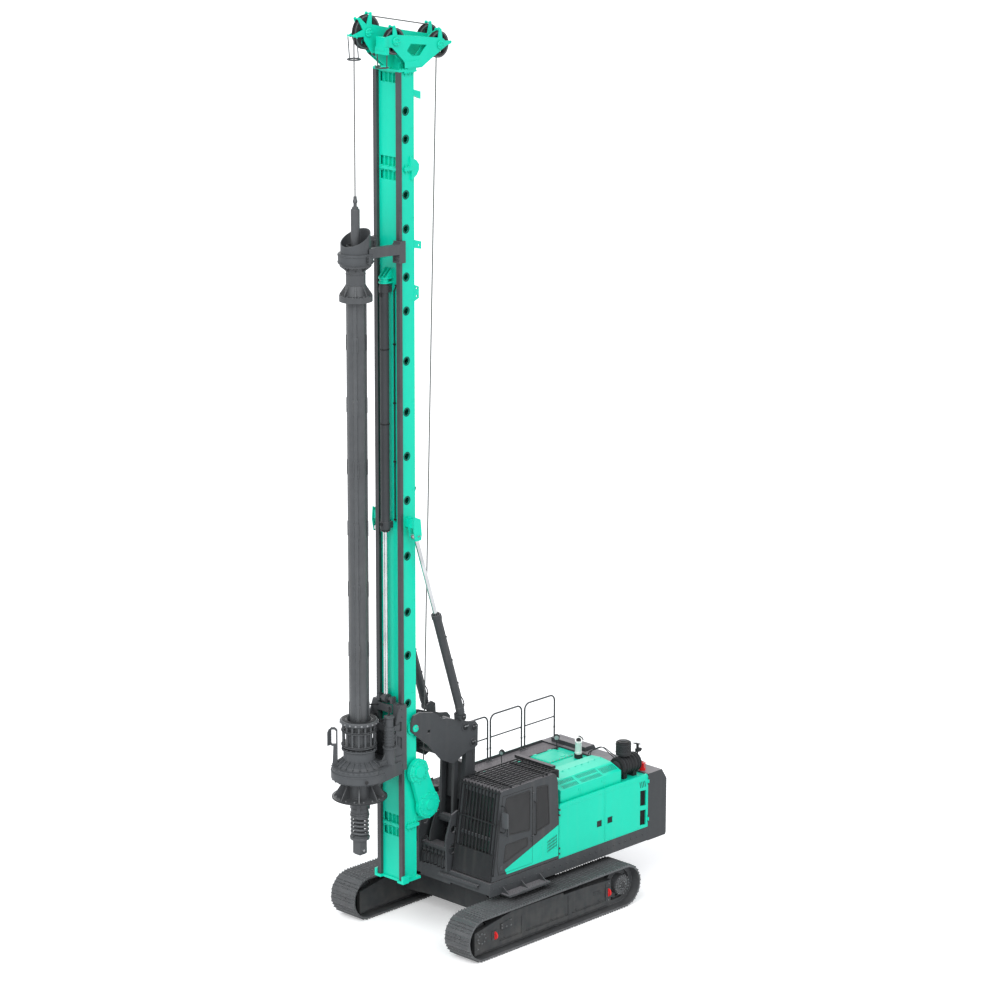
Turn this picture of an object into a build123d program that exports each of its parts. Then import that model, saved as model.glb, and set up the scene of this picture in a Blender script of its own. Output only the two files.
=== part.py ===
from build123d import *
from math import cos, hypot, pi, radians, sin, sqrt
import os

# Rotary piling rig on tracks, in millimetres.
# X points forward to the mast, Y to the left (cab side), Z up.
# The origin is on the ground, on the axis about which the upper machine slews.

os.makedirs("parts", exist_ok=True)

# Clearances
GAP = 0.3                    # between faces that seat on different pieces
RUN = 0.05                   # radial clearance of a pin or shaft in its bore
CLEAR = 6.0                  # least air between pieces that move past each other
SINK = 5.0                   # depth to which a rib or lug runs into the plate that carries it

# Tracks
TRACK_GAUGE = 3100.0         # centre to centre of the two tracks
SHOE_WIDTH = 640.0
WHEEL_BASE = 3940.0          # between sprocket and idler centres
TRACK_R = 440.0              # ground to wheel centre
GROUSER_H = 26.0
GROUSER_W = 24.0
GROUSER_STEP = 0.36          # share of the pitch between two ribs of a shoe
SHOE_HALF = 0.47             # share of the pitch that half a shoe covers
SHOE_T = 24.0
SHOE_COUNT = 50
LINK_H = 85.0
LINK_WIDTH = 220.0
ROLLER_R = 95.0
ROLLER_HALF = 105.0
ROLLER_AXLE_R = 42.0
ROLLER_COUNT = 8
ROLLER_PITCH = 400.0
CARRIER_R = 70.0
CARRIER_AXLE_R = 30.0
CARRIER_X = 760.0
WHEEL_HUB_R = 90.0
MOTOR_R = 200.0              # gear housing in the middle of a sprocket
MOTOR_OUT = 205.0
SPROCKET_HALF = 55.0
IDLER_HALF = 85.0

# Track frames, half widths about the middle of the track
SIDE_FRAME_HALF = 235.0
SIDE_WALL_IN = 150.0         # inner face of the side walls that hold the idler
CHAIN_ROOM = LINK_WIDTH / 2 + 15.0
FRAME_WALL = 26.0
PANEL_DEPTH = 10.0

# Undercarriage centre and slewing ring
CENTRE_HALF = 780.0
CENTRE_CUT = 560.0
CENTRE_BOTTOM = 470.0
CENTRE_TOP = 880.0
CROSS_BEAM_X = 700.0
CROSS_BEAM_LENGTH = 420.0
CROSS_BEAM_BOTTOM = 380.0
CROSS_BEAM_BEND = 700.0      # y at which a cross beam starts to taper
CROSS_BEAM_END = (320.0, 560.0)  # low and high z where a cross beam meets its track frame
SLEW_R = 640.0
SLEW_BORE_R = 470.0
SLEW_SPLIT = 940.0

# Tie-down lugs
LUG_X = (-1540.0, 1613.0)
LUG_Z = 410.0
LUG_R = 80.0
LUG_HALF = 14.0
LUG_HOLE_R = 18.0
LUG_HOLE_OUT = 36.0
LUG_FOOT = (70.0, 90.0, 12.0)

# Upper deck
DECK_BOTTOM = 1000.0
DECK_TOP = 1280.0
DECK_SHEET = 60.0
DECK_HALF = 1450.0
DECK_FRONT = 1400.0
DECK_REAR = -3050.0
SKIRT_T = 24.0
SPINE_HALF = 395.0           # centre girder of the deck
STEP_T = 20.0
SIDE_STEP = (-30.0, 1100.0, 1680.0, 1000.0)
FRONT_STEP = (1460.0, 125.0, 1170.0, 1150.0)

# Luffing linkage, all pivots as (x, z)
BOOM_FOOT = (844.0, 1811.0)
LUFF_REACH = (-60.0, 1900.0)     # from foot pivot to top pivot, the same for boom and link
LINK_FOOT = (1060.0, 2160.0)
PIVOT_R = 45.0
PIVOT_HEAD = 18.0
BOOM_BOSS_R = 125.0
BOOM_ARM_IN = 235.0
BOOM_ARM_OUT = 345.0
BOOM_WEB_T = 60.0
LINK_HALF = 55.0
LINK_BOSS_R = 85.0
LINK_OUT = 190.0
LINK_BAR_W = 60.0
LINK_LUG_T = 26.0
PLATE_IN = 352.0             # inner face of the outer bracket plates
PLATE_T = 40.0
PLATE_OUT = PLATE_IN + PLATE_T
LUFF_Y = 255.0
LUFF_FOOT = (-250.0, 1590.0)
LUFF_EYE = (555.0, 2950.0)
LUFF_BARREL_R = 80.0
LUFF_ROD_R = 45.0
LUFF_RETRACT = 170.0         # rod travel kept free behind the rod's end

# Cylinder details shared by the luffing and the mast cylinders
CYL_PIN_R = 45.0
CYL_EYE_R = 80.0
CYL_EYE_HALF = 46.0
CYL_LUG_T = 26.0
CYL_GLAND = 120.0
CYL_COLLAR = 90.0
CYL_COLLAR_H = 10.0
ROD_COLLAR_H = 3.0
CYL_BORE_OVER = 14.0         # bore radius over rod radius
CYL_FLOOR = 60.0             # solid end of a barrel beyond its eye
EYE_PLAY = 20.0              # free play of the opened rod eye about its pin

# Mast carrier
CARRIER_BOSS_R = 78.0
CARRIER_BOSS_H = 14.0
CARRIER_HOLE = (1951.0, 4201.0)
CARRIER_HOLE_HALF = 34.0
CARRIER_TUBES = (((1490.0, 4225.0), 90.0), ((1440.0, 3640.0), 80.0))
CARRIER_SCOOP = ((1500.0, 4590.0), 235.0)

# Mast
MAST_FRONT = 2545.0
MAST_DEPTH = 335.0
MAST_REAR = MAST_FRONT - MAST_DEPTH
MAST_MIDDLE = 2413.0         # x of the round holes in the sides
MAST_HALF = 300.0
MAST_WALL = 20.0
MAST_FOOT = 1370.0
MAST_LOWER_JOINT = 2415.0
MAST_UPPER_JOINT = 14930.0
MAST_TOP = 16698.0
RAIL_W = 90.0
RAIL_OUT = MAST_HALF + 35.0
RAIL_IN = RAIL_OUT - RAIL_W
RAIL_FRONT = 2610.0
HOLE_R = 62.0
FLANGE_T = 30.0
FLANGE_OUT = 42.0            # how far a flange stands out from the mast's sides and back
FLANGE_RIB = 14.0
FLANGE_RIB_H = 95.0
RECESS_DEPTH = 55.0          # pocket with ribs in the mast's front beside a flange
RECESS_H = 190.0
MAST_PIVOT = (2310.0, 4350.0)
MAST_PIVOT_R = 70.0
MAST_HOLES = (4845.0, 5781.0, 6620.0, 7700.0, 8763.0, 9600.0, 10436.0, 11391.0, 12323.0, 12950.0,
              13836.0, 14460.0)
TOP_HOLES = (15470.0, 15979.0)

# Mast cylinders
MAST_CYL_Y = 482.0
MAST_CYL_FOOT = (1170.0, 4330.0)
MAST_CYL_EYE = (2380.0, 8105.0)
MAST_CYL_R = 78.0
MAST_ROD_R = 42.0
MAST_RETRACT = 320.0

# Kelly bar and rotary drive, about the vertical drill axis
DRILL_X = 3390.0
KELLY_R = 166.0
KELLY_BORE_R = 150.0
KELLY_KEY = 34.0
KELLY_KEY_HALF = 30.0
KELLY_KEYS = 3
KELLY_NECK_R = 189.0
KELLY_TOP = 13640.0
KELLY_FLANGE_Z = 12620.0
KELLY_FLANGE_H = 106.0
KELLY_FLANGE_R = 304.0
KELLY_TAPER_TOP = 12915.0
KELLY_HEAD_R = 290.0
KELLY_HEAD_H = 40.0
KELLY_RIBS = 8
KELLY_RIB_HALF = 9.0
KELLY_BOTTOM = 2919.0
CORE_R = 82.0
CORE_BORE_R = 24.0
CORE_BORE_END = 2480.0
CORE_TOP = 14297.0
SWIVEL_TOP = 14525.0
STUB_SIDE = 196.0
STUB_BOTTOM = 2048.0
STUB_TOP = 2355.0
STUB_PIN_R = 20.0
STUB_PIN_UP = 90.0
SPRING_R = 182.0
SPRING_WIRE = 34.0
SPRING_SEAT = 80.0
SPRING_TURNS = 5
SPRING_TOP = 2839.0
GUIDE_RING_R = 321.0
GUIDE_FUNNEL_R = 273.0
GUIDE_WALL = 18.0
GUIDE_Z = 13304.0
GUIDE_RING_H = 199.0
GUIDE_BEARING_H = 120.0
GUIDE_HIGH = 13911.0
GUIDE_LOW = 13632.0
GUIDE_SHOE = (-60.0, 340.0)
GUIDE_ARM = (110.0, 290.0)
SHOE_OUT = RAIL_OUT + 60.0

# Rotary drive
COLLAR_R = 355.0
COLLAR_TOP = 4709.0
CAGE_R = 330.0
CAGE_BAR_R = 305.0
CAGE_BARS = 16
CAGE_BOTTOM = 4200.0
CAGE_TOP = 4620.0
CAGE_RINGS = ((CAGE_BOTTOM, 40.0), (4483.0, 37.0))
CASE_R = 530.0
CASE_BOTTOM = 3549.0
CASE_TOP = 3803.0
CASE_EDGE = 30.0
BELL_TOP = 4150.0
BELL_R = 296.0
ARM_Z = (3584.0, 3906.0)
ARM_Y = (300.0, 392.0)
SIDE_PLATE_TOP = 4870.0
SIDE_PLATE_T = 36.0
MOTOR_X = 2945.0
MOTOR_Y = 345.0
DISC_R = 513.0
DISC_Z = 3181.0
DISC_T = 28.0
DISC_RIBS = 8
SLEEVE_R = 245.0
SLEEVE_BORE_R = 208.0

# Crowd cylinder on the mast front
CROWD_X = 2680.0
CROWD_R = 84.0
CROWD_BORE_R = 62.0
CROWD_ROD_R = 46.0
CROWD_TOP = 12839.0
CROWD_GLAND = 8212.0
CROWD_GLAND_H = 150.0
CROWD_ROD_TOP = 9750.0
CROWD_EYE_Z = 4942.0
CROWD_EYE_HALF = 45.0
CROWD_CLAMP_H = 120.0
CROWD_HEAD_R = 105.0
CROWD_HEAD_TOP = 12951.0

# Winch on the mast's back
WINCH = (1935.0, 2780.0)
DRUM_R = 190.0
DRUM_FLANGE_R = 250.0
DRUM_HALF = 235.0
DRUM_SIDE = 30.0
WINCH_SHAFT_R = 60.0
GEAR_Y = (345.0, 430.0)
GEAR_WHEELS = (((1995.0, 2780.0), 270.0, 95.0), ((2250.0, 3490.0), 240.0, 115.0))
GEAR_LID = 45.0

# Mast head
ROPE_R = 12.0
ROPE_SINK = 16.0             # depth of the rope's centre in a sheave's rim
ROPE_END = 4420.0            # the hoist rope hangs on inside the hollow core
MAIN_SHEAVE_R = 310.0
MAIN_SHEAVE = (DRILL_X - MAIN_SHEAVE_R + ROPE_SINK, 17440.0)
REAR_SHEAVE_R = 250.0
REAR_SHEAVE = (1560.0, 17180.0)
AUX_Y = 290.0
AUX_SHEAVE_R = 240.0
AUX_FRONT = (2700.0, 17265.0)
AUX_REAR = (1585.0, 17090.0)
SHEAVE_HALF = 38.0
SHEAVE_PLATE_T = 20.0
SHEAVE_PIN_R = 45.0
KEEPER_R = 14.0
HEAD_BASE_T = 40.0
RING_Z = 16985.0
RING_R = 115.0
RING_BAR_R = 14.0
CHAIN_R = 10.0

# Cab
CAB_RIGHT = 430.0
CAB_LEFT = 1450.0
CAB_FRONT = 1355.0
CAB_FRONT_TOP = 1110.0
CAB_REAR = -495.0
CAB_REAR_TOP = -400.0
CAB_FLOOR = 1300.0
CAB_TOP = 3050.0
CAB_SHEET = 60.0             # floor and roof
CAB_WALL = 50.0
CAB_ROUND = 90.0
CAB_LOW = CAB_FLOOR + CAB_SHEET + GAP
CAB_HIGH = CAB_TOP - CAB_SHEET - GAP
GLASS_HALF = 3.0
GUARD_BAR = 26.0
GUARD_BARS = 12
GUARD_OFF = 8.0
GUARD_SOLID_TOP = 1800.0
ROOF_BARS = 9
PANEL_T = 4.0
DOOR_REAR = 238.0
DOOR_GRIP = (930.0, 2135.0, 2345.0)  # x, low and high z of the door's handle

# Hinges of doors and hood
HINGE_OUT = 14.0             # from a door's face to its hinge's axis
KNUCKLE_R = 13.0
KNUCKLE_LENGTH = 70.0
HINGE_LEAF = 6.0
HINGE_LEAF_W = 60.0
HINGE_PIN_R = 7.0
CAB_HINGE_Z = (1890.0, 2750.0)
SIDE_HINGE_Z = (1450.0, 2230.0)
HOOD_HINGE_X = (-860.0, -2060.0)

# Engine housing
HOUSE_FRONT = -500.0
HOUSE_REAR = -3050.0
DOOR_SPLIT = -1794.0
DOOR_T = 40.0
DOOR_TOP = 2385.0
DOOR_CORNER = 70.0           # height of the cut at a door's upper outer corner
HOUSE_TOP = 2345.0
HOUSE_HALF = DECK_HALF - DOOR_T - GAP
HOUSE_SHEET = 40.0
HOUSE_POST = 60.0
HOOD_FRONT = -612.0
HOOD_REAR = -2323.0
HOOD_OUT = 1380.0
HOOD_IN = 600.0
HOOD_SHEET = 12.0
HOOD_EDGE = (1380.0, 2612.0)     # (y, z) of the outer edge of the louvred slope
HOOD_FOLD = (1112.0, 2722.0)
HOOD_RIDGE = (850.0, 2755.0)
LOUVRE_PITCH = 36.0
LOUVRE_BAR = 20.0
LOUVRE_T = 8.0

# Handrails
RAIL_TOP = 3300.0
RAIL_MIDDLE = 2840.0
RAIL_R = 17.0
RAIL_Y = -1350.0
RAIL_BEND = 130.0
RAIL_FOOT = 45.0
HOOPS = ((-3329.0, -2466.0), (-2375.0, -1488.0), (-1408.0, -560.0))

# Counterweight
CW_FRONT = HOUSE_REAR - GAP
CW_REAR = -3620.0
CW_BOTTOM = 990.0
CW_TOP = 2376.0
CW_ROUND = 60.0


def box(x0, x1, y0, y1, z0, z1):
    """A block between two corners."""
    centre = Pos((x0 + x1) / 2, (y0 + y1) / 2, (z0 + z1) / 2)
    return centre * Box(x1 - x0, y1 - y0, z1 - z0)


def span(side, near, far):
    """Low and high y of the stretch from near to far, on the left (1) or the right (-1)."""
    return (near, far) if side > 0 else (-far, -near)


def side_plate(points, y0, y1):
    """An outline of (x, z) points, thick from y0 to y1."""
    face = make_face(Polyline(*points, close=True))
    return extrude(Plane.XZ.offset(-y0) * face, amount=-(y1 - y0))


def cross_plate(points, x0, x1):
    """An outline of (y, z) points, thick from x0 to x1."""
    face = make_face(Polyline(*points, close=True))
    return extrude(Plane.YZ.offset(x0) * face, amount=x1 - x0)


def plan_plate(points, z0, z1):
    """An outline of (x, y) points, thick from z0 to z1."""
    face = make_face(Polyline(*points, close=True))
    return extrude(Plane.XY.offset(z0) * face, amount=z1 - z0)


def turned(points):
    """An outline of (r, z) points turned about the drill axis."""
    face = make_face(Polyline(*points, close=True))
    return Pos(DRILL_X, 0, 0) * revolve(Plane.XZ * face, axis=Axis.Z)


def round_the_drill(piece, count, first=0.0):
    """Copies of a piece, drawn about the Z axis, spread evenly about the drill axis."""
    return [Pos(DRILL_X, 0, 0) * Rot(0, 0, first + 360.0 / count * i) * piece for i in range(count)]


def disc_y(at, y0, y1, r):
    """A round bar along Y at (x, z)."""
    return Pos(at[0], (y0 + y1) / 2, at[1]) * Rot(90, 0, 0) * Cylinder(r, y1 - y0)


def disc_z(x, y, z0, z1, r):
    """A round bar along Z."""
    return Pos(x, y, (z0 + z1) / 2) * Cylinder(r, z1 - z0)


def disc_x(x0, x1, y, z, r):
    """A round bar along X."""
    return Pos((x0 + x1) / 2, y, z) * Rot(0, 90, 0) * Cylinder(r, x1 - x0)


def bar(p, q, r):
    """A round bar between two points in space."""
    run = Vector(*q) - Vector(*p)
    plane = Plane(origin=p, z_dir=run)
    return plane * Cylinder(r, run.length, align=(Align.CENTER, Align.CENTER, Align.MIN))


def arm(p, q, p_half, q_half, y0, y1):
    """A flat bar between two (x, z) points with round ends, which may taper."""
    length = hypot(q[0] - p[0], q[1] - p[1])
    nx, nz = -(q[1] - p[1]) / length, (q[0] - p[0]) / length
    corners = [(p[0] + nx * p_half, p[1] + nz * p_half), (q[0] + nx * q_half, q[1] + nz * q_half),
               (q[0] - nx * q_half, q[1] - nz * q_half), (p[0] - nx * p_half, p[1] - nz * p_half)]
    return side_plate(corners, y0, y1) + disc_y(p, y0, y1, p_half) + disc_y(q, y0, y1, q_half)


def along(p, q, distance):
    """The (x, z) point that far from p towards q."""
    share = distance / hypot(q[0] - p[0], q[1] - p[1])
    return (p[0] + (q[0] - p[0]) * share, p[1] + (q[1] - p[1]) * share)


def shift(p, d):
    """An (x, z) point moved by an (x, z) step."""
    return (p[0] + d[0], p[1] + d[1])


def polar(centre, reach, angle):
    """The (x, z) point at that reach and angle from a centre."""
    return (centre[0] + reach * cos(radians(angle)), centre[1] + reach * sin(radians(angle)))


def save(name, *items):
    """Write one node; its solids may stand apart."""
    found = []
    for item in items:
        found.extend(item.solids())
    shape = found[0] if len(found) == 1 else Compound(children=found)
    shape.label = name
    export_step(shape, f"parts/{name}.step")


def hinge_z(at, door_x, frame_x, face_y, side, z):
    """Knuckles of a hinge with an upright pin: the door's and the frame's half."""
    half = KNUCKLE_LENGTH / 2
    y0, y1 = span(side, face_y - SINK, face_y + HINGE_LEAF)
    moving = disc_z(*at, z - half, z + half, KNUCKLE_R)
    moving += box(*sorted((at[0], door_x)), y0, y1, z - half, z + half)
    moving -= disc_z(*at, z - half - 1, z + half + 1, HINGE_PIN_R + RUN)
    still = disc_z(*at, z - half - SINK, z + half + SINK, HINGE_PIN_R)
    for low, high in ((z - 2 * half, z - half - GAP), (z + half + GAP, z + 2 * half)):
        still += disc_z(*at, low, high, KNUCKLE_R)
        still += box(*sorted((at[0] - (GAP if door_x > frame_x else -GAP), frame_x)), y0, y1, low, high)
    return moving, still


BOOM_HEAD = shift(BOOM_FOOT, LUFF_REACH)
LINK_HEAD = shift(LINK_FOOT, LUFF_REACH)

# Sizes of a track that follow from its pitch
PLATE_R = TRACK_R - GROUSER_H
CHAIN_R_MID = PLATE_R - SHOE_T - LINK_H / 2
LOOP = 2 * WHEEL_BASE + 2 * pi * CHAIN_R_MID
PITCH = LOOP / SHOE_COUNT
RIB = GROUSER_STEP * PITCH
BEND_R = sqrt(TRACK_R ** 2 - (RIB + GROUSER_W / 2) ** 2) - GROUSER_H
BAND_IN = BEND_R - SHOE_T
CHAIN_IN = BAND_IN - LINK_H


# Tracks
def oval(r, y, width):
    """A block with round ends that fills a track loop out to radius r."""
    half = WHEEL_BASE / 2
    middle = box(-half, half, y - width / 2, y + width / 2, TRACK_R - r, TRACK_R + r)
    ends = [disc_y((x, TRACK_R), y - width / 2, y + width / 2, r) for x in (-half, half)]
    return middle + ends[0] + ends[1]


def shoe_place(s):
    """Centre x, turn and plate radius of the shoe at the distance s round the loop."""
    half = WHEEL_BASE / 2
    bend = pi * CHAIN_R_MID
    if s < WHEEL_BASE:
        return half - s, 0.0, PLATE_R
    if s < WHEEL_BASE + bend:
        return -half, (s - WHEEL_BASE) / CHAIN_R_MID, BEND_R
    if s < 2 * WHEEL_BASE + bend:
        return -half + (s - WHEEL_BASE - bend), pi, PLATE_R
    return half, pi + (s - 2 * WHEEL_BASE - bend) / CHAIN_R_MID, BEND_R


def track_band(y):
    """One closed track: shoes with three ribs each, and the chain that they are bolted to."""
    shoe = [(-SHOE_HALF * PITCH, 0.0)]
    for k in (-1, 0, 1):
        shoe += [(k * RIB - GROUSER_W / 2, 0.0), (k * RIB, GROUSER_H), (k * RIB + GROUSER_W / 2, 0.0)]
    shoe.append((SHOE_HALF * PITCH, 0.0))
    outline = []
    for i in range(SHOE_COUNT):
        x, turn, reach = shoe_place((i + 0.5) * PITCH)
        for ahead, lift in shoe:
            outline.append((x - cos(turn) * ahead - sin(turn) * (reach + lift),
                            TRACK_R - sin(turn) * ahead + cos(turn) * (reach + lift)))
    shoes = side_plate(outline, y - SHOE_WIDTH / 2, y + SHOE_WIDTH / 2)
    shoes -= oval(BAND_IN, y, SHOE_WIDTH)
    chain = oval(BAND_IN + SHOE_T / 2, y, LINK_WIDTH) - oval(CHAIN_IN, y, LINK_WIDTH + 2)
    return shoes + chain


frame_outline = [(-1620, 165), (-1620, 650), (-900, 690), (-300, 700), (-260, 745), (1150, 765),
                 (2148, 585), (2148, 130), (1900, 165)]
frame_panels = [  # x0, x1, z0, z1
    (-1480, -520, 250, 600),
    (-420, 760, 250, 650),
    (870, 1480, 250, 600),
]
CARRIER_Z = TRACK_R + CHAIN_IN - CARRIER_R - GAP


def track_frame(side):
    """The hollow beam inside a track, open below over the rollers, with sunk panels outside."""
    y = side * TRACK_GAUGE / 2
    half = WHEEL_BASE / 2
    roller_top = TRACK_R - CHAIN_IN + 2 * ROLLER_R + CLEAR
    beam = side_plate(frame_outline, y - SIDE_FRAME_HALF, y + SIDE_FRAME_HALF)
    chain_way = box(-half, 2 * half, y - CHAIN_ROOM, y + CHAIN_ROOM, 0, 2 * TRACK_R)
    beam -= chain_way - oval(CHAIN_IN - CLEAR, y, 2 * CHAIN_ROOM + 2)
    beam -= box(-half, half, y - SIDE_FRAME_HALF + FRAME_WALL, y + SIDE_FRAME_HALF - FRAME_WALL, 0,
                roller_top)
    beam -= disc_y((half, TRACK_R), y - SIDE_WALL_IN, y + SIDE_WALL_IN, CHAIN_IN + CLEAR)
    beam -= box(half, half + CHAIN_IN, y - SIDE_WALL_IN, y + SIDE_WALL_IN, 0, 2 * TRACK_R)
    for x in (-CARRIER_X, CARRIER_X):
        beam -= box(x - CARRIER_R - CLEAR, x + CARRIER_R + CLEAR, y - CHAIN_ROOM, y + CHAIN_ROOM,
                    CARRIER_Z - CARRIER_R - CLEAR, 2 * TRACK_R)
    face = TRACK_GAUGE / 2 + SIDE_FRAME_HALF
    for x0, x1, z0, z1 in frame_panels:
        beam -= box(x0, x1, *span(side, face - PANEL_DEPTH, face + 1), z0, z1)
    inner = TRACK_GAUGE / 2 - SIDE_FRAME_HALF
    motor_side = span(side, inner, TRACK_GAUGE / 2 - SIDE_WALL_IN)
    return beam + arm((-half + 420, TRACK_R), (-half, TRACK_R), MOTOR_R, MOTOR_R, *motor_side)


def track_wheels(side):
    """Sprocket, idler, lower rollers and carrier rollers of one track."""
    y = side * TRACK_GAUGE / 2
    middle = TRACK_GAUGE / 2
    wheel = CHAIN_IN - GAP
    half = WHEEL_BASE / 2
    sprocket = disc_y((-half, TRACK_R), y - SPROCKET_HALF, y + SPROCKET_HALF, wheel)
    sprocket += disc_y((-half, TRACK_R), *span(side, middle - SIDE_WALL_IN + GAP, middle + MOTOR_OUT),
                       MOTOR_R)
    sprocket += disc_y((-half, TRACK_R), *span(side, middle + MOTOR_OUT - SINK, middle + MOTOR_OUT + 20),
                       120)
    for i in range(6):
        hole = polar((-half, TRACK_R), 248, 60 * i + 30)
        sprocket -= disc_y(hole, y - SPROCKET_HALF - SINK, y + SPROCKET_HALF + SINK, 26)
    idler = disc_y((half, TRACK_R), y - IDLER_HALF, y + IDLER_HALF, wheel)
    idler += disc_y((half, TRACK_R), y - SIDE_WALL_IN + GAP, y + SIDE_WALL_IN - GAP, WHEEL_HUB_R)
    pieces = [sprocket, idler]
    roller_z = TRACK_R - CHAIN_IN + ROLLER_R + GAP
    seat = SIDE_FRAME_HALF - FRAME_WALL - GAP
    for i in range(ROLLER_COUNT):
        x = (i - (ROLLER_COUNT - 1) / 2) * ROLLER_PITCH
        roller = disc_y((x, roller_z), y - ROLLER_HALF, y + ROLLER_HALF, ROLLER_R)
        pieces.append(roller + disc_y((x, roller_z), y - seat, y + seat, ROLLER_AXLE_R))
    for x in (-CARRIER_X, CARRIER_X):
        roller = disc_y((x, CARRIER_Z), y - ROLLER_HALF, y + ROLLER_HALF, CARRIER_R)
        axle = disc_y((x, CARRIER_Z), y - CHAIN_ROOM + GAP, y + CHAIN_ROOM - GAP, CARRIER_AXLE_R)
        pieces.append(roller + axle)
    return pieces


for side, name in ((1, "left"), (-1, "right")):
    save(f"track_{name}", track_band(side * TRACK_GAUGE / 2))
    save(f"track_frame_{name}", track_frame(side))
    save(f"track_wheels_{name}", *track_wheels(side))

# Centre of the undercarriage, with its two cross beams and the lower half of the slewing ring
frame_in = TRACK_GAUGE / 2 - SIDE_FRAME_HALF - GAP
centre_plan = [(CENTRE_HALF, -CENTRE_CUT), (CENTRE_HALF, CENTRE_CUT), (CENTRE_CUT, CENTRE_HALF),
               (-CENTRE_CUT, CENTRE_HALF), (-CENTRE_HALF, CENTRE_CUT), (-CENTRE_HALF, -CENTRE_CUT),
               (-CENTRE_CUT, -CENTRE_HALF), (CENTRE_CUT, -CENTRE_HALF)]
undercarriage = plan_plate(centre_plan, CENTRE_BOTTOM, CENTRE_TOP)
end_low, end_high = CROSS_BEAM_END
beam_front = [(-frame_in, end_high), (-frame_in, end_low), (-CROSS_BEAM_BEND, CROSS_BEAM_BOTTOM),
              (CROSS_BEAM_BEND, CROSS_BEAM_BOTTOM), (frame_in, end_low), (frame_in, end_high),
              (CROSS_BEAM_BEND, CENTRE_TOP - 40), (-CROSS_BEAM_BEND, CENTRE_TOP - 40)]
for x in (-CROSS_BEAM_X, CROSS_BEAM_X):
    undercarriage += cross_plate(beam_front, x - CROSS_BEAM_LENGTH / 2, x + CROSS_BEAM_LENGTH / 2)
undercarriage += disc_z(0, 0, CENTRE_TOP - SINK, SLEW_SPLIT - GAP, SLEW_R)
undercarriage -= disc_z(0, 0, CENTRE_TOP, SLEW_SPLIT, SLEW_BORE_R)
save("undercarriage", undercarriage)

# Half-round tie-down lugs on the outer faces of the track frames
lugs = []
for side in (1, -1):
    face = TRACK_GAUGE / 2 + SIDE_FRAME_HALF + GAP
    foot_x, foot_z, foot_t = LUG_FOOT
    outside = box(min(LUG_X) - 100, max(LUG_X) + 100, *span(side, face, face + 200), 0, 2 * TRACK_R)
    for x in LUG_X:
        lug = disc_x(x - LUG_HALF, x + LUG_HALF, side * face, LUG_Z, LUG_R) & outside
        lug += box(x - foot_x, x + foot_x, *span(side, face, face + foot_t), LUG_Z - foot_z, LUG_Z + foot_z)
        lug -= disc_x(x - foot_x, x + foot_x, side * (face + LUG_HOLE_OUT), LUG_Z, LUG_HOLE_R)
        lugs.append(lug)
save("tie_down_lugs", *lugs)

# Upper deck with the slewing ring, the steps and the brackets of the linkage
deck = box(DECK_REAR, DECK_FRONT, -DECK_HALF, DECK_HALF, DECK_TOP - DECK_SHEET, DECK_TOP)
deck += box(DECK_REAR, DECK_FRONT, -SPINE_HALF, SPINE_HALF, DECK_BOTTOM, DECK_TOP)
for side in (1, -1):
    deck += box(DECK_REAR, DECK_FRONT, *span(side, DECK_HALF - SKIRT_T, DECK_HALF), DECK_BOTTOM, DECK_TOP)
    for x in (-2100, -1050, 0, 700, DECK_FRONT - SKIRT_T):
        deck += box(x, x + SKIRT_T, *span(side, SPINE_HALF, DECK_HALF), DECK_BOTTOM + 40, DECK_TOP)
deck += disc_z(0, 0, SLEW_SPLIT, DECK_BOTTOM + SINK, SLEW_R)
step_x0, step_x1, step_y, step_z = SIDE_STEP
deck += box(step_x0, step_x1, DECK_HALF - SINK, step_y, step_z, step_z + STEP_T)
for x in (step_x0 + 60, (step_x0 + step_x1) / 2, step_x1 - 60):
    bracket = [(DECK_HALF - SINK, step_z + 5), (step_y - 30, step_z + 5), (DECK_HALF - SINK, step_z + 140)]
    deck += cross_plate(bracket, x - 8, x + 8)
tread_x, tread_y0, tread_y1, tread_z = FRONT_STEP
deck += box(DECK_FRONT - SINK, tread_x, tread_y0, tread_y1, tread_z, tread_z + 2 * STEP_T)
bracket = [(-480, DECK_TOP), (1480, DECK_TOP), (1500, 1900), (1340, 2380), (1180, 2440), (1040, 2330),
           (960, 2010), (844, 1960), (700, 1900), (350, 1560), (-160, 1520), (-180, 1690), (-320, 1690),
           (-400, 1520)]
bracket_holes = [((1310, 2090), 70), ((1330, 1700), 95), ((900, 1560), 90), ((500, 1420), 60)]
foot = [(950, DECK_TOP), (1420, DECK_TOP), (1330, 1900), (1180, 2280), (1010, 2280), (950, 2100)]
for side in (1, -1):
    y0, y1 = span(side, PLATE_IN, PLATE_OUT)
    plate = side_plate(bracket, y0, y1)
    for at, r in bracket_holes:
        plate -= disc_y(at, y0 - 1, y1 + 1, r)
    deck += plate
    deck += side_plate(foot, *span(side, LINK_OUT + CLEAR, LINK_OUT + CLEAR + LINK_LUG_T))
    deck += disc_y(BOOM_FOOT, *span(side, PLATE_OUT - SINK, PLATE_OUT + PIVOT_HEAD), BOOM_BOSS_R - 30)
deck += disc_y(BOOM_FOOT, -PLATE_OUT, PLATE_OUT, PIVOT_R)
deck += disc_y(LINK_FOOT, -LINK_OUT - CLEAR - LINK_LUG_T, LINK_OUT + CLEAR + LINK_LUG_T, PIVOT_R)
deck += disc_y(LUFF_FOOT, -PLATE_OUT - 10, PLATE_OUT + 10, CYL_PIN_R)
deck += box(1160, 1400, -PLATE_IN - SINK, PLATE_IN + SINK, DECK_TOP - SINK, 1700)
save("upper_deck", deck)

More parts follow.
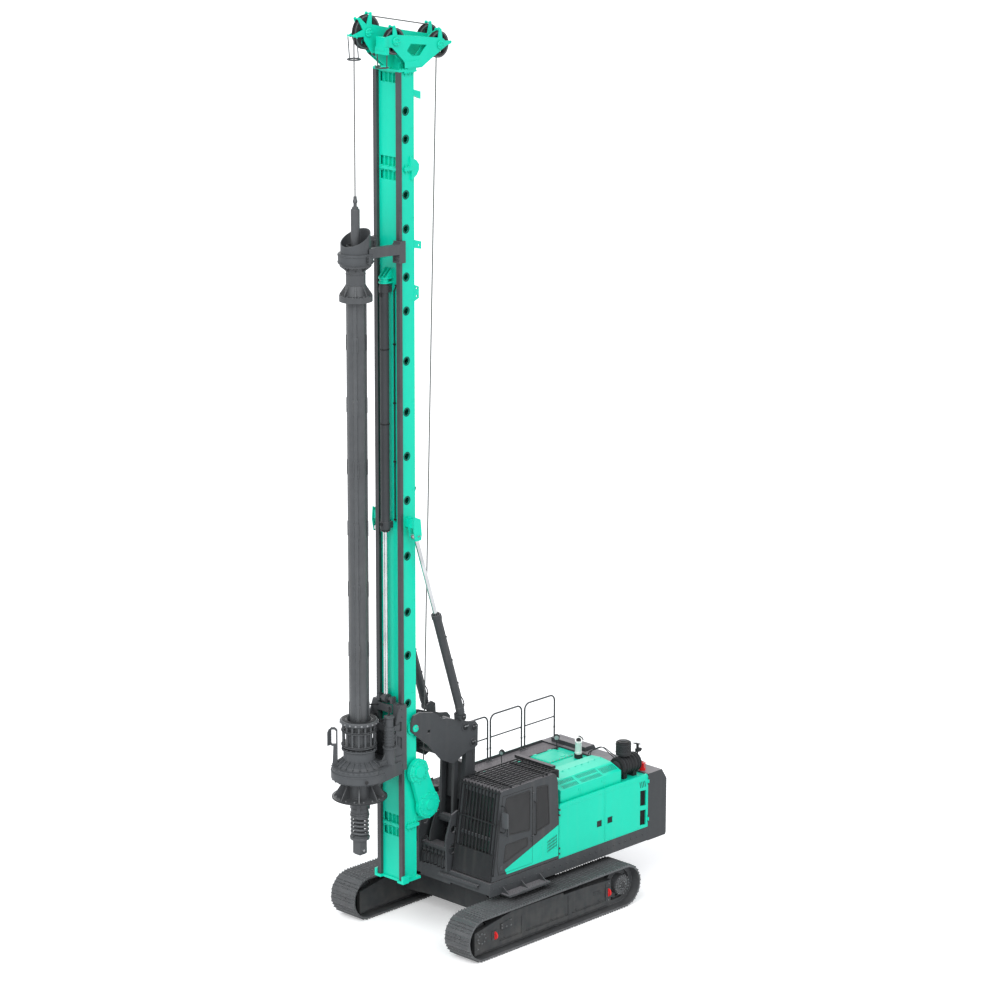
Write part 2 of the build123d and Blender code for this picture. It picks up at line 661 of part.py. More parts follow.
# Boom: two box arms joined by a cross box, with the lugs of the luffing cylinders
lean = LUFF_REACH[0] / LUFF_REACH[1]
lug_root = (BOOM_FOOT[0] + lean * (LUFF_EYE[1] - BOOM_FOOT[1]) - 60, LUFF_EYE[1])
rod_lug = [(LUFF_EYE[0] - 60, LUFF_EYE[1] - 40), (LUFF_EYE[0] - 60, LUFF_EYE[1] + 50),
           (lug_root[0], LUFF_EYE[1] + 190), (lug_root[0], LUFF_EYE[1] - 190)]
cross_low = along(BOOM_FOOT, BOOM_HEAD, 700)
cross_high = along(BOOM_FOOT, BOOM_HEAD, 1450)
cross = [shift(cross_low, (-100, 0)), shift(cross_low, (40, 0)), shift(cross_high, (40, 0)),
         shift(cross_high, (-100, 0))]
boom = side_plate(cross, -BOOM_ARM_IN - SINK, BOOM_ARM_IN + SINK)
for side in (1, -1):
    y0, y1 = span(side, BOOM_ARM_IN, BOOM_ARM_OUT)
    boom += arm(BOOM_FOOT, BOOM_HEAD, BOOM_BOSS_R, BOOM_BOSS_R, y0, y1)
    near = LUFF_Y - CYL_EYE_HALF - CLEAR - CYL_LUG_T
    far = LUFF_Y + CYL_EYE_HALF + CLEAR + CYL_LUG_T
    boom += side_plate(rod_lug, *span(side, near, near + CYL_LUG_T))
    boom += side_plate(rod_lug, *span(side, far - CYL_LUG_T, far))
    boom += disc_y(LUFF_EYE, *span(side, near, far), CYL_PIN_R)
    panel_low = along(BOOM_FOOT, BOOM_HEAD, 260)
    panel_high = along(BOOM_FOOT, BOOM_HEAD, 1640)
    hollow_y = span(side, BOOM_ARM_OUT - PANEL_DEPTH, BOOM_ARM_OUT + 1)
    boom -= arm(panel_low, panel_high, BOOM_WEB_T, BOOM_WEB_T, *hollow_y)
    for at in (BOOM_FOOT, BOOM_HEAD):
        boom -= disc_y(at, y0 - 1, y1 + 1, PIVOT_R + RUN)
save("boom", boom)

# Upper link of the parallelogram: two bars with tubes at the pivots
link = disc_y(LINK_FOOT, -LINK_OUT, LINK_OUT, LINK_BOSS_R)
link += disc_y(LINK_HEAD, -LINK_OUT, LINK_OUT, LINK_BOSS_R)
for side in (1, -1):
    link += arm(LINK_FOOT, LINK_HEAD, LINK_HALF, LINK_HALF, *span(side, LINK_OUT - LINK_BAR_W, LINK_OUT))
for at in (LINK_FOOT, LINK_HEAD):
    link -= disc_y(at, -LINK_OUT - 1, LINK_OUT + 1, PIVOT_R + RUN)
save("luff_link", link)


def cylinder_pair(foot, eye, y, barrel_r, rod_r, barrel_share, retract):
    """Barrels and rods of two cylinders between (x, z) points, at plus and minus y."""
    length = hypot(eye[0] - foot[0], eye[1] - foot[1])
    barrel_end = length * barrel_share
    floor_at = CYL_EYE_R + CYL_FLOOR

    def stretch(yc, start, end, r):
        """A round bar on the cylinder's axis between two distances from its foot."""
        a, b = along(foot, eye, start), along(foot, eye, end)
        return bar((a[0], yc, a[1]), (b[0], yc, b[1]), r)

    barrels, rods = [], []
    for yc in (y, -y):
        barrel = disc_y(foot, yc - CYL_EYE_HALF, yc + CYL_EYE_HALF, CYL_EYE_R)
        barrel += stretch(yc, CYL_EYE_R + 10, barrel_end, barrel_r)
        barrel += stretch(yc, CYL_EYE_R * 0.6, CYL_EYE_R + 12, CYL_EYE_HALF - 2)
        barrel += stretch(yc, barrel_end - CYL_COLLAR, barrel_end, barrel_r + CYL_COLLAR_H)
        barrel += stretch(yc, floor_at, floor_at + CYL_COLLAR, barrel_r + CYL_COLLAR_H / 2)
        barrel -= stretch(yc, floor_at, barrel_end - CYL_GLAND, rod_r + CYL_BORE_OVER)
        barrel -= stretch(yc, barrel_end - CYL_GLAND - 1, barrel_end + 1, rod_r + RUN)
        barrel -= disc_y(foot, yc - 2 * CYL_EYE_HALF, yc + 2 * CYL_EYE_HALF, CYL_PIN_R + RUN)
        barrels.append(barrel)
        rod = stretch(yc, floor_at + retract, length - CYL_EYE_R * 0.6, rod_r)
        rod += stretch(yc, length - 2 * CYL_EYE_R, length - CYL_EYE_R * 0.6, rod_r + ROD_COLLAR_H)
        rod += disc_y(eye, yc - CYL_EYE_HALF, yc + CYL_EYE_HALF, CYL_EYE_R)
        rod -= disc_y(eye, yc - 2 * CYL_EYE_HALF, yc + 2 * CYL_EYE_HALF, CYL_PIN_R + EYE_PLAY)
        rods.append(rod)
    return barrels, rods


luff_barrels, luff_rods = cylinder_pair(LUFF_FOOT, LUFF_EYE, LUFF_Y, LUFF_BARREL_R, LUFF_ROD_R, 0.62,
                                        LUFF_RETRACT)
save("luff_cylinder_barrels", *luff_barrels)
save("luff_cylinder_rods", *luff_rods)

mast_barrels, mast_rods = cylinder_pair(MAST_CYL_FOOT, MAST_CYL_EYE, MAST_CYL_Y, MAST_CYL_R, MAST_ROD_R,
                                        0.575,
                                        MAST_RETRACT)
save("mast_cylinder_barrels", *mast_barrels)
save("mast_cylinder_rods", *mast_rods)

# Mast carrier: two shaped plates with their cross tubes and pins
carrier_shape = [(2410, 4480), (2350, 4600), (2200, 4630), (1831, 4547), (1500, 4360), (1240, 4260),
                 (1250, 4390), (1130, 4440), (1040, 4380), (1030, 4200), (900, 4150), (720, 4120),
                 (640, 4030), (650, 3620), (760, 3570), (930, 3560), (1310, 3400), (1620, 3560),
                 (2000, 3960), (2330, 4230), (2410, 4300)]
carrier_bosses = [(973, 4057), (757, 4005), LINK_HEAD, BOOM_HEAD]
carrier = None
for side in (1, -1):
    y0, y1 = span(side, PLATE_IN, PLATE_OUT)
    plate = side_plate(carrier_shape, y0, y1)
    plate -= disc_y(CARRIER_SCOOP[0], y0 - 1, y1 + 1, CARRIER_SCOOP[1])
    for at in carrier_bosses:
        plate += disc_y(at, *span(side, PLATE_IN, PLATE_OUT + CARRIER_BOSS_H), CARRIER_BOSS_R)
    hole_x, hole_z = CARRIER_HOLE
    plate -= box(hole_x - CARRIER_HOLE_HALF, hole_x + CARRIER_HOLE_HALF, y0 - 1, y1 + 1,
                 hole_z - CARRIER_HOLE_HALF, hole_z + CARRIER_HOLE_HALF)
    carrier = plate if carrier is None else carrier + plate
for at, r in CARRIER_TUBES:
    carrier += disc_y(at, -PLATE_IN - SINK, PLATE_IN + SINK, r)
for at in (BOOM_HEAD, LINK_HEAD):
    carrier += disc_y(at, -PLATE_OUT - PIVOT_HEAD, PLATE_OUT + PIVOT_HEAD, PIVOT_R)
for side in (1, -1):
    carrier += disc_y(MAST_CYL_FOOT, *span(side, PLATE_IN, MAST_CYL_Y + CYL_EYE_HALF + CARRIER_BOSS_H),
                      CYL_PIN_R)
    carrier += disc_y(MAST_CYL_FOOT, *span(side, PLATE_OUT - SINK, MAST_CYL_Y - CYL_EYE_HALF - 2), 70)
    y0, y1 = span(side, PLATE_IN, PLATE_OUT)
    carrier -= disc_y(MAST_PIVOT, y0 - 1, y1 + 1, MAST_PIVOT_R + RUN)
save("mast_carrier", carrier)


# Mast: three bolted box sections
def mast_section(z0, z1, holes):
    """A hollow box section with round holes in its sides."""
    tube = box(MAST_REAR, MAST_FRONT, -MAST_HALF, MAST_HALF, z0, z1)
    tube -= box(MAST_REAR + MAST_WALL, MAST_FRONT - MAST_WALL, -MAST_HALF + MAST_WALL, MAST_HALF - MAST_WALL,
                z0 + FLANGE_T, z1 - FLANGE_T)
    for z in holes:
        tube -= disc_y((MAST_MIDDLE, z), -MAST_HALF - 1, MAST_HALF + 1, HOLE_R)
    return tube


def joint_end(z, up):
    """What a bolted joint adds beyond its plane: flange, side ribs and the pocket in the front."""
    z0, z1 = sorted((z, z + up * FLANGE_T))
    rib0, rib1 = sorted((z + up * (FLANGE_T - 2), z + up * (FLANGE_T + FLANGE_RIB_H)))
    front = MAST_FRONT - 66
    added = box(MAST_REAR - FLANGE_OUT, front, -MAST_HALF - FLANGE_OUT, MAST_HALF + FLANGE_OUT, z0, z1)
    added += box(front - 1, MAST_FRONT + 12, -RAIL_IN + CLEAR, RAIL_IN - CLEAR, z0, z1)
    for x in (MAST_REAR + 30, MAST_REAR + 120, MAST_REAR + 210):
        for side in (1, -1):
            tall, low = rib0 if up < 0 else rib1, rib1 if up < 0 else rib0
            y_wall, y_edge = side * (MAST_HALF - SINK), side * (MAST_HALF + FLANGE_OUT - 4)
            added += cross_plate([(y_wall, low), (y_edge, low), (y_wall, tall)], x, x + FLANGE_RIB)
    return added


def front_pocket(z, up):
    """The pocket in the mast's front beside a joint, and the ribs that stay in it."""
    half = RAIL_IN - 30
    z0, z1 = sorted((z + up * FLANGE_T, z + up * (FLANGE_T + RECESS_H)))
    cut = box(MAST_FRONT - RECESS_DEPTH, MAST_FRONT + 1, -half, half, z0, z1)
    floor = box(MAST_FRONT - RECESS_DEPTH - MAST_WALL, MAST_FRONT - RECESS_DEPTH, -half - SINK, half + SINK,
                z0 - SINK, z1 + SINK)
    frame = floor
    for y in (-0.5 * half, 0.0, 0.5 * half):
        frame += box(MAST_FRONT - RECESS_DEPTH - SINK, MAST_FRONT, y - FLANGE_RIB / 2, y + FLANGE_RIB / 2,
                     z0, z1)
    for z_edge in (z0 - 8, z1 - 8):
        frame += box(MAST_FRONT - RECESS_DEPTH - SINK, MAST_FRONT - 2, -half - SINK, half + SINK, z_edge,
                     z_edge + 16)
    return cut, frame


lower_end = MAST_LOWER_JOINT - GAP / 2
main_start = MAST_LOWER_JOINT + GAP / 2
main_end = MAST_UPPER_JOINT - GAP / 2
top_start = MAST_UPPER_JOINT + GAP / 2
section_table = [  # name, bottom, top, holes, joint ends as (z, direction)
    ("lower", MAST_FOOT, lower_end, (), ((lower_end, -1),)),
    ("main", main_start, main_end, MAST_HOLES, ((main_start, 1), (main_end, -1))),
    ("top", top_start, MAST_TOP, TOP_HOLES, ((top_start, 1), (MAST_TOP, -1))),
]
sections = {}
for name, z0, z1, holes, ends in section_table:
    section = mast_section(z0, z1, holes)
    for z, up in ends:
        cut, frame = front_pocket(z, up)
        section = section - cut + frame
        section += joint_end(z, up)
    sections[name] = section
lower, main, top = sections["lower"], sections["main"], sections["top"]

# Foot plate with the blocks beside the rails
lower += box(MAST_REAR - 70, MAST_FRONT + 30, -MAST_HALF - 50, MAST_HALF + 50, MAST_FOOT - 50, MAST_FOOT)
for side in (1, -1):
    lower += box(MAST_FRONT - 60, RAIL_FRONT + 30, *span(side, RAIL_OUT + GAP, RAIL_OUT + 50),
                 MAST_FOOT - 50,
                 MAST_FOOT + 100)
    lower += box(MAST_FRONT + 20, RAIL_FRONT + 30, *span(side, RAIL_IN - 20, RAIL_OUT + 20), MAST_FOOT - 50,
                 MAST_FOOT - GAP)

# Pivot trunnions and the ears of the mast cylinders
for side in (1, -1):
    main += disc_y(MAST_PIVOT, *span(side, MAST_HALF - SINK, PLATE_OUT + 16), MAST_PIVOT_R)
    main += disc_y(MAST_PIVOT, *span(side, MAST_HALF - SINK, PLATE_IN - 4), 140)
    near = MAST_CYL_Y - CYL_EYE_HALF - CLEAR - CYL_LUG_T
    far = MAST_CYL_Y + CYL_EYE_HALF + CLEAR + CYL_LUG_T
    ear_steps = ((-70, -70), (-90, 30), (-60, 330), (90, 400), (110, 150), (70, -70))
    ear = [shift(MAST_CYL_EYE, d) for d in ear_steps]
    main += side_plate(ear, *span(side, near, near + CYL_LUG_T))
    main += side_plate(ear, *span(side, far - CYL_LUG_T, far))
    ex, ez = MAST_CYL_EYE
    main += box(ex - 55, ex + 85, *span(side, MAST_HALF - SINK, far), ez + 170, ez + 330)
    main += disc_y(MAST_CYL_EYE, *span(side, near, far), CYL_PIN_R)

# Lugs behind the mast, for its transport hinge and its stays
rear_lugs = [  # section, outline as (x, z), holes, y from the middle
    ("main", [(MAST_REAR + 20, 13615), (2021, 13553), (2021, 13412), (MAST_REAR + 20, 13460)],
     [(2074, 13490)], 270, 295),
    ("main", [(MAST_REAR + 20, 12789), (2083, 12727), (2083, 12514), (MAST_REAR + 20, 12459)],
     [(2135, 12700), (2135, 12555)], 270, 295),
    ("top", [(MAST_REAR + 20, 16356), (2021, 16289), (2021, 16151), (MAST_REAR + 20, 16247)], [], 210, 290),
    ("top", [(2330, 15149), (2170, 15060), (2115, 14985), (2115, top_start), (2330, top_start)],
     [], MAST_HALF - SINK, MAST_HALF + 42),
    ("main", [(2300, main_end), (2115, main_end), (2115, 14890), (2170, 14800), (2300, 14711)],
     [], MAST_HALF - SINK, MAST_HALF + 42),
]
for name, outline, holes, near, far in rear_lugs:
    for side in (1, -1):
        lug = side_plate(outline, *span(side, near, far))
        for at in holes:
            lug -= disc_y(at, *span(side, near - 1, far + 1), 22)
        if name == "main":
            main += lug
        else:
            top += lug

# Head bracket of the crowd cylinder
main += disc_z(CROWD_X, 0, CROWD_TOP + GAP, CROWD_TOP + 26, CROWD_HEAD_R)
main += disc_z(CROWD_X, 0, CROWD_TOP + 25, CROWD_HEAD_TOP - 25, CROWD_R)
main += disc_z(CROWD_X, 0, CROWD_HEAD_TOP - 26, CROWD_HEAD_TOP, CROWD_HEAD_R)
main += box(MAST_FRONT - SINK, CROWD_X, -CROWD_HEAD_R, CROWD_HEAD_R, CROWD_HEAD_TOP - 26, CROWD_HEAD_TOP)
main += box(MAST_FRONT - SINK, CROWD_X, -CROWD_HEAD_R, CROWD_HEAD_R, CROWD_TOP + GAP, CROWD_TOP + 26)
for y in (-80, 0, 80):
    main += side_plate([(MAST_FRONT - SINK, CROWD_HEAD_TOP - SINK), (CROWD_X + 60, CROWD_HEAD_TOP - SINK),
                        (MAST_FRONT + 30, CROWD_HEAD_TOP + 150), (MAST_FRONT - SINK, CROWD_HEAD_TOP + 150)],
                       y - 9, y + 9)
save("mast_lower_section", lower)
save("mast_main_section", main)
save("mast_top_section", top)

rails = [box(MAST_FRONT + GAP, RAIL_FRONT, *span(side, RAIL_IN, RAIL_OUT), MAST_FOOT,
             MAST_TOP) for side in (1, -1)]
save("guide_rails", *rails)

# Crowd cylinder
crowd = disc_z(CROWD_X, 0, CROWD_GLAND, CROWD_TOP, CROWD_R)
crowd += disc_z(CROWD_X, 0, CROWD_GLAND, CROWD_GLAND + CROWD_GLAND_H, CROWD_R + 10)
crowd -= disc_z(CROWD_X, 0, CROWD_GLAND + CROWD_GLAND_H, CROWD_TOP - 60, CROWD_BORE_R)
crowd -= disc_z(CROWD_X, 0, CROWD_GLAND - 1, CROWD_GLAND + CROWD_GLAND_H + 1, CROWD_ROD_R + RUN)
for z in (CROWD_GLAND + 20, CROWD_TOP - 170):
    clamp = box(MAST_FRONT + GAP, CROWD_X, -70, 70, z, z + CROWD_CLAMP_H)
    clamp += disc_z(CROWD_X, 0, z, z + CROWD_CLAMP_H, CROWD_R + 14)
    clamp -= disc_z(CROWD_X, 0, z - 1, z + CROWD_CLAMP_H + 1, CROWD_R - 1)
    crowd += clamp
save("crowd_cylinder", crowd)

# Mast head: base, two pairs of sheave plates with their star arms, keepers and hanging rings
head = box(MAST_REAR - 30, MAST_FRONT + 60, -MAST_HALF - FLANGE_OUT, MAST_HALF + FLANGE_OUT, MAST_TOP + GAP,
           MAST_TOP + HEAD_BASE_T)
base_z = MAST_TOP + HEAD_BASE_T - SINK
main_plate = [(2000, base_z), (2600, base_z), (2998, 17046), (3190, 17300), (3215, 17500), (3000, 17570),
              (2635, 17484), (1638, 17270), (1440, 17250), (1420, 17130), (1560, 17040)]
aux_plate = [(1379, 17075), (1500, 17190), (1651, 17223), (2668, 17379), (2800, 17390), (3000, 17350),
             (3000, 17200), (2783, 17160), (2499, 16897), (2400, base_z), (2050, base_z), (1768, 16885)]
aux_window = [(2422, 17066), (2325, 17186), (1922, 17122), (2096, 16948), (2288, 16956)]
pedestal = [(2060, base_z), (2520, base_z), (2430, 16960), (2150, 16960)]
plate_near = SHEAVE_HALF + CLEAR
plate_far = plate_near + SHEAVE_PLATE_T
star_table = [  # sheave centre, middle y, keeper reach, root half width, keeper angles
    (MAIN_SHEAVE, 0.0, MAIN_SHEAVE_R + CLEAR + KEEPER_R + 4, 70.0, (101.0, 50.0)),
    (REAR_SHEAVE, 0.0, REAR_SHEAVE_R + CLEAR + KEEPER_R + 4, 60.0, (94.0, 150.0)),
    (AUX_FRONT, AUX_Y, AUX_SHEAVE_R + CLEAR + KEEPER_R + 4, 60.0, (83.0,)),
    (AUX_REAR, AUX_Y, AUX_SHEAVE_R + CLEAR + KEEPER_R + 4, 60.0, (92.0, 176.0)),
]
for side in (1, -1):
    head += side_plate(main_plate, *span(side, plate_near, plate_far))
    window = side_plate(aux_window, AUX_Y - 2 * plate_far, AUX_Y + 2 * plate_far)
    near, far = span(side, plate_near, plate_far)
    head += side_plate(aux_plate, AUX_Y + near, AUX_Y + far) - window
head += side_plate(pedestal, plate_far - SINK, AUX_Y - plate_far + SINK)
head += side_plate(pedestal, -plate_far - 160, -plate_far + SINK)
for centre, y, reach, root, angles in star_table:
    for angle in angles:
        tip = polar(centre, reach, angle)
        start = polar(centre, 0.25 * reach, angle)
        for side in (1, -1):
            near, far = span(side, plate_near, plate_far)
            head += arm(start, tip, root, KEEPER_R + 14, y + near, y + far)
        head += disc_y(tip, y - plate_far - 10, y + plate_far + 10, KEEPER_R)
    head += disc_y(centre, y - plate_far - 16, y + plate_far + 16, SHEAVE_PIN_R)

# Third front arm, which reaches past the hoist rope and carries the hanging ring
yoke_x = DRILL_X + ROPE_R + CLEAR + KEEPER_R + 6
yoke = (yoke_x, 17408.0)
for side in (1, -1):
    head += arm(polar(MAIN_SHEAVE, 80, 0), yoke, 70, KEEPER_R + 14, *span(side, plate_near, plate_far))
    head += bar((yoke_x, side * RING_R, yoke[1]), (DRILL_X, side * RING_R, RING_Z), CHAIN_R)
head += disc_y(yoke, -RING_R - 12, RING_R + 12, KEEPER_R)
head += Pos(DRILL_X, 0, RING_Z) * Torus(RING_R, RING_BAR_R)

# Cross block in front of the near sheave, with its chains and ring
block_x = AUX_FRONT[0] + AUX_SHEAVE_R + CLEAR + 4
head += box(block_x, block_x + 70, AUX_Y - 110, AUX_Y + 110, 17130, 17370)
head += box(block_x, block_x + 60, AUX_Y - 150, AUX_Y + 150, 17060, 17190)
for side in (1, -1):
    head += bar((block_x + 30, AUX_Y + side * 125, 17070), (block_x + 30, AUX_Y + side * RING_R, 16830),
                CHAIN_R)
head += Pos(block_x + 30, AUX_Y, 16830) * Torus(RING_R, RING_BAR_R)
save("mast_head", head)


def sheave(at, y, r):
    """A grooved rope wheel with a bored hub and six round openings."""
    wheel = disc_y(at, y - SHEAVE_HALF, y + SHEAVE_HALF, r)
    seat_r = ROPE_R + GAP
    groove = Pos(at[0], y, at[1]) * Rot(90, 0, 0) * Torus(r - ROPE_SINK, seat_r)
    flare = [(r - ROPE_SINK, -seat_r), (r + 1, -seat_r - 8), (r + 1, seat_r + 8), (r - ROPE_SINK, seat_r)]
    ring = revolve(Plane.XZ * make_face(Polyline(*flare, close=True)), axis=Axis.Z)
    wheel -= groove
    wheel -= Pos(at[0], y, at[1]) * Rot(90, 0, 0) * ring
    for i in range(6):
        wheel -= disc_y(polar(at, 0.58 * r, 60 * i), y - SHEAVE_HALF - 1, y + SHEAVE_HALF + 1, 0.19 * r)
    return wheel - disc_y(at, y - SHEAVE_HALF - 1, y + SHEAVE_HALF + 1, SHEAVE_PIN_R + RUN)


save("sheave_main_front", sheave(MAIN_SHEAVE, 0, MAIN_SHEAVE_R))
save("sheave_main_rear", sheave(REAR_SHEAVE, 0, REAR_SHEAVE_R))
save("sheave_aux_front", sheave(AUX_FRONT, AUX_Y, AUX_SHEAVE_R))
save("sheave_aux_rear", sheave(AUX_REAR, AUX_Y, AUX_SHEAVE_R))

# Winch on the back of the mast: cheeks, back plate, guard bars and the gear housing on the left
cheek = [(MAST_REAR - GAP, 2450), (MAST_REAR - GAP, 3560), (1960, 3540), (1590, 2730), (1640, 2530),
         (1900, 2440)]
winch = box(MAST_REAR - 14, MAST_REAR - GAP, -DRUM_HALF - 20, DRUM_HALF + 20, 2500, 3500)
for side in (1, -1):
    winch += side_plate(cheek, *span(side, DRUM_HALF + 10, DRUM_HALF + 50))
for at in ((1650, 2790), (1830, 3190), (1975, 3500)):
    winch += disc_y(at, -DRUM_HALF - 20, DRUM_HALF + 20, 18)
winch += disc_y(WINCH, DRUM_HALF + 45, DRUM_HALF + 115, 200)
winch += disc_y(WINCH, -DRUM_HALF - 12, DRUM_HALF + 12, WINCH_SHAFT_R)
low_wheel, low_r = GEAR_WHEELS[0][:2]
high_wheel, high_r = GEAR_WHEELS[1][:2]
winch += arm(low_wheel, high_wheel, low_r - 40, high_r - 40, *GEAR_Y)
for at, r, lid in GEAR_WHEELS:
    winch += disc_y(at, *GEAR_Y, r)
    winch += disc_y(at, GEAR_Y[1] - 1, GEAR_Y[1] + 14, r - 45)
    winch += disc_y(at, GEAR_Y[1] - 1, GEAR_Y[1] + GEAR_LID, lid)
    for i in range(8):
        winch += disc_y(polar(at, r - 12, 45 * i), GEAR_Y[0] + 10, GEAR_Y[1] + 6, 20)
save("winch_frame", winch)

drum = disc_y(WINCH, -DRUM_HALF + DRUM_SIDE, DRUM_HALF - DRUM_SIDE, DRUM_R)
for side in (1, -1):
    drum += disc_y(WINCH, *span(side, DRUM_HALF - DRUM_SIDE, DRUM_HALF - CLEAR), DRUM_FLANGE_R)
drum -= disc_y(WINCH, -DRUM_HALF - 1, DRUM_HALF + 1, WINCH_SHAFT_R + RUN)
save("winch_drum", drum)


# Taut ropes
def tangent_run(p, p_r, q, q_r):
    """Ends of the straight rope that runs over two wheels at (x, z), on their upper or rear side."""
    dx, dz = q[0] - p[0], q[1] - p[1]
    length = hypot(dx, dz)
    share = (p_r - q_r) / length
    rest = sqrt(1 - share ** 2)
    nx = (dx * share - dz * rest) / length
    nz = (dz * share + dx * rest) / length
    return (p[0] + nx * p_r, p[1] + nz * p_r), (q[0] + nx * q_r, q[1] + nz * q_r)


def rope_run(ends, y):
    """A taut rope between two (x, z) points."""
    (x0, z0), (x1, z1) = ends
    return bar((x0, y, z0), (x1, y, z1), ROPE_R)


rear_rope = rope_run(tangent_run(WINCH, DRUM_R + ROPE_R + GAP, REAR_SHEAVE, REAR_SHEAVE_R - ROPE_SINK), 0)
top_rope = rope_run(tangent_run(REAR_SHEAVE, REAR_SHEAVE_R - ROPE_SINK, MAIN_SHEAVE,
                                MAIN_SHEAVE_R - ROPE_SINK), 0)
front_rope = bar((DRILL_X, 0, ROPE_END), (DRILL_X, 0, MAIN_SHEAVE[1]), ROPE_R)
save("hoist_rope", rear_rope, top_rope, front_rope)

# Kelly guide: bearing ring, slanted funnel, arms and rail shoes
guide_bore = KELLY_NECK_R + GAP
funnel_in = GUIDE_FUNNEL_R - GUIDE_WALL
guide = turned([(guide_bore, GUIDE_Z), (GUIDE_RING_R - 12, GUIDE_Z), (GUIDE_RING_R, GUIDE_Z + 12),
                (GUIDE_RING_R, GUIDE_Z + GUIDE_RING_H - 12), (GUIDE_RING_R - 12, GUIDE_Z + GUIDE_RING_H),
                (GUIDE_FUNNEL_R, GUIDE_Z + GUIDE_RING_H), (GUIDE_FUNNEL_R, GUIDE_HIGH),
                (funnel_in, GUIDE_HIGH), (funnel_in, GUIDE_Z + GUIDE_BEARING_H),
                (guide_bore, GUIDE_Z + GUIDE_BEARING_H)])
slant = [(DRILL_X - GUIDE_FUNNEL_R, GUIDE_HIGH), (DRILL_X + GUIDE_FUNNEL_R, GUIDE_LOW),
         (DRILL_X + GUIDE_RING_R, GUIDE_LOW), (DRILL_X + GUIDE_RING_R, GUIDE_HIGH + 10),
         (DRILL_X - GUIDE_FUNNEL_R, GUIDE_HIGH + 10)]
guide -= side_plate(slant, -GUIDE_RING_R, GUIDE_RING_R)
for side in (1, -1):
    plan = [(RAIL_FRONT + 30, side * (SHOE_OUT - 110)), (RAIL_FRONT + 30, side * SHOE_OUT),
            (RAIL_FRONT + 90, side * SHOE_OUT), (DRILL_X - 180, side * 290), (DRILL_X - 60, side * 290),
            (DRILL_X - 120, side * 262), (DRILL_X - 210, side * 205)]
    guide += plan_plate(plan, GUIDE_Z + GUIDE_ARM[0], GUIDE_Z + GUIDE_ARM[1]) - disc_z(
        DRILL_X, 0, GUIDE_Z, GUIDE_HIGH, funnel_in)
    shoe = box(MAST_FRONT - 30, RAIL_FRONT + 60, *span(side, RAIL_IN - 30, SHOE_OUT),
               GUIDE_Z + GUIDE_SHOE[0],
               GUIDE_Z + GUIDE_SHOE[1])
    shoe -= box(MAST_FRONT - 40, RAIL_FRONT + GAP, *span(side, RAIL_IN - 40, RAIL_OUT + GAP),
                GUIDE_Z + GUIDE_SHOE[0] - 1, GUIDE_Z + GUIDE_SHOE[1] + 1)
    shoe -= box(RAIL_FRONT + 40, RAIL_FRONT + 61, *span(side, RAIL_IN - 31, SHOE_OUT + 1), GUIDE_Z + 300,
                GUIDE_Z + GUIDE_SHOE[1] + 1)
    guide += shoe
save("kelly_guide", guide)

# Outer kelly bar with its drive keys, flared heads and ribs
guide_seat = GUIDE_Z - GAP
kelly = turned([(KELLY_BORE_R, KELLY_BOTTOM), (KELLY_R, KELLY_BOTTOM), (KELLY_R, KELLY_FLANGE_Z),
                (KELLY_FLANGE_R, KELLY_FLANGE_Z), (KELLY_FLANGE_R, KELLY_FLANGE_Z + KELLY_FLANGE_H),
                (KELLY_R + 60, KELLY_FLANGE_Z + KELLY_FLANGE_H + 10), (KELLY_NECK_R - 10, KELLY_TAPER_TOP),
                (KELLY_NECK_R - 10, guide_seat - 150), (KELLY_NECK_R + 10, guide_seat - KELLY_HEAD_H),
                (KELLY_HEAD_R, guide_seat - KELLY_HEAD_H), (KELLY_HEAD_R, guide_seat),
                (KELLY_NECK_R, guide_seat), (KELLY_NECK_R, GUIDE_Z + GUIDE_BEARING_H + GAP),
                (KELLY_NECK_R + 30, GUIDE_Z + GUIDE_BEARING_H + GAP), (KELLY_NECK_R + 30, GUIDE_Z + 160),
                (KELLY_R, GUIDE_Z + 170), (KELLY_R, KELLY_TOP), (KELLY_BORE_R, KELLY_TOP)])
flange_top = KELLY_FLANGE_Z + KELLY_FLANGE_H - SINK
head_low = guide_seat - KELLY_HEAD_H + SINK
low_rib = side_plate([(KELLY_NECK_R - 20, flange_top), (KELLY_FLANGE_R - 10, flange_top),
                      (KELLY_FLANGE_R - 10, flange_top + 30), (KELLY_NECK_R - 20, KELLY_TAPER_TOP + 20)],
                     -KELLY_RIB_HALF, KELLY_RIB_HALF)
high_rib = side_plate([(KELLY_NECK_R - 20, head_low), (KELLY_HEAD_R - 8, head_low),
                       (KELLY_HEAD_R - 8, head_low - 20), (KELLY_NECK_R - 20, head_low - 110)],
                      -KELLY_RIB_HALF, KELLY_RIB_HALF)
for rib in round_the_drill(low_rib + high_rib, KELLY_RIBS):
    kelly += rib
key = box(KELLY_R - 8, KELLY_R + KELLY_KEY, -KELLY_KEY_HALF, KELLY_KEY_HALF, KELLY_BOTTOM,
          KELLY_FLANGE_Z + SINK)
for drive_key in round_the_drill(key, KELLY_KEYS, 40.0):
    kelly += drive_key
save("kelly_bar", kelly)

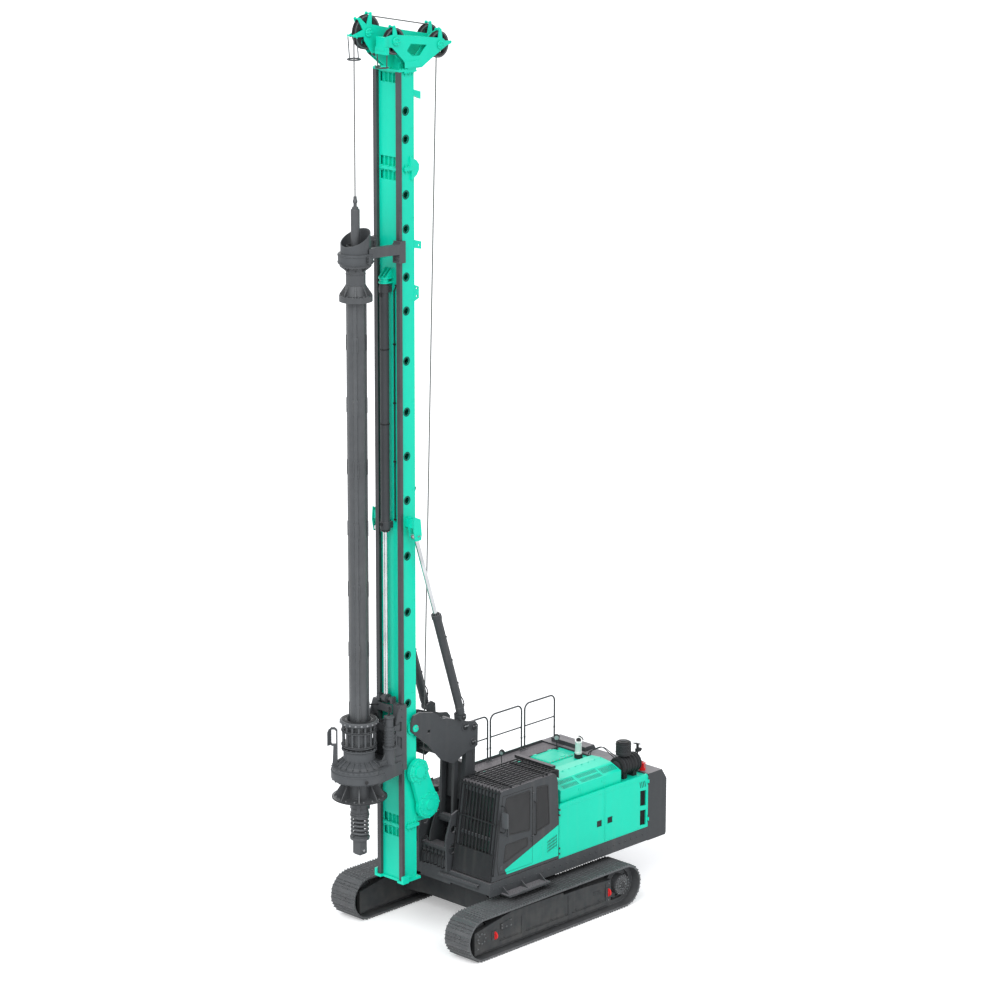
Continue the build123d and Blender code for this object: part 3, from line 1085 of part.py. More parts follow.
# Inner kelly core: swivel, tube, spring with its seat, and the square stub
seat_top = STUB_TOP + SPRING_SEAT
spring_in = SPRING_R - SPRING_WIRE / 2
core = turned([(CORE_BORE_R, CORE_BORE_END), (CORE_BORE_R, SWIVEL_TOP), (30, SWIVEL_TOP),
               (34, SWIVEL_TOP - 60), (44, SWIVEL_TOP - 75), (44, SWIVEL_TOP - 110),
               (32, SWIVEL_TOP - 125), (32, SWIVEL_TOP - 180),
               (58, SWIVEL_TOP - 190), (60, CORE_TOP), (CORE_R - 10, CORE_TOP), (CORE_R, CORE_TOP - 10),
               (CORE_R, KELLY_BOTTOM - GAP), (KELLY_R, KELLY_BOTTOM - GAP), (KELLY_R, SPRING_TOP),
               (spring_in, SPRING_TOP), (spring_in, seat_top), (SPRING_R, seat_top), (SPRING_R, STUB_TOP),
               (0, STUB_TOP), (0, CORE_BORE_END)])
core += box(DRILL_X - STUB_SIDE / 2, DRILL_X + STUB_SIDE / 2, -STUB_SIDE / 2, STUB_SIDE / 2,
            STUB_BOTTOM, STUB_TOP + SINK)
core -= disc_y((DRILL_X, STUB_BOTTOM + STUB_PIN_UP), -STUB_SIDE, STUB_SIDE, STUB_PIN_R)
coil_pitch = (SPRING_TOP - seat_top) / SPRING_TURNS
for i in range(SPRING_TURNS):
    core += Pos(DRILL_X, 0, seat_top + coil_pitch * (i + 0.5)) * Torus(spring_in, SPRING_WIRE / 2)
save("kelly_core", core)

# Rotary drive on its carriage: gear case, bell, arms, side plates, rail shoes, motors and side loop
case = plan_plate([(RAIL_FRONT + 60, -400), (DRILL_X, -CASE_R), (DRILL_X, CASE_R), (RAIL_FRONT + 60, 400)],
                  CASE_BOTTOM, CASE_TOP)
case += turned([(0, CASE_BOTTOM), (CASE_R - CASE_EDGE, CASE_BOTTOM), (CASE_R, CASE_BOTTOM + CASE_EDGE),
                (CASE_R, CASE_TOP - 90), (CASE_R - 14, CASE_TOP - 86), (CASE_R - 14, CASE_TOP - 20),
                (CASE_R - 34, CASE_TOP), (420, CASE_TOP), (400, CASE_TOP + 50), (BELL_R, CASE_TOP + 110),
                (BELL_R, BELL_TOP), (0, BELL_TOP)])
outer_plate = [(RAIL_FRONT - 90, CASE_BOTTOM + 40), (RAIL_FRONT + 300, CASE_BOTTOM + 40),
               (RAIL_FRONT + 300, CASE_TOP - 60), (RAIL_FRONT + 190, CASE_TOP + 260),
               (RAIL_FRONT + 190, 4560), (RAIL_FRONT + 60, SIDE_PLATE_TOP),
               (RAIL_FRONT - 90, SIDE_PLATE_TOP)]
for side in (1, -1):
    y0, y1 = span(side, RAIL_OUT + GAP, RAIL_OUT + SIDE_PLATE_T)
    plate = side_plate(outer_plate, y0, y1)
    plate -= box(RAIL_FRONT + 40, RAIL_FRONT + 120, y0 - 1, y1 + 1, 4380, 4560)
    plate -= side_plate([(RAIL_FRONT + 30, 4010), (RAIL_FRONT + 150, 4130), (RAIL_FRONT + 150, 4300),
                         (RAIL_FRONT + 30, 4240)], y0 - 1, y1 + 1)
    case += plate
    case += box(RAIL_FRONT + GAP, RAIL_FRONT + 100, *span(side, 200, RAIL_OUT + SINK), CASE_BOTTOM + 40,
                SIDE_PLATE_TOP)
    case += box(RAIL_FRONT + 60, DRILL_X - 150, *span(side, *ARM_Y), *ARM_Z)
    case += side_plate([(RAIL_FRONT + 90, 4500), (RAIL_FRONT + 90, 4350), (DRILL_X - 330, ARM_Z[1] - SINK),
                        (DRILL_X - 230, ARM_Z[1] - SINK)], *span(side, RAIL_OUT + 8, RAIL_OUT + 28))
    for z in (CASE_BOTTOM + 60, 4600):
        case += box(MAST_FRONT - 60, MAST_FRONT - GAP, *span(side, MAST_HALF + 1, RAIL_OUT + 4), z, z + 240)
    motor_y = side * MOTOR_Y
    for z0, z1, r in ((CASE_TOP - SINK, 4110, 112), (4105, 4140, 128), (4135, 4520, 92), (4515, 4700, 74)):
        case += disc_z(MOTOR_X, motor_y, z0, z1, r)
case += box(RAIL_FRONT + 40, RAIL_FRONT + 100, -210, 210, CASE_BOTTOM + 40, 4500)
case -= disc_z(DRILL_X, 0, CASE_BOTTOM - 1, BELL_TOP + 1, SLEEVE_R + GAP)
loop_outline = [(400, 4490), (450, 4540), (520, 4540), (560, 4490), (560, 4240), (510, 4180), (400, 4180)]
loop_hole = [(430, 4470), (460, 4500), (510, 4500), (530, 4470), (530, 4260), (500, 4220), (430, 4220)]
loop = side_plate(loop_outline, -22, 22) - side_plate(loop_hole, -23, 23)
loop += side_plate([(400, CASE_TOP - SINK), (500, CASE_TOP - SINK), (480, 4200), (400, 4200)], -22, 22)
case += Pos(DRILL_X, 0, 0) * Rot(0, 0, -45) * loop
save("drive_carriage", case)

# Rotating sleeve: collar, cage and the ribbed disc below the case
sleeve = turned([(SLEEVE_BORE_R, DISC_Z), (DISC_R, DISC_Z), (DISC_R, DISC_Z + DISC_T),
                 (SLEEVE_R, DISC_Z + DISC_T), (SLEEVE_R, CAGE_TOP), (CAGE_R, CAGE_TOP),
                 (COLLAR_R, CAGE_TOP + 25), (COLLAR_R, COLLAR_TOP - 14), (COLLAR_R - 14, COLLAR_TOP),
                 (SLEEVE_BORE_R + 30, COLLAR_TOP), (SLEEVE_BORE_R, COLLAR_TOP - 40)])
inner_r = SLEEVE_R - SINK
for z, height in CAGE_RINGS:
    sleeve += turned([(inner_r, z), (CAGE_R, z), (CAGE_R, z + height), (inner_r, z + height)])
cage_bar = box(CAGE_BAR_R - 14, CAGE_BAR_R + 12, -16, 16, CAGE_BOTTOM + SINK, CAGE_TOP + SINK)
for piece in round_the_drill(cage_bar, CAGE_BARS):
    sleeve += piece
disc_rib = side_plate([(SLEEVE_R - SINK, DISC_Z + DISC_T - SINK), (DISC_R - 30, DISC_Z + DISC_T - SINK),
                       (SLEEVE_R + 60, CASE_BOTTOM - 60), (SLEEVE_R - SINK, CASE_BOTTOM - 60)], -9, 9)
for piece in round_the_drill(disc_rib, DISC_RIBS):
    sleeve += piece
save("drive_sleeve", sleeve)

crowd_rod = disc_z(CROWD_X, 0, CROWD_EYE_Z, CROWD_ROD_TOP, CROWD_ROD_R)
crowd_rod += disc_y((CROWD_X, CROWD_EYE_Z), -CROWD_EYE_HALF, CROWD_EYE_HALF, 90)
for side in (1, -1):
    crowd_rod += disc_y((CROWD_X, CROWD_EYE_Z), *span(side, CROWD_EYE_HALF, 190), 40)
    crowd_rod += box(RAIL_FRONT + 15, CROWD_X + 45, *span(side, 140, 198), SIDE_PLATE_TOP + GAP,
                     CROWD_EYE_Z + 60)
    crowd_rod += box(RAIL_FRONT + 15, CROWD_X + 25, *span(side, 140, 300), SIDE_PLATE_TOP + GAP,
                     SIDE_PLATE_TOP + 30)
save("crowd_rod", crowd_rod)

# Cab shell, split where its panels meet
cab_face = make_face(Polyline((CAB_REAR, CAB_FLOOR), (CAB_FRONT, CAB_FLOOR), (CAB_FRONT_TOP, CAB_TOP),
                              (CAB_REAR_TOP, CAB_TOP), (-455, 2877), (-490, 2000), close=True))
top_corners = [v for v in cab_face.vertices() if v.Z > 1e9 or v.Y > CAB_TOP - 1]
cab_face = fillet(top_corners, CAB_ROUND)
cab_block = extrude(Plane.XZ.offset(-CAB_RIGHT) * cab_face, amount=-(CAB_LEFT - CAB_RIGHT))
reach_x = (CAB_REAR - 100, CAB_FRONT + 100)
cab_floor = cab_block & box(*reach_x, CAB_RIGHT, CAB_LEFT, CAB_FLOOR, CAB_FLOOR + CAB_SHEET)
for x in (CAB_REAR + 150, CAB_FRONT - 150):
    for y in (CAB_RIGHT + 130, CAB_LEFT - 130):
        cab_floor += disc_z(x, y, DECK_TOP + GAP, CAB_FLOOR + SINK, 60)
save("cab_floor", cab_floor)
cab_roof = cab_block & box(*reach_x, CAB_RIGHT, CAB_LEFT, CAB_TOP - CAB_SHEET, CAB_TOP)
save("cab_roof", cab_roof)
middle = cab_block & box(*reach_x, CAB_RIGHT, CAB_LEFT, CAB_LOW, CAB_HIGH)


def front_x(z):
    """The x of the cab's sloping front at a height."""
    return CAB_FRONT + (CAB_FRONT_TOP - CAB_FRONT) * (z - CAB_FLOOR) / (CAB_TOP - CAB_FLOOR)


def window(points, y0, y1):
    """A window hole and the pane that seats in it."""
    face = make_face(Polyline(*points, close=True))
    pane_face = offset(face, -GAP, kind=Kind.INTERSECTION)
    middle_y = (y0 + y1) / 2
    hole = extrude(Plane.XZ.offset(-(y0 - 1)) * face, amount=-(y1 - y0 + 2))
    pane = extrude(Plane.XZ.offset(-(middle_y - GLASS_HALF)) * pane_face, amount=-2 * GLASS_HALF)
    return hole, pane


right_y = (CAB_RIGHT, CAB_RIGHT + CAB_WALL)
left_y = (CAB_LEFT - CAB_WALL, CAB_LEFT)
between = (CAB_RIGHT + CAB_WALL + GAP, CAB_LEFT - CAB_WALL - GAP)
hole, right_pane = window([(-250, 2000), (1010, 2000), (940, 2850), (-230, 2850)], *right_y)
save("cab_right_wall", (middle & box(*reach_x, *right_y, CAB_LOW, CAB_HIGH)) - hole)

rear_wall = middle & box(CAB_REAR - 100, CAB_REAR_TOP + CAB_WALL, *between, CAB_LOW, CAB_HIGH)
rear_wall -= box(CAB_REAR + CAB_WALL, CAB_REAR_TOP + CAB_WALL + 1, *between, CAB_LOW - 1, 2100)
rear_hole_y = (between[0] + 130, between[1] - 130)
rear_wall -= box(CAB_REAR - 100, 0, *rear_hole_y, 2150, 2800)
rear_pane = box(CAB_REAR_TOP + 10, CAB_REAR_TOP + 10 + 2 * GLASS_HALF, rear_hole_y[0] + GAP,
                rear_hole_y[1] - GAP,
                2150 + GAP, 2800 - GAP)
save("cab_rear_wall", rear_wall)

front_slab = side_plate([(front_x(CAB_LOW) + 5, CAB_LOW), (front_x(CAB_LOW) - CAB_WALL, CAB_LOW),
                         (front_x(CAB_HIGH) - CAB_WALL, CAB_HIGH), (front_x(CAB_HIGH) + 5, CAB_HIGH)],
                        *between)
front_frame = middle & front_slab
front_hole_y = (between[0] + 70, between[1] - 70)
front_panes = []
for z0, z1 in ((1560, 2060), (2120, 2900)):
    front_frame -= box(CAB_FRONT_TOP - 200, CAB_FRONT + 100, *front_hole_y, z0, z1)
    low, high = z0 + GAP, z1 - GAP
    x_low, x_high = front_x(low) - CAB_WALL / 2, front_x(high) - CAB_WALL / 2
    front_panes.append(side_plate([(x_low - GLASS_HALF, low), (x_low + GLASS_HALF, low),
                                   (x_high + GLASS_HALF, high),
                                   (x_high - GLASS_HALF, high)], front_hole_y[0] + GAP,
                                  front_hole_y[1] - GAP))
save("cab_front_frame", front_frame)

# Left wall with its door, both with their windows, hinges and the lower cover panels
left_wall = middle & box(*reach_x, *left_y, CAB_LOW, CAB_HIGH)
door_outline = [(DOOR_REAR, 1400), (1160, 1400), (1205, 1640), (1130, 2400), (1050, 2935), (DOOR_REAR, 2935)]
door_hole = side_plate(door_outline, left_y[0] - 1, left_y[1] + 1)
left_wall -= door_hole
hole, side_pane = window([(-186, 2872), (-235, 2077), (132, 1997), (124, 2899)], *left_y)
left_wall -= hole
door_face = offset(make_face(Polyline(*door_outline, close=True)), -CLEAR, kind=Kind.INTERSECTION)
cab_door = extrude(Plane.XZ.offset(-left_y[0]) * door_face, amount=-CAB_WALL)
hole, door_pane = window([(315, 2080), (887, 2134), (1035, 2541), (946, 2888), (306, 2884)], *left_y)
cab_door -= hole
hole, low_pane = window([(369, 1792), (1024, 1596), (970, 1951), (370, 1957)], *left_y)
cab_door -= hole
for z in CAB_HINGE_Z:
    moving, still = hinge_z((DOOR_REAR, CAB_LEFT + HINGE_OUT), DOOR_REAR + HINGE_LEAF_W,
                            DOOR_REAR - HINGE_LEAF_W, CAB_LEFT, 1, z)
    cab_door += moving
    left_wall += still
grip_x, grip_low, grip_high = DOOR_GRIP
for z in (grip_low, grip_high):
    cab_door += box(grip_x, grip_x + 25, CAB_LEFT - SINK, CAB_LEFT + 40, z - 15, z + 15)
cab_door += box(grip_x, grip_x + 25, CAB_LEFT + 28, CAB_LEFT + 40, grip_low, grip_high)
save("cab_left_wall", left_wall)
save("cab_door", cab_door)
save("door_glass", door_pane, low_pane)
save("cab_glass", side_pane, right_pane, rear_pane, *front_panes)

wedge = [(-480, CAB_LOW), (940, CAB_LOW), (996, 1465), (370, 1686), (-486, 1985)]
panel_y = (CAB_LEFT + GAP, CAB_LEFT + GAP + PANEL_T)
wedge_plate = side_plate(wedge, *panel_y)
save("cab_side_panel", wedge_plate - side_plate(door_outline, panel_y[0] - 1, panel_y[1] + 1))
door_panel_face = extrude(Plane.XZ.offset(-panel_y[0]) * door_face, amount=-PANEL_T)
save("cab_door_panel", wedge_plate & door_panel_face)


# Guards before the windscreen and over the roof
def front_bar(y, half, z0, z1):
    """An upright guard bar that follows the sloping front."""
    x0, x1 = front_x(z0) + GUARD_OFF, front_x(z1) + GUARD_OFF
    return side_plate([(x0, z0), (x0 + GUARD_BAR, z0), (x1 + GUARD_BAR, z1), (x1, z1)], y - half, y + half)


bar_ys = [CAB_RIGHT + 20 + (CAB_LEFT - CAB_RIGHT - 40) * i / (GUARD_BARS - 1) for i in range(GUARD_BARS)]
guard = front_bar((CAB_RIGHT + CAB_LEFT) / 2, (CAB_LEFT - CAB_RIGHT) / 2 - 12, CAB_FLOOR + 20,
                  GUARD_SOLID_TOP)
guard -= Pos(-GUARD_BAR / 2, 0, 0) * front_bar((CAB_RIGHT + CAB_LEFT) / 2, (CAB_LEFT - CAB_RIGHT) / 2 - 40,
                                              CAB_FLOOR + 50, GUARD_SOLID_TOP - 30)
for y in bar_ys:
    guard += front_bar(y, 9, CAB_FLOOR + 10, CAB_TOP + 30)
for z in (CAB_FLOOR + 30, GUARD_SOLID_TOP, 2400, CAB_TOP - 40):
    guard += box(front_x(z) + GAP, front_x(z) + GUARD_OFF + GUARD_BAR, CAB_RIGHT, CAB_LEFT, z, z + 26)
roof_guard = None
for y in bar_ys:
    rod = box(CAB_REAR_TOP - 60, CAB_FRONT_TOP - 30, y - 8, y + 8, CAB_TOP + 36, CAB_TOP + 60)
    roof_guard = rod if roof_guard is None else roof_guard + rod
for i in range(ROOF_BARS):
    x = CAB_REAR_TOP + 40 + (CAB_FRONT_TOP - CAB_REAR_TOP - 200) * i / (ROOF_BARS - 1)
    low = CAB_TOP + GAP if i in (1, ROOF_BARS - 2) else CAB_TOP + 40
    roof_guard += box(x, x + 22, CAB_RIGHT + 10, CAB_LEFT - 10, low, CAB_TOP + 52)
roof_guard += box(CAB_REAR_TOP - 140, CAB_REAR_TOP - 40, CAB_RIGHT - 110, CAB_LEFT - 140, CAB_TOP + 30,
                  CAB_TOP + 85)
save("cab_guards", guard, roof_guard)

seat = box(60, 560, 690, 1190, 1660, 1790) + box(-60, 90, 700, 1180, 1780, 2480)
seat += box(150, 460, 790, 1090, CAB_LOW, 1665)
seat += box(-40, 50, 820, 1060, 2470, 2640)
save("cab_seat", seat)

# Engine housing: posts, roof and end walls round the engine
house = box(HOUSE_REAR, HOUSE_FRONT, -HOUSE_HALF, HOUSE_HALF, DECK_TOP + GAP, HOUSE_TOP)
bays = ((HOUSE_REAR + HOUSE_POST, DOOR_SPLIT - 50), (DOOR_SPLIT + 50, HOUSE_FRONT - HOUSE_POST))
for x0, x1 in bays:
    house -= box(x0, x1, -HOUSE_HALF - 1, HOUSE_HALF + 1, DECK_TOP, HOUSE_TOP - HOUSE_SHEET)
for x0, x1 in ((HOOD_REAR + 80, DOOR_SPLIT - 50), (DOOR_SPLIT + 50, HOOD_FRONT - 80)):
    house -= box(x0, x1, HOOD_IN + 60, HOOD_OUT - 60, HOUSE_TOP - HOUSE_SHEET - SINK, HOUSE_TOP + 1)
house += box(-2860, -2200, -930, -400, HOUSE_TOP - SINK, HOUSE_TOP + 16)
house += box(-1900, -760, -930, 480, HOUSE_TOP - SINK, HOUSE_TOP + 16)

# Side doors, each on two hinges at its outer end
side_hinges = []
for side, name in ((1, "left"), (-1, "right")):
    for x0, x1, place in ((DOOR_SPLIT + CLEAR / 2, HOUSE_FRONT - CLEAR, "front"),
                          (HOUSE_REAR + CLEAR, DOOR_SPLIT - CLEAR / 2, "rear")):
        edge, inward = (x1, -1) if place == "front" else (x0, 1)
        y0, y1 = span(side, DECK_HALF - DOOR_T, DECK_HALF)
        free = x0 if place == "front" else x1
        outline = [(edge, DECK_TOP + CLEAR), (edge, DOOR_TOP - DOOR_CORNER),
                   (edge + inward * DOOR_CORNER / 2, DOOR_TOP), (free, DOOR_TOP), (free, DECK_TOP + CLEAR)]
        door = side_plate(outline, y0, y1)
        sunk = span(side, DECK_HALF - 12, DECK_HALF + 1)
        latch_x = x0 + 75 if place == "front" else x1 - 220
        door -= box(latch_x, latch_x + 145, *sunk, 1640, 1770)
        if place == "rear" and side > 0:
            for low, high, drop in ((1740, 2055, 22), (1340, 1650, 22)):
                door -= side_plate([(-2990, low), (-2815, low + drop), (-2815, high + drop), (-2990, high)],
                                   y0 - 1, y1 + 1)
            for i in range(4):
                x = -2980 + 46 * i
                door -= side_plate([(x, 2130), (x + 22, 2130), (x + 52, 2260), (x + 30, 2260)], y0 - 1,
                                   y1 + 1)
        for z in SIDE_HINGE_Z:
            at = (edge, side * (DECK_HALF + HINGE_OUT))
            moving, still = hinge_z(at, edge + inward * HINGE_LEAF_W, edge - inward * 3, DECK_HALF, side, z)
            door += moving
            post = span(side, HOUSE_HALF - SINK, DECK_HALF + HINGE_LEAF)
            anchor_x = sorted((edge - inward * 3, edge - inward * 6))
            for low in (z - KNUCKLE_LENGTH, z + KNUCKLE_LENGTH / 2 + GAP):
                still += box(*anchor_x, *post, low, low + KNUCKLE_LENGTH / 2 - GAP)
            side_hinges.append(still)
        save(f"side_door_{name}_{place}", door)
for still in side_hinges:
    house += still

# Hood over the left half, with its louvred slope
hood_profile = [(HOOD_IN, HOUSE_TOP + GAP), (HOOD_OUT, HOUSE_TOP + GAP), HOOD_EDGE, HOOD_FOLD, HOOD_RIDGE,
                (HOOD_IN, HOOD_RIDGE[1] - 20)]
hood = cross_plate(hood_profile, HOOD_REAR, HOOD_FRONT)
hood_inside = [(HOOD_IN + HOOD_SHEET, HOUSE_TOP), (HOOD_OUT - HOOD_SHEET, HOUSE_TOP),
               (HOOD_EDGE[0] - HOOD_SHEET, HOOD_EDGE[1] - HOOD_SHEET),
               (HOOD_FOLD[0], HOOD_FOLD[1] - HOOD_SHEET - 2), (HOOD_RIDGE[0], HOOD_RIDGE[1] - HOOD_SHEET),
               (HOOD_IN + HOOD_SHEET, HOOD_RIDGE[1] - 20 - HOOD_SHEET)]
hood -= cross_plate(hood_inside, HOOD_REAR + HOOD_SHEET, HOOD_FRONT - HOOD_SHEET)
slope_run = (HOOD_FOLD[0] - HOOD_EDGE[0], HOOD_FOLD[1] - HOOD_EDGE[1])
slope_length = hypot(*slope_run)
slope_plane = Plane(origin=(0, HOOD_EDGE[0], HOOD_EDGE[1]), x_dir=(1, 0, 0),
                    z_dir=(0, -slope_run[1] / slope_length, slope_run[0] / slope_length))
slope_way = 1.0 if (slope_plane.y_dir.Y * slope_run[0] > 0) else -1.0
louvre_arrays = [  # x0, x1, low and high distance up the slope
    (-1160, -720, 20, 132),
    (-1820, -1240, 20, 132),
    (-1160, -720, 156, 268),
    (-1820, -1240, 156, 268),
    (-2290, -1880, 60, 240),
]
combs = []
for x0, x1, low, high in louvre_arrays:
    mid = slope_way * (low + high) / 2
    place = slope_plane * Pos((x0 + x1) / 2, mid, 0)
    hood -= place * Box(x1 - x0, high - low, 60)
    comb = None
    count = int((x1 - x0) / LOUVRE_PITCH)
    for i in range(count):
        x = -(count - 1) / 2 * LOUVRE_PITCH + i * LOUVRE_PITCH
        slat = Pos(x, 0, 0) * Box(LOUVRE_BAR, high - low - 2 * GAP, LOUVRE_T)
        comb = slat if comb is None else comb + slat
    for y in (-(high - low) / 2 + 6, (high - low) / 2 - 6):
        comb += Pos(0, y, 0) * Box(x1 - x0 - 2 * GAP, 10, LOUVRE_T)
    combs.append(slope_plane * Pos((x0 + x1) / 2, mid, slope_plane.z_dir.Z * -LOUVRE_T) * comb)
hinge_at = (HOOD_IN - HINGE_OUT, HOUSE_TOP + GAP + HINGE_OUT + 4)
for x in HOOD_HINGE_X:
    half = KNUCKLE_LENGTH / 2
    moving = disc_x(x - half, x + half, *hinge_at, KNUCKLE_R)
    moving += box(x - half, x + half, HOOD_IN - HINGE_LEAF, HOOD_IN + SINK, hinge_at[1],
                  hinge_at[1] + HINGE_LEAF_W)
    hood += moving - disc_x(x - half - 1, x + half + 1, *hinge_at, HINGE_PIN_R + RUN)
    house += disc_x(x - half - SINK, x + half + SINK, *hinge_at, HINGE_PIN_R)
    for low, high in ((x - 2 * half, x - half - GAP), (x + half + GAP, x + 2 * half)):
        house += disc_x(low, high, *hinge_at, KNUCKLE_R)
        house += box(low, high, hinge_at[0] - HINGE_LEAF_W, hinge_at[0], HOUSE_TOP - SINK, hinge_at[1] - 4)
save("engine_housing", house)
save("hood", hood)
save("hood_louvres", *combs)

# Engine block, the tank inside the housing and the one on the right front deck
engine = box(-2750, -1960, -520, 560, DECK_TOP + GAP, 2120)
engine += box(-2950, -2745, -500, 500, DECK_TOP + 60, 2060)
tank = box(-1640, -700, -1250, -600, DECK_TOP + GAP, 2200)
tank += box(-1500, -1100, -601, 100, DECK_TOP + GAP, 1800)
front_tank = box(HOUSE_FRONT + GAP, 700, -DECK_HALF + 10, -600, DECK_TOP + GAP, HOUSE_TOP)
front_tank = fillet(front_tank.edges().filter_by(Axis.X).group_by(Axis.Z)[-1], 50)
front_tank += disc_z(500, -900, HOUSE_TOP - SINK, HOUSE_TOP + 45, 70)
save("engine_and_tank", engine, tank, front_tank)

# Counterweight with rounded upright rear corners
counterweight = side_plate([(CW_FRONT, CW_BOTTOM), (CW_REAR + 60, CW_BOTTOM), (CW_REAR, CW_BOTTOM + 90),
                            (CW_REAR, 2103), (CW_REAR + 176, CW_TOP), (CW_FRONT, CW_TOP)], -DECK_HALF,
                           DECK_HALF)
upright = [e for e in counterweight.edges().filter_by(Axis.Z) if e.center().X < CW_REAR + 1]
counterweight = fillet(upright, CW_ROUND) if upright else counterweight
for y in (-700, 700):
    counterweight -= box(CW_REAR - 1, CW_REAR + 14, y - 420, y + 420, 1250, 1950)
save("counterweight", counterweight)

# Handrail hoops over the right side, bent from tube
rails = []
for x0, x1 in HOOPS:
    feet = [CW_TOP if x < HOUSE_REAR else HOUSE_TOP for x in (x0, x1)]
    path = FilletPolyline((x0, RAIL_Y, feet[0] + GAP), (x0, RAIL_Y, RAIL_TOP), (x1, RAIL_Y, RAIL_TOP),
                          (x1, RAIL_Y, feet[1] + GAP), radius=RAIL_BEND)
    hoop = sweep(Plane(origin=path @ 0, z_dir=path % 0) * Circle(RAIL_R), path=path)
    hoop += bar((x0, RAIL_Y, RAIL_MIDDLE), (x1, RAIL_Y, RAIL_MIDDLE), RAIL_R - 3)
    for x, z in zip((x0, x1), feet):
        hoop += box(x - RAIL_FOOT, x + RAIL_FOOT, RAIL_Y - RAIL_FOOT, RAIL_Y + RAIL_FOOT, z + GAP, z + 12)
    rails.append(hoop)
save("handrails", *rails)

# Exhaust with its tilted flap, and the air cleaner: a ribbed drum on a saddle below an upright drum
exhaust = disc_z(-2850, -240, HOUSE_TOP + GAP, 2430, 85) + disc_z(-2850, -240, 2425, 2700, 62)
exhaust -= disc_z(-2850, -240, 2500, 2701, 55)
flap = Pos(-2915, -240, 2745) * Rot(0, -55, 0) * Cylinder(66, 8)
exhaust += flap + box(-2935, -2900, -250, -230, 2660, 2760)
DRUM_AT = (1150.0, 2590.0)
cleaner = disc_x(-2980, -2440, *DRUM_AT, 180)
for x in (-2960, -2880, -2800, -2720, -2640, -2560, -2480):
    cleaner += disc_x(x - 10, x + 10, *DRUM_AT, 192)
for x in (-2900, -2620):
    cleaner += box(x, x + 100, 1030, 1270, HOUSE_TOP + GAP, 2450)
cleaner += disc_z(-2641, 1150, 2700, 2815, 70) + disc_z(-2641, 1150, 2810, 3060, 150)
cleaner += disc_z(-2641, 1150, 3055, 3080, 120)
save("exhaust_and_air_cleaner", exhaust, cleaner)

# Beacon
beacon = disc_z(-3140, 1200, CW_TOP + GAP, CW_TOP + 40, 55)
beacon += disc_z(-3140, 1200, CW_TOP + 38, CW_TOP + 110, 45)
beacon += Pos(-3140, 1200, CW_TOP + 110) * Sphere(45)
save("beacon", beacon)
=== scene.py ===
# %% [markdown]
# This notebook dresses a rotary piling rig: a crawler that carries a slewing house, a cab, a
# luffing linkage and an eighteen metre mast with a telescopic drill string in front of it.
# The measured shapes come from the CAD frame. Everything here is about looks: paint, steel,
# rubber and glass, and the small hardware that a drawing office leaves to the workshop.

# %% Load the frame
import math

import bmesh
import bpy
from mathutils import Matrix, Vector
from mathutils.bvhtree import BVHTree


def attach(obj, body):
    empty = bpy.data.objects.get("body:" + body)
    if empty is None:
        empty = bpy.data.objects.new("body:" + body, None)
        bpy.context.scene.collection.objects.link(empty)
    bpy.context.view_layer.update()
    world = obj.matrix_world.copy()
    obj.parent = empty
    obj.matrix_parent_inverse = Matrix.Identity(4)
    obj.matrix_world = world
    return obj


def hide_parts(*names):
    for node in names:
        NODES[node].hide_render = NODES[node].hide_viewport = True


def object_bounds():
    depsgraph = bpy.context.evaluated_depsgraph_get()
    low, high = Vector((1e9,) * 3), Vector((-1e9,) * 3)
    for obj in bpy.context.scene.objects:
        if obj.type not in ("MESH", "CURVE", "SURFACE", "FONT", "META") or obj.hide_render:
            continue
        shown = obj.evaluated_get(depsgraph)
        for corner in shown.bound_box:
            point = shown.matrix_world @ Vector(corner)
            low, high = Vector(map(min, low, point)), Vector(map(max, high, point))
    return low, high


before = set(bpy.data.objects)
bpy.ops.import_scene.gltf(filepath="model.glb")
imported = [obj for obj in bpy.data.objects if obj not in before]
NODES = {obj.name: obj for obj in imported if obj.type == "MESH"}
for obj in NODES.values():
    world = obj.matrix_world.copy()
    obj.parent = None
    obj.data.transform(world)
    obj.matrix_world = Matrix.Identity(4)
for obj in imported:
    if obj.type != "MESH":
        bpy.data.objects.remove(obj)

CAD_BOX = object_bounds()
SCENE = bpy.context.scene
MM = 0.001               # the tables below are in millimetres, as on a workshop drawing

# %% [markdown]
# The photograph is a product picture taken from the front left, a little above, with a long
# lens: upright lines stay almost parallel. A long lens far away gives the same calm
# perspective. The machine stands a little left of the optical axis, so the sensor is shifted.

# %% Camera
def placed(name, data):
    """A new object of some data, linked into the scene."""
    obj = bpy.data.objects.new(name, data)
    SCENE.collection.objects.link(obj)
    return obj


CAMERA_AT = (50.610, 49.322, 27.577)
VIEW_TURN = math.radians(44.6)
VIEW_RISE = math.radians(15.3)
lens = bpy.data.cameras.new("product_camera")
lens.lens = 139.7
lens.sensor_width = 36.0
lens.shift_x = 0.035
lens.clip_end = 600.0
camera = placed("product_camera", lens)
towards_eye = Vector((math.cos(VIEW_RISE) * math.cos(VIEW_TURN), math.cos(VIEW_RISE) * math.sin(VIEW_TURN),
                      math.sin(VIEW_RISE)))
camera.location = CAMERA_AT
camera.rotation_mode = "QUATERNION"
camera.rotation_quaternion = (-towards_eye).to_track_quat("-Z", "Y")
SCENE.camera = camera
print("camera", tuple(round(v, 3) for v in camera.location))

# %% [markdown]
# The studio is a white room. Three broad suns stand in for soft boxes: one from the front,
# one from the cab side and a weak one from behind that lifts the dark steel off the
# background. The world is white to the camera and in reflections, and a soft grey elsewhere.

# %% Studio light
SCENE.view_settings.view_transform = "Standard"


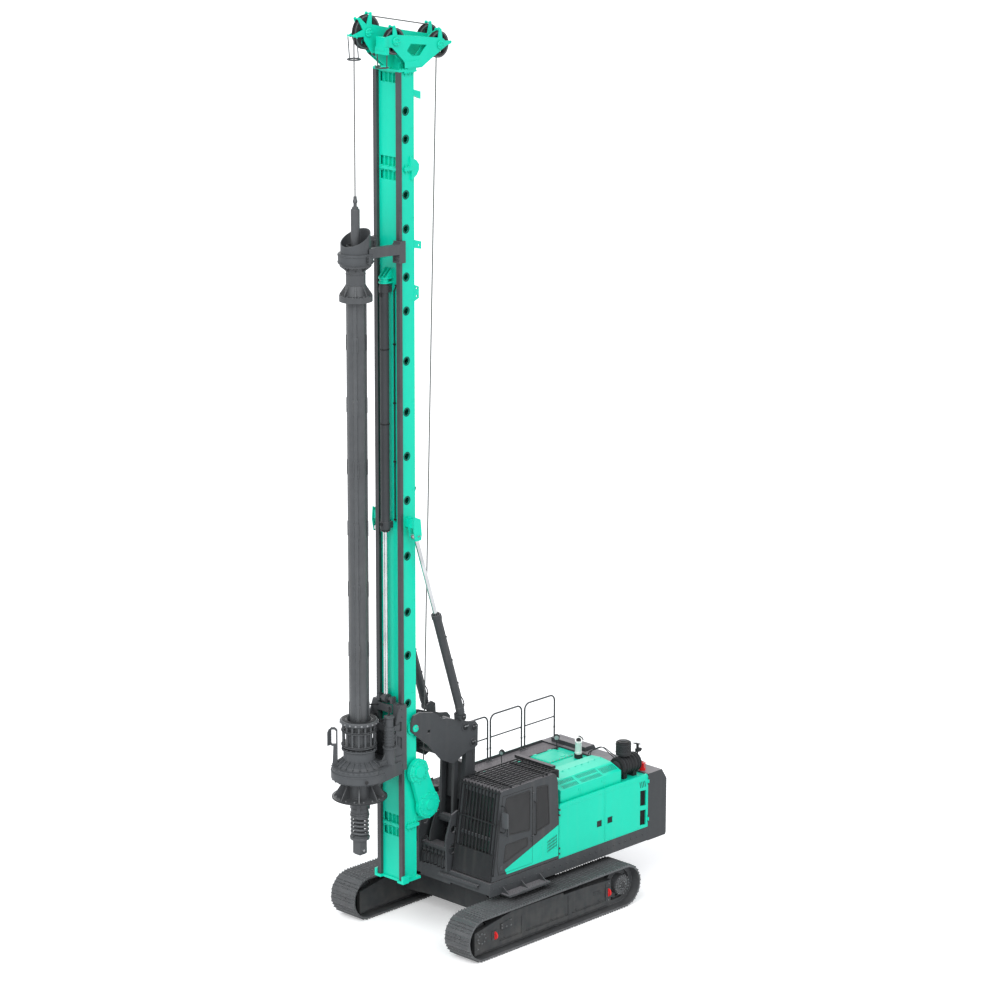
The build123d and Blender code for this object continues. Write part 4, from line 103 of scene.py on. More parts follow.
def node(tree, kind, sockets=None, **settings):
    """Adds a node. A socket, or a node's first output, is wired; anything else is a value.

    A short kind belongs to the tree's own family, so "Bump" in a shader is "ShaderNodeBump".
    """
    made = tree.nodes.new(kind if "Node" in kind else tree.bl_idname.removesuffix("Tree") + kind)
    for key, value in settings.items():
        setattr(made, key, value)
    for key, value in (sockets or {}).items():
        if isinstance(value, bpy.types.Node):
            value = value.outputs[0]
        if isinstance(value, bpy.types.NodeSocket):
            tree.links.new(value, made.inputs[key])
        else:
            made.inputs[key].default_value = value
    return made


def add_sun(name, direction, strength, spread):
    """A sun that shines along a direction; a wide one throws soft shadows."""
    data = bpy.data.lights.new(name, "SUN")
    data.energy = strength
    data.angle = math.radians(spread)
    lamp = placed(name, data)
    lamp.rotation_mode = "QUATERNION"
    lamp.rotation_quaternion = Vector(direction).to_track_quat("-Z", "Y")


add_sun("front_box", (-1.0, -0.30, -0.9), 2.0, 40)
add_sun("cab_side_box", (-0.25, -1.0, -0.75), 1.25, 45)
add_sun("rear_box", (0.8, 0.6, -0.55), 0.5, 40)

world = bpy.data.worlds.new("white_room")
SCENE.world = world
world.use_nodes = True
sky = world.node_tree
sky.nodes.clear()
rays = node(sky, "LightPath")
seen = node(sky, "ShaderNodeMath", {0: rays.outputs["Is Camera Ray"], 1: rays.outputs["Is Transmission Ray"]},
            operation="MAXIMUM")
seen = node(sky, "ShaderNodeMath", {0: seen, 1: rays.outputs["Is Glossy Ray"]}, operation="MAXIMUM")
soft = node(sky, "Background", {"Color": (0.92, 0.95, 1.0, 1.0), "Strength": 0.62})
white = node(sky, "Background", {"Color": (1.0, 1.0, 1.0, 1.0), "Strength": 1.0})
both = node(sky, "MixShader", {0: seen, 1: soft, 2: white})
node(sky, "OutputWorld", {"Surface": both})

# %% [markdown]
# The floor is one large pale sheet. It only receives the soft shadow of the tracks, and a
# little glow for camera rays takes its own colour up to the white of the backdrop.

# %% Floor
FLOOR_HALF = 260.0
floor_mesh = bpy.data.meshes.new("studio_floor")
floor_mesh.from_pydata([(-FLOOR_HALF, -FLOOR_HALF, 0.0), (FLOOR_HALF, -FLOOR_HALF, 0.0),
                        (FLOOR_HALF, FLOOR_HALF, 0.0), (-FLOOR_HALF, FLOOR_HALF, 0.0)], [], [(0, 1, 2, 3)])
floor = placed("studio_floor", floor_mesh)
floor_paint = bpy.data.materials.new("studio_floor")
floor_paint.use_nodes = True
tree = floor_paint.node_tree
tree.nodes.clear()
rays = node(tree, "LightPath")
sheet = node(tree, "BsdfDiffuse", {"Color": (0.86, 0.86, 0.86, 1.0)})
glow = node(tree, "Emission", {"Color": (1.0, 1.0, 1.0, 1.0), "Strength": 0.32})
lit = node(tree, "AddShader", {0: sheet, 1: glow})
seen = node(tree, "MixShader", {0: rays.outputs["Is Camera Ray"], 1: sheet, 2: lit})
node(tree, "OutputMaterial", {"Surface": seen})
floor_mesh.materials.append(floor_paint)

# %% [markdown]
# Paint on a machine is never one flat colour, and bare steel never one flat shine. An effect
# that several finishes share is a node group with named inputs, built once and placed in every
# finish that needs it, so a change here reaches the whole machine. First come the helpers that
# keep the lists of nodes short.

# %% Shader helpers
def shader_group(name, inputs, outputs):
    """An empty shader group, the sockets that come in and the sockets that go out."""
    group = bpy.data.node_groups.new(name, "ShaderNodeTree")
    kinds = {"f": "NodeSocketFloat", "c": "NodeSocketColor", "v": "NodeSocketVector"}
    for label, (kind, value) in inputs.items():
        made = group.interface.new_socket(label, in_out="INPUT", socket_type=kinds[kind])
        if value is not None:
            made.default_value = value
    for label, kind in outputs.items():
        group.interface.new_socket(label, in_out="OUTPUT", socket_type=kinds[kind])
    return group, group.nodes.new("NodeGroupInput").outputs, group.nodes.new("NodeGroupOutput").inputs


def math_of(tree, operation, a, b=0.0, clamp=False):
    """One Math node's result."""
    return node(tree, "ShaderNodeMath", {0: a, 1: b}, operation=operation, use_clamp=clamp).outputs[0]


def times(tree, a, b):
    """Two values multiplied. Of two masks that gives where both are 1."""
    return math_of(tree, "MULTIPLY", a, b)


def mixed(tree, share, a, b):
    """One colour over another by a share."""
    made = tree.nodes.new("ShaderNodeMix")
    made.data_type = "RGBA"
    for index, value in ((0, share), (6, a), (7, b)):
        if isinstance(value, bpy.types.NodeSocket):
            tree.links.new(value, made.inputs[index])
        else:
            made.inputs[index].default_value = value
    return made.outputs[2]


def noise(tree, vector, scale, detail=2.0, rough=0.5):
    """A noise value from 0 to 1."""
    return node(tree, "TexNoise", {"Vector": vector, "Scale": scale, "Detail": detail,
                                   "Roughness": rough}).outputs["Fac"]


def ramp(tree, value, low, high, to_low=0.0, to_high=1.0):
    """A value stretched from one range to another and clamped."""
    return node(tree, "MapRange", {"Value": value, "From Min": low, "From Max": high, "To Min": to_low,
                                   "To Max": to_high}).outputs["Result"]


def stretched(tree, vector, scale):
    """Coordinates scaled by a different amount along each axis."""
    return node(tree, "Mapping", {"Vector": vector, "Scale": scale}).outputs["Vector"]


def object_place(tree):
    """Each point's own coordinates, which stay with the piece when it moves."""
    return node(tree, "TexCoord").outputs["Object"]


def group_outputs(tree, outs, **results):
    """Wires results to the group's outputs of the same names."""
    for label, result in results.items():
        tree.links.new(result, outs[label])


BLACK = (0.0, 0.0, 0.0, 1.0)
print("helpers for shader groups are ready")

# %% [markdown]
# Corners wear first. A Bevel node gives the normal that a rounded edge would have. Where it
# leans away from the flat face there is a corner, and noise breaks its line up. The same
# rounded normal lets every sharp edge catch the light.

# %% Worn corners
worn, ins, outs = shader_group("worn_corners", {"Width": ("f", 0.006), "Break Up": ("f", 26.0)},
                               {"Mask": "f", "Normal": "v"})
place = object_place(worn)
softened = node(worn, "Bevel", {"Radius": ins["Width"]}, samples=4)
flat = node(worn, "NewGeometry")
agree = node(worn, "VectorMath", {0: softened, 1: flat.outputs["Normal"]},
             operation="DOT_PRODUCT").outputs["Value"]
corner = ramp(worn, agree, 0.995, 0.80)
spots = ramp(worn, noise(worn, place, ins["Break Up"], 3.0), 0.35, 0.65)
group_outputs(worn, outs, Mask=math_of(worn, "MULTIPLY", corner, spots, True), Normal=softened.outputs[0])
print(worn.name, "has", len(worn.nodes), "nodes")

# %% [markdown]
# The paint film has a fine orange peel, and its tone drifts a little from plate to plate. Rain
# leaves faint upright streaks and dust settles low down. What faces the sky is painted lighter:
# a painted highlight of the light from above.

# %% Paint film
# A pale grey for painted top light: faces that look up are mixed towards it.
PAINTED_TOP_LIGHT = (0.36, 0.33, 0.35, 1.0)
film, ins, outs = shader_group(
    "paint_film",
    {"Colour": ("c", (0.5, 0.5, 0.5, 1.0)), "Drift": ("f", 0.10), "Streaks": ("f", 0.12), "Dust": ("f", 0.35),
     "Dust Colour": ("c", (0.30, 0.27, 0.23, 1.0)), "Dust Top": ("f", 1.1), "Bleach": ("f", 0.0),
     "Peel": ("f", 0.10), "Roughness": ("f", 0.38), "Corner Colour": ("c", (0.4, 0.4, 0.4, 1.0)),
     "Corner Wear": ("f", 0.5), "Corner Width": ("f", 0.006)},
    {"Colour": "c", "Roughness": "f", "Normal": "v"})
place = object_place(film)
height = node(film, "SeparateXYZ", {0: place}).outputs["Z"]
clouds = noise(film, place, 0.9, 4.0)
fine = noise(film, place, 9.0, 5.0)
tone = math_of(film, "ADD", times(film, clouds, 0.7), times(film, fine, 0.3))
drift = times(film, ramp(film, tone, 0.35, 0.65), ins["Drift"])
colour = mixed(film, drift, ins["Colour"], BLACK)
rain = noise(film, stretched(film, place, (7.0, 7.0, 0.35)), 1.0, 4.0)
rain = times(film, ramp(film, rain, 0.52, 0.75), ins["Streaks"])
colour = mixed(film, rain, colour, ins["Dust Colour"])
edges = node(film, "Group")
edges.node_tree = worn
film.links.new(ins["Corner Width"], edges.inputs["Width"])
colour = mixed(film, times(film, edges.outputs["Mask"], ins["Corner Wear"]), colour, ins["Corner Colour"])
low = node(film, "MapRange", {"Value": height, "From Min": 0.0, "From Max": ins["Dust Top"], "To Min": 1.0,
                              "To Max": 0.0}).outputs["Result"]
settled = times(film, low, ramp(film, noise(film, place, 5.0, 6.0), 0.30, 0.70))
settled = times(film, settled, ins["Dust"])
colour = mixed(film, settled, colour, ins["Dust Colour"])
facing = node(film, "TexCoord").outputs["Normal"]
upward = node(film, "SeparateXYZ", {0: facing}).outputs["Z"]
# Painted highlight: the more a face looks up, the more it is lightened towards the pale grey.
top_lit_share = times(film, ramp(film, upward, 0.70, 0.98), ins["Bleach"])
colour = mixed(film, top_lit_share, colour, PAINTED_TOP_LIGHT)
rough = math_of(film, "ADD", ins["Roughness"], times(film, fine, 0.10))
rough = math_of(film, "ADD", rough, times(film, settled, 0.5), True)
peel = node(film, "Bump", {"Strength": ins["Peel"], "Distance": 0.0006,
                           "Height": noise(film, place, 190.0, 2.0), "Normal": edges.outputs["Normal"]})
group_outputs(film, outs, Colour=colour, Roughness=rough, Normal=peel.outputs[0])
print(film.name, "has", len(film.nodes), "nodes")

# %% [markdown]
# Ground, drawn and plated steel shows fine lines that run one way; rope, rubber and moulded
# plastic have a grain too, at other scales. One group stretches a noise by its own amount along
# each axis and lets it change the shine and raise the surface.

# %% Directional grain
grain, ins, outs = shader_group("directional_grain",
                                {"Colour": ("c", (0.5, 0.5, 0.5, 1.0)), "Along": ("v", (1.0, 1.0, 1.0)),
                                 "Depth": ("f", 0.2), "Roughness": ("f", 0.25)},
                                {"Colour": "c", "Roughness": "f", "Normal": "v"})
place = object_place(grain)
lines = noise(grain, stretched(grain, place, ins["Along"]), 1.0, 4.0, 0.7)
blots = noise(grain, place, 3.0, 4.0)
colour = mixed(grain, ramp(grain, blots, 0.3, 0.8, 0.0, 0.35), ins["Colour"], (0.02, 0.02, 0.02, 1.0))
rough = math_of(grain, "ADD", ins["Roughness"], times(grain, lines, 0.25), True)
raised = node(grain, "Bump", {"Strength": ins["Depth"], "Distance": 0.0008, "Height": lines})
group_outputs(grain, outs, Colour=colour, Roughness=rough, Normal=raised.outputs[0])
print(grain.name, "has", len(grain.nodes), "nodes")

# %% [markdown]
# Seat cloth is a plain weave. Two crossed sine waves make its threads, which are raised, and a
# painted shade makes the gaps between them a little darker.

# %% Woven cloth
weave, ins, outs = shader_group("woven_cloth",
                                {"Colour": ("c", (0.05, 0.05, 0.05, 1.0)), "Threads": ("f", 900.0)},
                                {"Colour": "c", "Normal": "v"})
place = object_place(weave)
axes = node(weave, "SeparateXYZ", {0: place})
waves = []
for axis, other in (("X", "Z"), ("Y", "Z")):
    run = math_of(weave, "ADD", axes.outputs[axis], axes.outputs[other])
    waves.append(math_of(weave, "SINE", times(weave, run, ins["Threads"])))
cloth = ramp(weave, times(weave, waves[0], waves[1]), -1.0, 1.0)
raised = node(weave, "Bump", {"Strength": 0.35, "Distance": 0.001, "Height": cloth})
# Painted shade: the same thread pattern darkens the cloth a little in the gaps.
colour = mixed(weave, times(weave, cloth, 0.5), ins["Colour"], (0.012, 0.012, 0.013, 1.0))
group_outputs(weave, outs, Colour=colour, Normal=raised.outputs[0])
print(weave.name, "has", len(weave.nodes), "nodes")

# %% [markdown]
# A tinted pane carries a thin haze of dust that greys and dulls it in patches. It gets no
# raised noise, because a flat sheet with a bump would look like melted plastic.

# %% Window tint
tint, ins, outs = shader_group("window_tint", {"Colour": ("c", (0.03, 0.03, 0.03, 1.0)), "Haze": ("f", 0.12)},
                               {"Colour": "c", "Roughness": "f"})
place = object_place(tint)
haze = times(tint, ramp(tint, noise(tint, place, 1.6, 2.0), 0.30, 0.75), ins["Haze"])
group_outputs(tint, outs, Colour=mixed(tint, haze, ins["Colour"], (0.16, 0.16, 0.16, 1.0)),
              Roughness=math_of(tint, "ADD", haze, 0.02))
print(tint.name, "has", len(tint.nodes), "nodes")

# %% [markdown]
# Each finish is a Principled BSDF of its own that reads one of the groups. What is the same
# all over a surface, such as the sheen of a clear coat or the bend of light in glass, is set
# on the shader's own socket, and only what changes over the surface comes from a group.

# %% Finishes
def finish(name, group, values, **plain):
    """A material: a group's colour, roughness and normal on a Principled BSDF."""
    made = bpy.data.materials.new(name)
    made.use_nodes = True
    tree = made.node_tree
    shader = tree.nodes["Principled BSDF"]
    source = node(tree, "Group")
    source.node_tree = group
    for key, value in values.items():
        source.inputs[key].default_value = value
    tree.links.new(source.outputs["Colour"], shader.inputs["Base Color"])
    if "Normal" in source.outputs:
        tree.links.new(source.outputs["Normal"], shader.inputs["Normal"])
    if "Roughness" in source.outputs:
        tree.links.new(source.outputs["Roughness"], shader.inputs["Roughness"])
    for key, value in plain.items():
        shader.inputs[key.replace("_", " ")].default_value = value
    return made


def paint(name, colour, rough=0.36, **values):
    """A paint film over steel; the worn corners show a paler tone of it."""
    pale = tuple(min(1.0, c * 1.7 + 0.03) for c in colour) + (1.0,)
    given = {"Colour": (*colour, 1.0), "Roughness": rough, "Corner Colour": pale}
    given.update(values)
    return finish(name, film, given, Specular_IOR_Level=0.22, Coat_Weight=0.04, Coat_Roughness=0.3)


def grained(name, colour, along, depth, rough, **plain):
    """Bare metal, rubber or plastic with a grain of its own scale along each axis."""
    return finish(name, grain, {"Colour": (*colour, 1.0), "Along": along, "Depth": depth, "Roughness": rough},
                  **plain)


GREEN_COLOUR, CHARCOAL_COLOUR, RED_COLOUR = (0.002, 0.62, 0.42), (0.050, 0.054, 0.058), (0.72, 0.012, 0.015)
GREEN = paint("turquoise_enamel", GREEN_COLOUR, 0.30, Streaks=0.03, Drift=0.06, Dust=0.12)
# The charcoal's upward faces get the most painted top light.
CHARCOAL = paint("charcoal_enamel", CHARCOAL_COLOUR, 0.42, Drift=0.16, Streaks=0.05, Dust=0.12, Bleach=0.34)
FRAME_GREY = paint("frame_grey_enamel", (0.032, 0.035, 0.038), 0.45, Drift=0.16, Streaks=0.05, Dust=0.12)
DRIVE_GREY = paint("drive_grey_enamel", (0.074, 0.079, 0.084), 0.42, Drift=0.16, Streaks=0.05, Dust=0.0)
SOOT = paint("matt_black_paint", (0.018, 0.019, 0.021), 0.55, Drift=0.2, Streaks=0.05, Dust=0.1)
# A darker green, painted shade inside the mast's round holes.
HOLE_SHADE_GREEN = paint("painted_hole_shade", (0.001, 0.105, 0.075), 0.5, Streaks=0.0, Dust=0.0)
RED = paint("signal_red_enamel", RED_COLOUR, 0.30, Dust=0.2)
GREY_PATCH = paint("grip_grey_paint", (0.24, 0.24, 0.25), 0.75, Peel=0.9, Drift=0.25)
TRACK = finish("track_steel", film, {"Colour": (0.105, 0.110, 0.116, 1.0), "Roughness": 0.42, "Drift": 0.30,
                                     "Streaks": 0.0, "Dust": 0.10, "Corner Colour": (0.30, 0.31, 0.32, 1.0),
                                     "Corner Wear": 0.9, "Corner Width": 0.010, "Peel": 0.4}, Metallic=0.35)
DRILL = finish("drill_string_steel", film,
               {"Colour": (0.085, 0.090, 0.095, 1.0), "Roughness": 0.40, "Drift": 0.30, "Streaks": 0.10,
                "Dust": 0.0, "Peel": 0.35, "Corner Wear": 0.7, "Corner Colour": (0.26, 0.27, 0.28, 1.0)},
               Metallic=0.30)
RAIL = grained("rail_steel", (0.075, 0.078, 0.082), (60.0, 60.0, 1.2), 0.25, 0.30, Metallic=0.45)
CHROME = grained("hard_chrome", (0.82, 0.83, 0.84), (90.0, 90.0, 60.0), 0.03, 0.10, Metallic=1.0)
STAINLESS = grained("stainless_pipe", (0.90, 0.90, 0.89), (40.0, 40.0, 300.0), 0.12, 0.30, Metallic=0.35)
ZINC = grained("zinc_bolts", (0.34, 0.35, 0.36), (200.0, 200.0, 200.0), 0.2, 0.35, Metallic=0.8)
ROPE = grained("wire_rope", (0.17, 0.17, 0.17), (500.0, 500.0, 300.0), 0.8, 0.40, Metallic=0.6)
RUBBER = grained("black_rubber", (0.020, 0.020, 0.021), (300.0, 300.0, 300.0), 0.25, 0.60)
PLASTIC = grained("moulded_plastic", (0.035, 0.036, 0.038), (420.0, 420.0, 420.0), 0.35, 0.45)
CLOTH = finish("seat_cloth", weave, {"Colour": (0.045, 0.047, 0.052, 1.0)}, Roughness=0.9, Sheen_Weight=0.3)
GLASS = finish("tinted_glass", tint, {"Colour": (0.030, 0.030, 0.031, 1.0)}, Transmission_Weight=0.12,
               IOR=1.28)
LAMP_GLASS = grained("lamp_glass", (0.42, 0.43, 0.45), (150.0, 150.0, 2.0), 0.3, 0.05,
                     Transmission_Weight=0.15, IOR=1.45)
RED_LENS = grained("red_lens", (0.85, 0.01, 0.01), (150.0, 150.0, 2.0), 0.3, 0.12,
                   Emission_Color=(0.6, 0.0, 0.0, 1.0), Emission_Strength=0.25)
# A paler grey for flat tops that face the sky: painted top light.
TOP_LIT_GREY = paint("top_lit_grey_paint", (0.135, 0.125, 0.132), 0.6, Drift=0.2, Streaks=0.0, Dust=0.0, Bleach=0.12)
print("plain finishes", len(bpy.data.materials))

# %% [markdown]
# Some welded pieces leave the spray shop in two colours: the green roof beside the dark
# walkway, the red lug on its dark foot, the dark rings below the green head. Tape divides them,
# and here a mask of the object coordinates does. A mask is a few comparisons of x, y and z.

# %% Two-tone paints
def object_axes(tree):
    """The x, y and z of each point, in metres."""
    axes = node(tree, "SeparateXYZ", {0: object_place(tree)})
    return axes.outputs["X"], axes.outputs["Y"], axes.outputs["Z"]


def group_in(tree):
    """The group node of a finish."""
    return next(n for n in tree.nodes if n.type == "GROUP")


def masked(name, inside, outside, mask, painted_top_light=0.0):
    """A paint of two colours, parted by a mask."""
    made = paint(name, outside, 0.38, Streaks=0.03, Drift=0.08, Dust=0.1, Bleach=painted_top_light)
    tree = made.node_tree
    share = mask(tree, *object_axes(tree))
    tree.links.new(mixed(tree, share, (*outside, 1.0), (*inside, 1.0)), group_in(tree).inputs["Colour"])
    return made


def beyond(tree, value, edge):
    """1 where a value is over an edge."""
    return math_of(tree, "GREATER_THAN", value, edge)


def lug_mask(tree, x, y, z):
    """The half-round lug stands out from its foot plate."""
    return beyond(tree, math_of(tree, "ABSOLUTE", y), 1.798)


def roof_mask(tree, x, y, z):
    """The roof is green beside the walkway, and the posts below it are not."""
    return times(tree, beyond(tree, y, -0.935), beyond(tree, z, 2.30))


def ring_mask(tree, x, y, z):
    """The hanging rings and their chains, before and below the sheave plates."""
    front = times(tree, beyond(tree, x, 3.27), math_of(tree, "LESS_THAN", z, 17.37))
    near = times(tree, beyond(tree, x, 2.93), math_of(tree, "LESS_THAN", z, 17.055))
    return math_of(tree, "MAXIMUM", front, near)


ROOF_PAINT = masked("housing_two_tone", GREEN_COLOUR, CHARCOAL_COLOUR, roof_mask)
LUG_PAINT = masked("lug_two_tone", RED_COLOUR, CHARCOAL_COLOUR, lug_mask)
HEAD_PAINT = masked("mast_head_two_tone", CHARCOAL_COLOUR, GREEN_COLOUR, ring_mask)
print("two-tone paints", ROOF_PAINT.name, LUG_PAINT.name, HEAD_PAINT.name)

# %% [markdown]
# The crowd rod is hard chrome down to the eye that is forged on its end, and the eye is
# painted. Here paint and metal change at one mask, so it drives Metallic as well as the colour.

# %% Crowd rod
ROD_EYE_TOP, ROD_HALF = 5.035, 0.075


def eye_mask(tree, x, y, z):
    """The rod's eye and its clevis, below and beside the plated rod."""
    below = math_of(tree, "LESS_THAN", z, ROD_EYE_TOP)
    return math_of(tree, "MAXIMUM", below, beyond(tree, math_of(tree, "ABSOLUTE", y), ROD_HALF))


CROWD_ROD = grained("crowd_rod_chrome", (0.82, 0.83, 0.84), (90.0, 90.0, 60.0), 0.03, 0.12)
tree = CROWD_ROD.node_tree
painted_eye = eye_mask(tree, *object_axes(tree))
shader = tree.nodes["Principled BSDF"]
plated = group_in(tree).outputs["Colour"]
tree.links.new(mixed(tree, painted_eye, plated, (*CHARCOAL_COLOUR, 1.0)), shader.inputs["Base Color"])
tree.links.new(math_of(tree, "SUBTRACT", 1.0, painted_eye), shader.inputs["Metallic"])
print("finishes", len(bpy.data.materials))

# %% [markdown]
# Every CAD node that stays in view gets its finish here. A CAD object is never moved or
# reshaped: only the material in its slot changes.

# %% Paint the CAD nodes
NODE_FINISH = {
    GREEN: ["mast_lower_section", "mast_main_section", "mast_top_section", "winch_frame", "hood",
            "hood_louvres", "side_door_left_front", "side_door_left_rear", "side_door_right_front",
            "side_door_right_rear", "cab_side_panel", "cab_door_panel"],
    TRACK: ["track_left", "track_right", "track_wheels_left", "track_wheels_right"],
    DRILL: ["kelly_bar", "kelly_core", "drive_sleeve"],
    RAIL: ["guide_rails"],
    CHROME: ["luff_cylinder_rods", "mast_cylinder_rods"],
    ROPE: ["hoist_rope"],
    SOOT: ["cab_guards", "sheave_main_front", "sheave_main_rear", "sheave_aux_front", "sheave_aux_rear",
           "winch_drum", "engine_and_tank", "exhaust_and_air_cleaner"],
    RED: ["beacon"],
    HEAD_PAINT: ["mast_head"],
    CROWD_ROD: ["crowd_rod"],
    FRAME_GREY: ["track_frame_left", "track_frame_right", "undercarriage"],
    DRIVE_GREY: ["drive_carriage", "kelly_guide"],
    LUG_PAINT: ["tie_down_lugs"],
    ROOF_PAINT: ["engine_housing"],
    GLASS: ["cab_glass", "door_glass"],
}
finish_of = {name: made for made, names in NODE_FINISH.items() for name in names}
for name, obj in NODES.items():
    obj.data.materials.clear()
    obj.data.materials.append(finish_of.get(name, CHARCOAL))
print("painted", len(NODES), "nodes")

# %% [markdown]
# The small hardware is made at a bench. The bench keeps one bmesh per piece, takes sizes in
# millimetres like the drawing, and knows the few operations a workshop has: cut a plate,
# turn a part on a lathe, weld on a block. When the piece is done it is scaled to metres,
# its faces are turned outwards, its edges get a small live bevel, and it is hung on its body.

# %% The bench
AXES = {"X": Vector((1, 0, 0)), "Y": Vector((0, 1, 0)), "Z": Vector((0, 0, 1))}
UNTURNED = Matrix.Identity(4)


def facing_turn(direction):
    """The rotation that stands a part's Z axis up along a direction."""
    return Vector(direction).to_track_quat("Z", "Y").to_matrix().to_4x4()


def hang(obj, body, finish):
    """Puts a piece on its body; the finish is not used."""
    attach(obj, body)
    return obj


def in_space(axis, level, point):
    """Where an outline's point (a, b) lies on the plane across an axis at a level."""
    a, b = point
    return {"X": (level, a, b), "Y": (a, level, b), "Z": (a, b, level)}[axis]


class Bench:
    """Gathers the shapes of one piece."""

    def __init__(self):
        self.mesh = bmesh.new()

    def cube(self, middle, size, turn=UNTURNED):
        """A bar of three sizes about its middle, turned by a matrix."""
        place = Matrix.Translation(middle) @ turn @ Matrix.Diagonal((*size, 1.0))
        bmesh.ops.create_cube(self.mesh, size=1.0, matrix=place)
        return self

    def block(self, x, y, z):
        """A bar between two x, two y and two z."""
        return self.cube([sum(pair) / 2 for pair in (x, y, z)],
                         [abs(pair[1] - pair[0]) for pair in (x, y, z)])

    def loop(self, outline, axis, level):
        """The vertices of an outline of (y, z), (x, z) or (x, y) points across X, Y or Z."""
        return [self.mesh.verts.new(in_space(axis, level, point)) for point in outline]

    def walls(self, low, high):
        """Quads between two loops with as many vertices each."""
        for i in range(len(low)):
            j = (i + 1) % len(low)
            self.mesh.faces.new((low[i], low[j], high[j], high[i]))

    def plate(self, outline, axis, start, end):
        """A flat outline, thick along an axis."""
        low, high = self.loop(outline, axis, start), self.loop(outline, axis, end)
        self.mesh.faces.new(low)
        self.mesh.faces.new(high)
        self.walls(low, high)
        return self

    def frame(self, outer, inner, axis, start, end):
        """A ring-shaped plate between two outlines with as many points each."""
        loops = [self.loop(outline, axis, level) for level in (start, end) for outline in (outer, inner)]
        for one, two in ((0, 1), (2, 3), (0, 2), (1, 3)):
            self.walls(loops[one], loops[two])
        return self

    def lathe(self, profile, at, axis="Z", steps=32, closed=False):
        """A profile of (radius, height) turned about an axis through a point."""
        up = AXES[axis] if isinstance(axis, str) else Vector(axis)
        place = Matrix.Translation(Vector(at)) @ facing_turn(up)
        rings = []
        for radius, height in profile:
            turns = [2 * math.pi * i / steps for i in range(steps)] if radius > 1e-6 else [0.0]
            points = [(radius * math.cos(turn), radius * math.sin(turn), height) for turn in turns]
            rings.append([self.mesh.verts.new(place @ Vector(point)) for point in points])
        for low_ring, high_ring in zip(rings, rings[1:] + rings[:1] if closed else rings[1:]):
            for i in range(steps):
                j = (i + 1) % steps
                corner = [low_ring[i % len(low_ring)], low_ring[j % len(low_ring)],
                          high_ring[j % len(high_ring)], high_ring[i % len(high_ring)]]
                unique = list(dict.fromkeys(corner))
                if len(unique) > 2:
                    self.mesh.faces.new(unique)
        return self

    def ring(self, profile, at, axis="Z", steps=32):
        """A closed profile turned about an axis: a ring, flange or rim."""
        return self.lathe(profile, at, axis, steps, closed=True)

    def finish(self, name, body, finish, edge=2.0, slot=None):
        """Turns the faces out, scales to metres, bevels the edges and hangs the piece."""
        bmesh.ops.recalc_face_normals(self.mesh, faces=self.mesh.faces)
        bmesh.ops.scale(self.mesh, vec=(MM, MM, MM), verts=self.mesh.verts)
        mesh = bpy.data.meshes.new(name)
        self.mesh.to_mesh(mesh)
        self.mesh.free()
        mesh.materials.append(finish)
        obj = placed(name, mesh)
        if edge:
            rounded = obj.modifiers.new("rounded_edges", "BEVEL")
            rounded.width = edge * MM
            rounded.segments = 2
            rounded.limit_method = "ANGLE"
            rounded.angle_limit = math.radians(35)
        mesh.shade_smooth()
        mesh.set_sharp_from_angle(angle=math.radians(38))
        return hang(obj, body, finish)


# %% [markdown]
# Plates are cut from outlines. Three helpers draw them: one pulls an outline inwards, as for
# the inner edge of a frame, one rounds its corners, and one draws a rectangle.

# %% Outlines
def pulled(outline, by):
    """An outline of (a, b) points moved inwards by a distance, corner by corner."""
    area = sum(p[0] * q[1] - q[0] * p[1] for p, q in zip(outline, outline[1:] + outline[:1]))
    sign = 1.0 if area > 0 else -1.0
    count, moved = len(outline), []
    for i in range(count):
        a, b, c = (Vector(outline[(i + k) % count]) for k in (-1, 0, 1))
        one, two = (b - a).normalized(), (c - b).normalized()
        n1, n2 = Vector((-one.y, one.x)) * sign, Vector((-two.y, two.x)) * sign
        mid = (n1 + n2).normalized()
        moved.append(tuple(b + mid * (by / max(0.3, mid.dot(n1)))))
    return moved


def softened_outline(outline, radius, steps=4):
    """An outline with its corners cut to short arcs."""
    out, count = [], len(outline)
    for i in range(count):
        a, b, c = (Vector(outline[(i + k) % count]) for k in (-1, 0, 1))
        start = b + (a - b).normalized() * min(radius, (a - b).length * 0.45)
        end = b + (c - b).normalized() * min(radius, (c - b).length * 0.45)
        for k in range(steps + 1):
            t = k / steps
            out.append(tuple(start * (1 - t) ** 2 + b * (2 * t * (1 - t)) + end * t ** 2))
    return out


def rectangle(x, y, radius=0):
    """A rectangle between two x and two y, with rounded corners where a radius is given."""
    corners = [(x[0], y[0]), (x[1], y[0]), (x[1], y[1]), (x[0], y[1])]
    return softened_outline(corners, radius) if radius else corners


print("a rounded square has", len(rectangle((0, 9), (0, 9), 2)), "points")

# %% [markdown]
# What repeats is left to Geometry Nodes: hundreds of bolts, the lozenges of tread plate, the
# slats of a grille. One kind of tree does them all. It takes a mesh of loose points, each
# with the way it faces, and stands one small shape on every point. The shape is made inside
# the tree from named sizes that each call sets, and the result is kept as a plain mesh.

# %% Trees that stand a shape on points
def new_tree(name, sizes):
    """An empty geometry tree with float sizes and a finish, and the sockets of its two ends."""
    tree = bpy.data.node_groups.new(name, "GeometryNodeTree")
    tree.is_modifier = True
    tree.interface.new_socket("Geometry", in_out="INPUT", socket_type="NodeSocketGeometry")
    for label, value in sizes.items():
        made = tree.interface.new_socket(label, in_out="INPUT", socket_type="NodeSocketFloat")
        made.default_value = value
    tree.interface.new_socket("Finish", in_out="INPUT", socket_type="NodeSocketMaterial")
    tree.interface.new_socket("Geometry", in_out="OUTPUT", socket_type="NodeSocketGeometry")
    return tree, tree.nodes.new("NodeGroupInput").outputs, tree.nodes.new("NodeGroupOutput").inputs


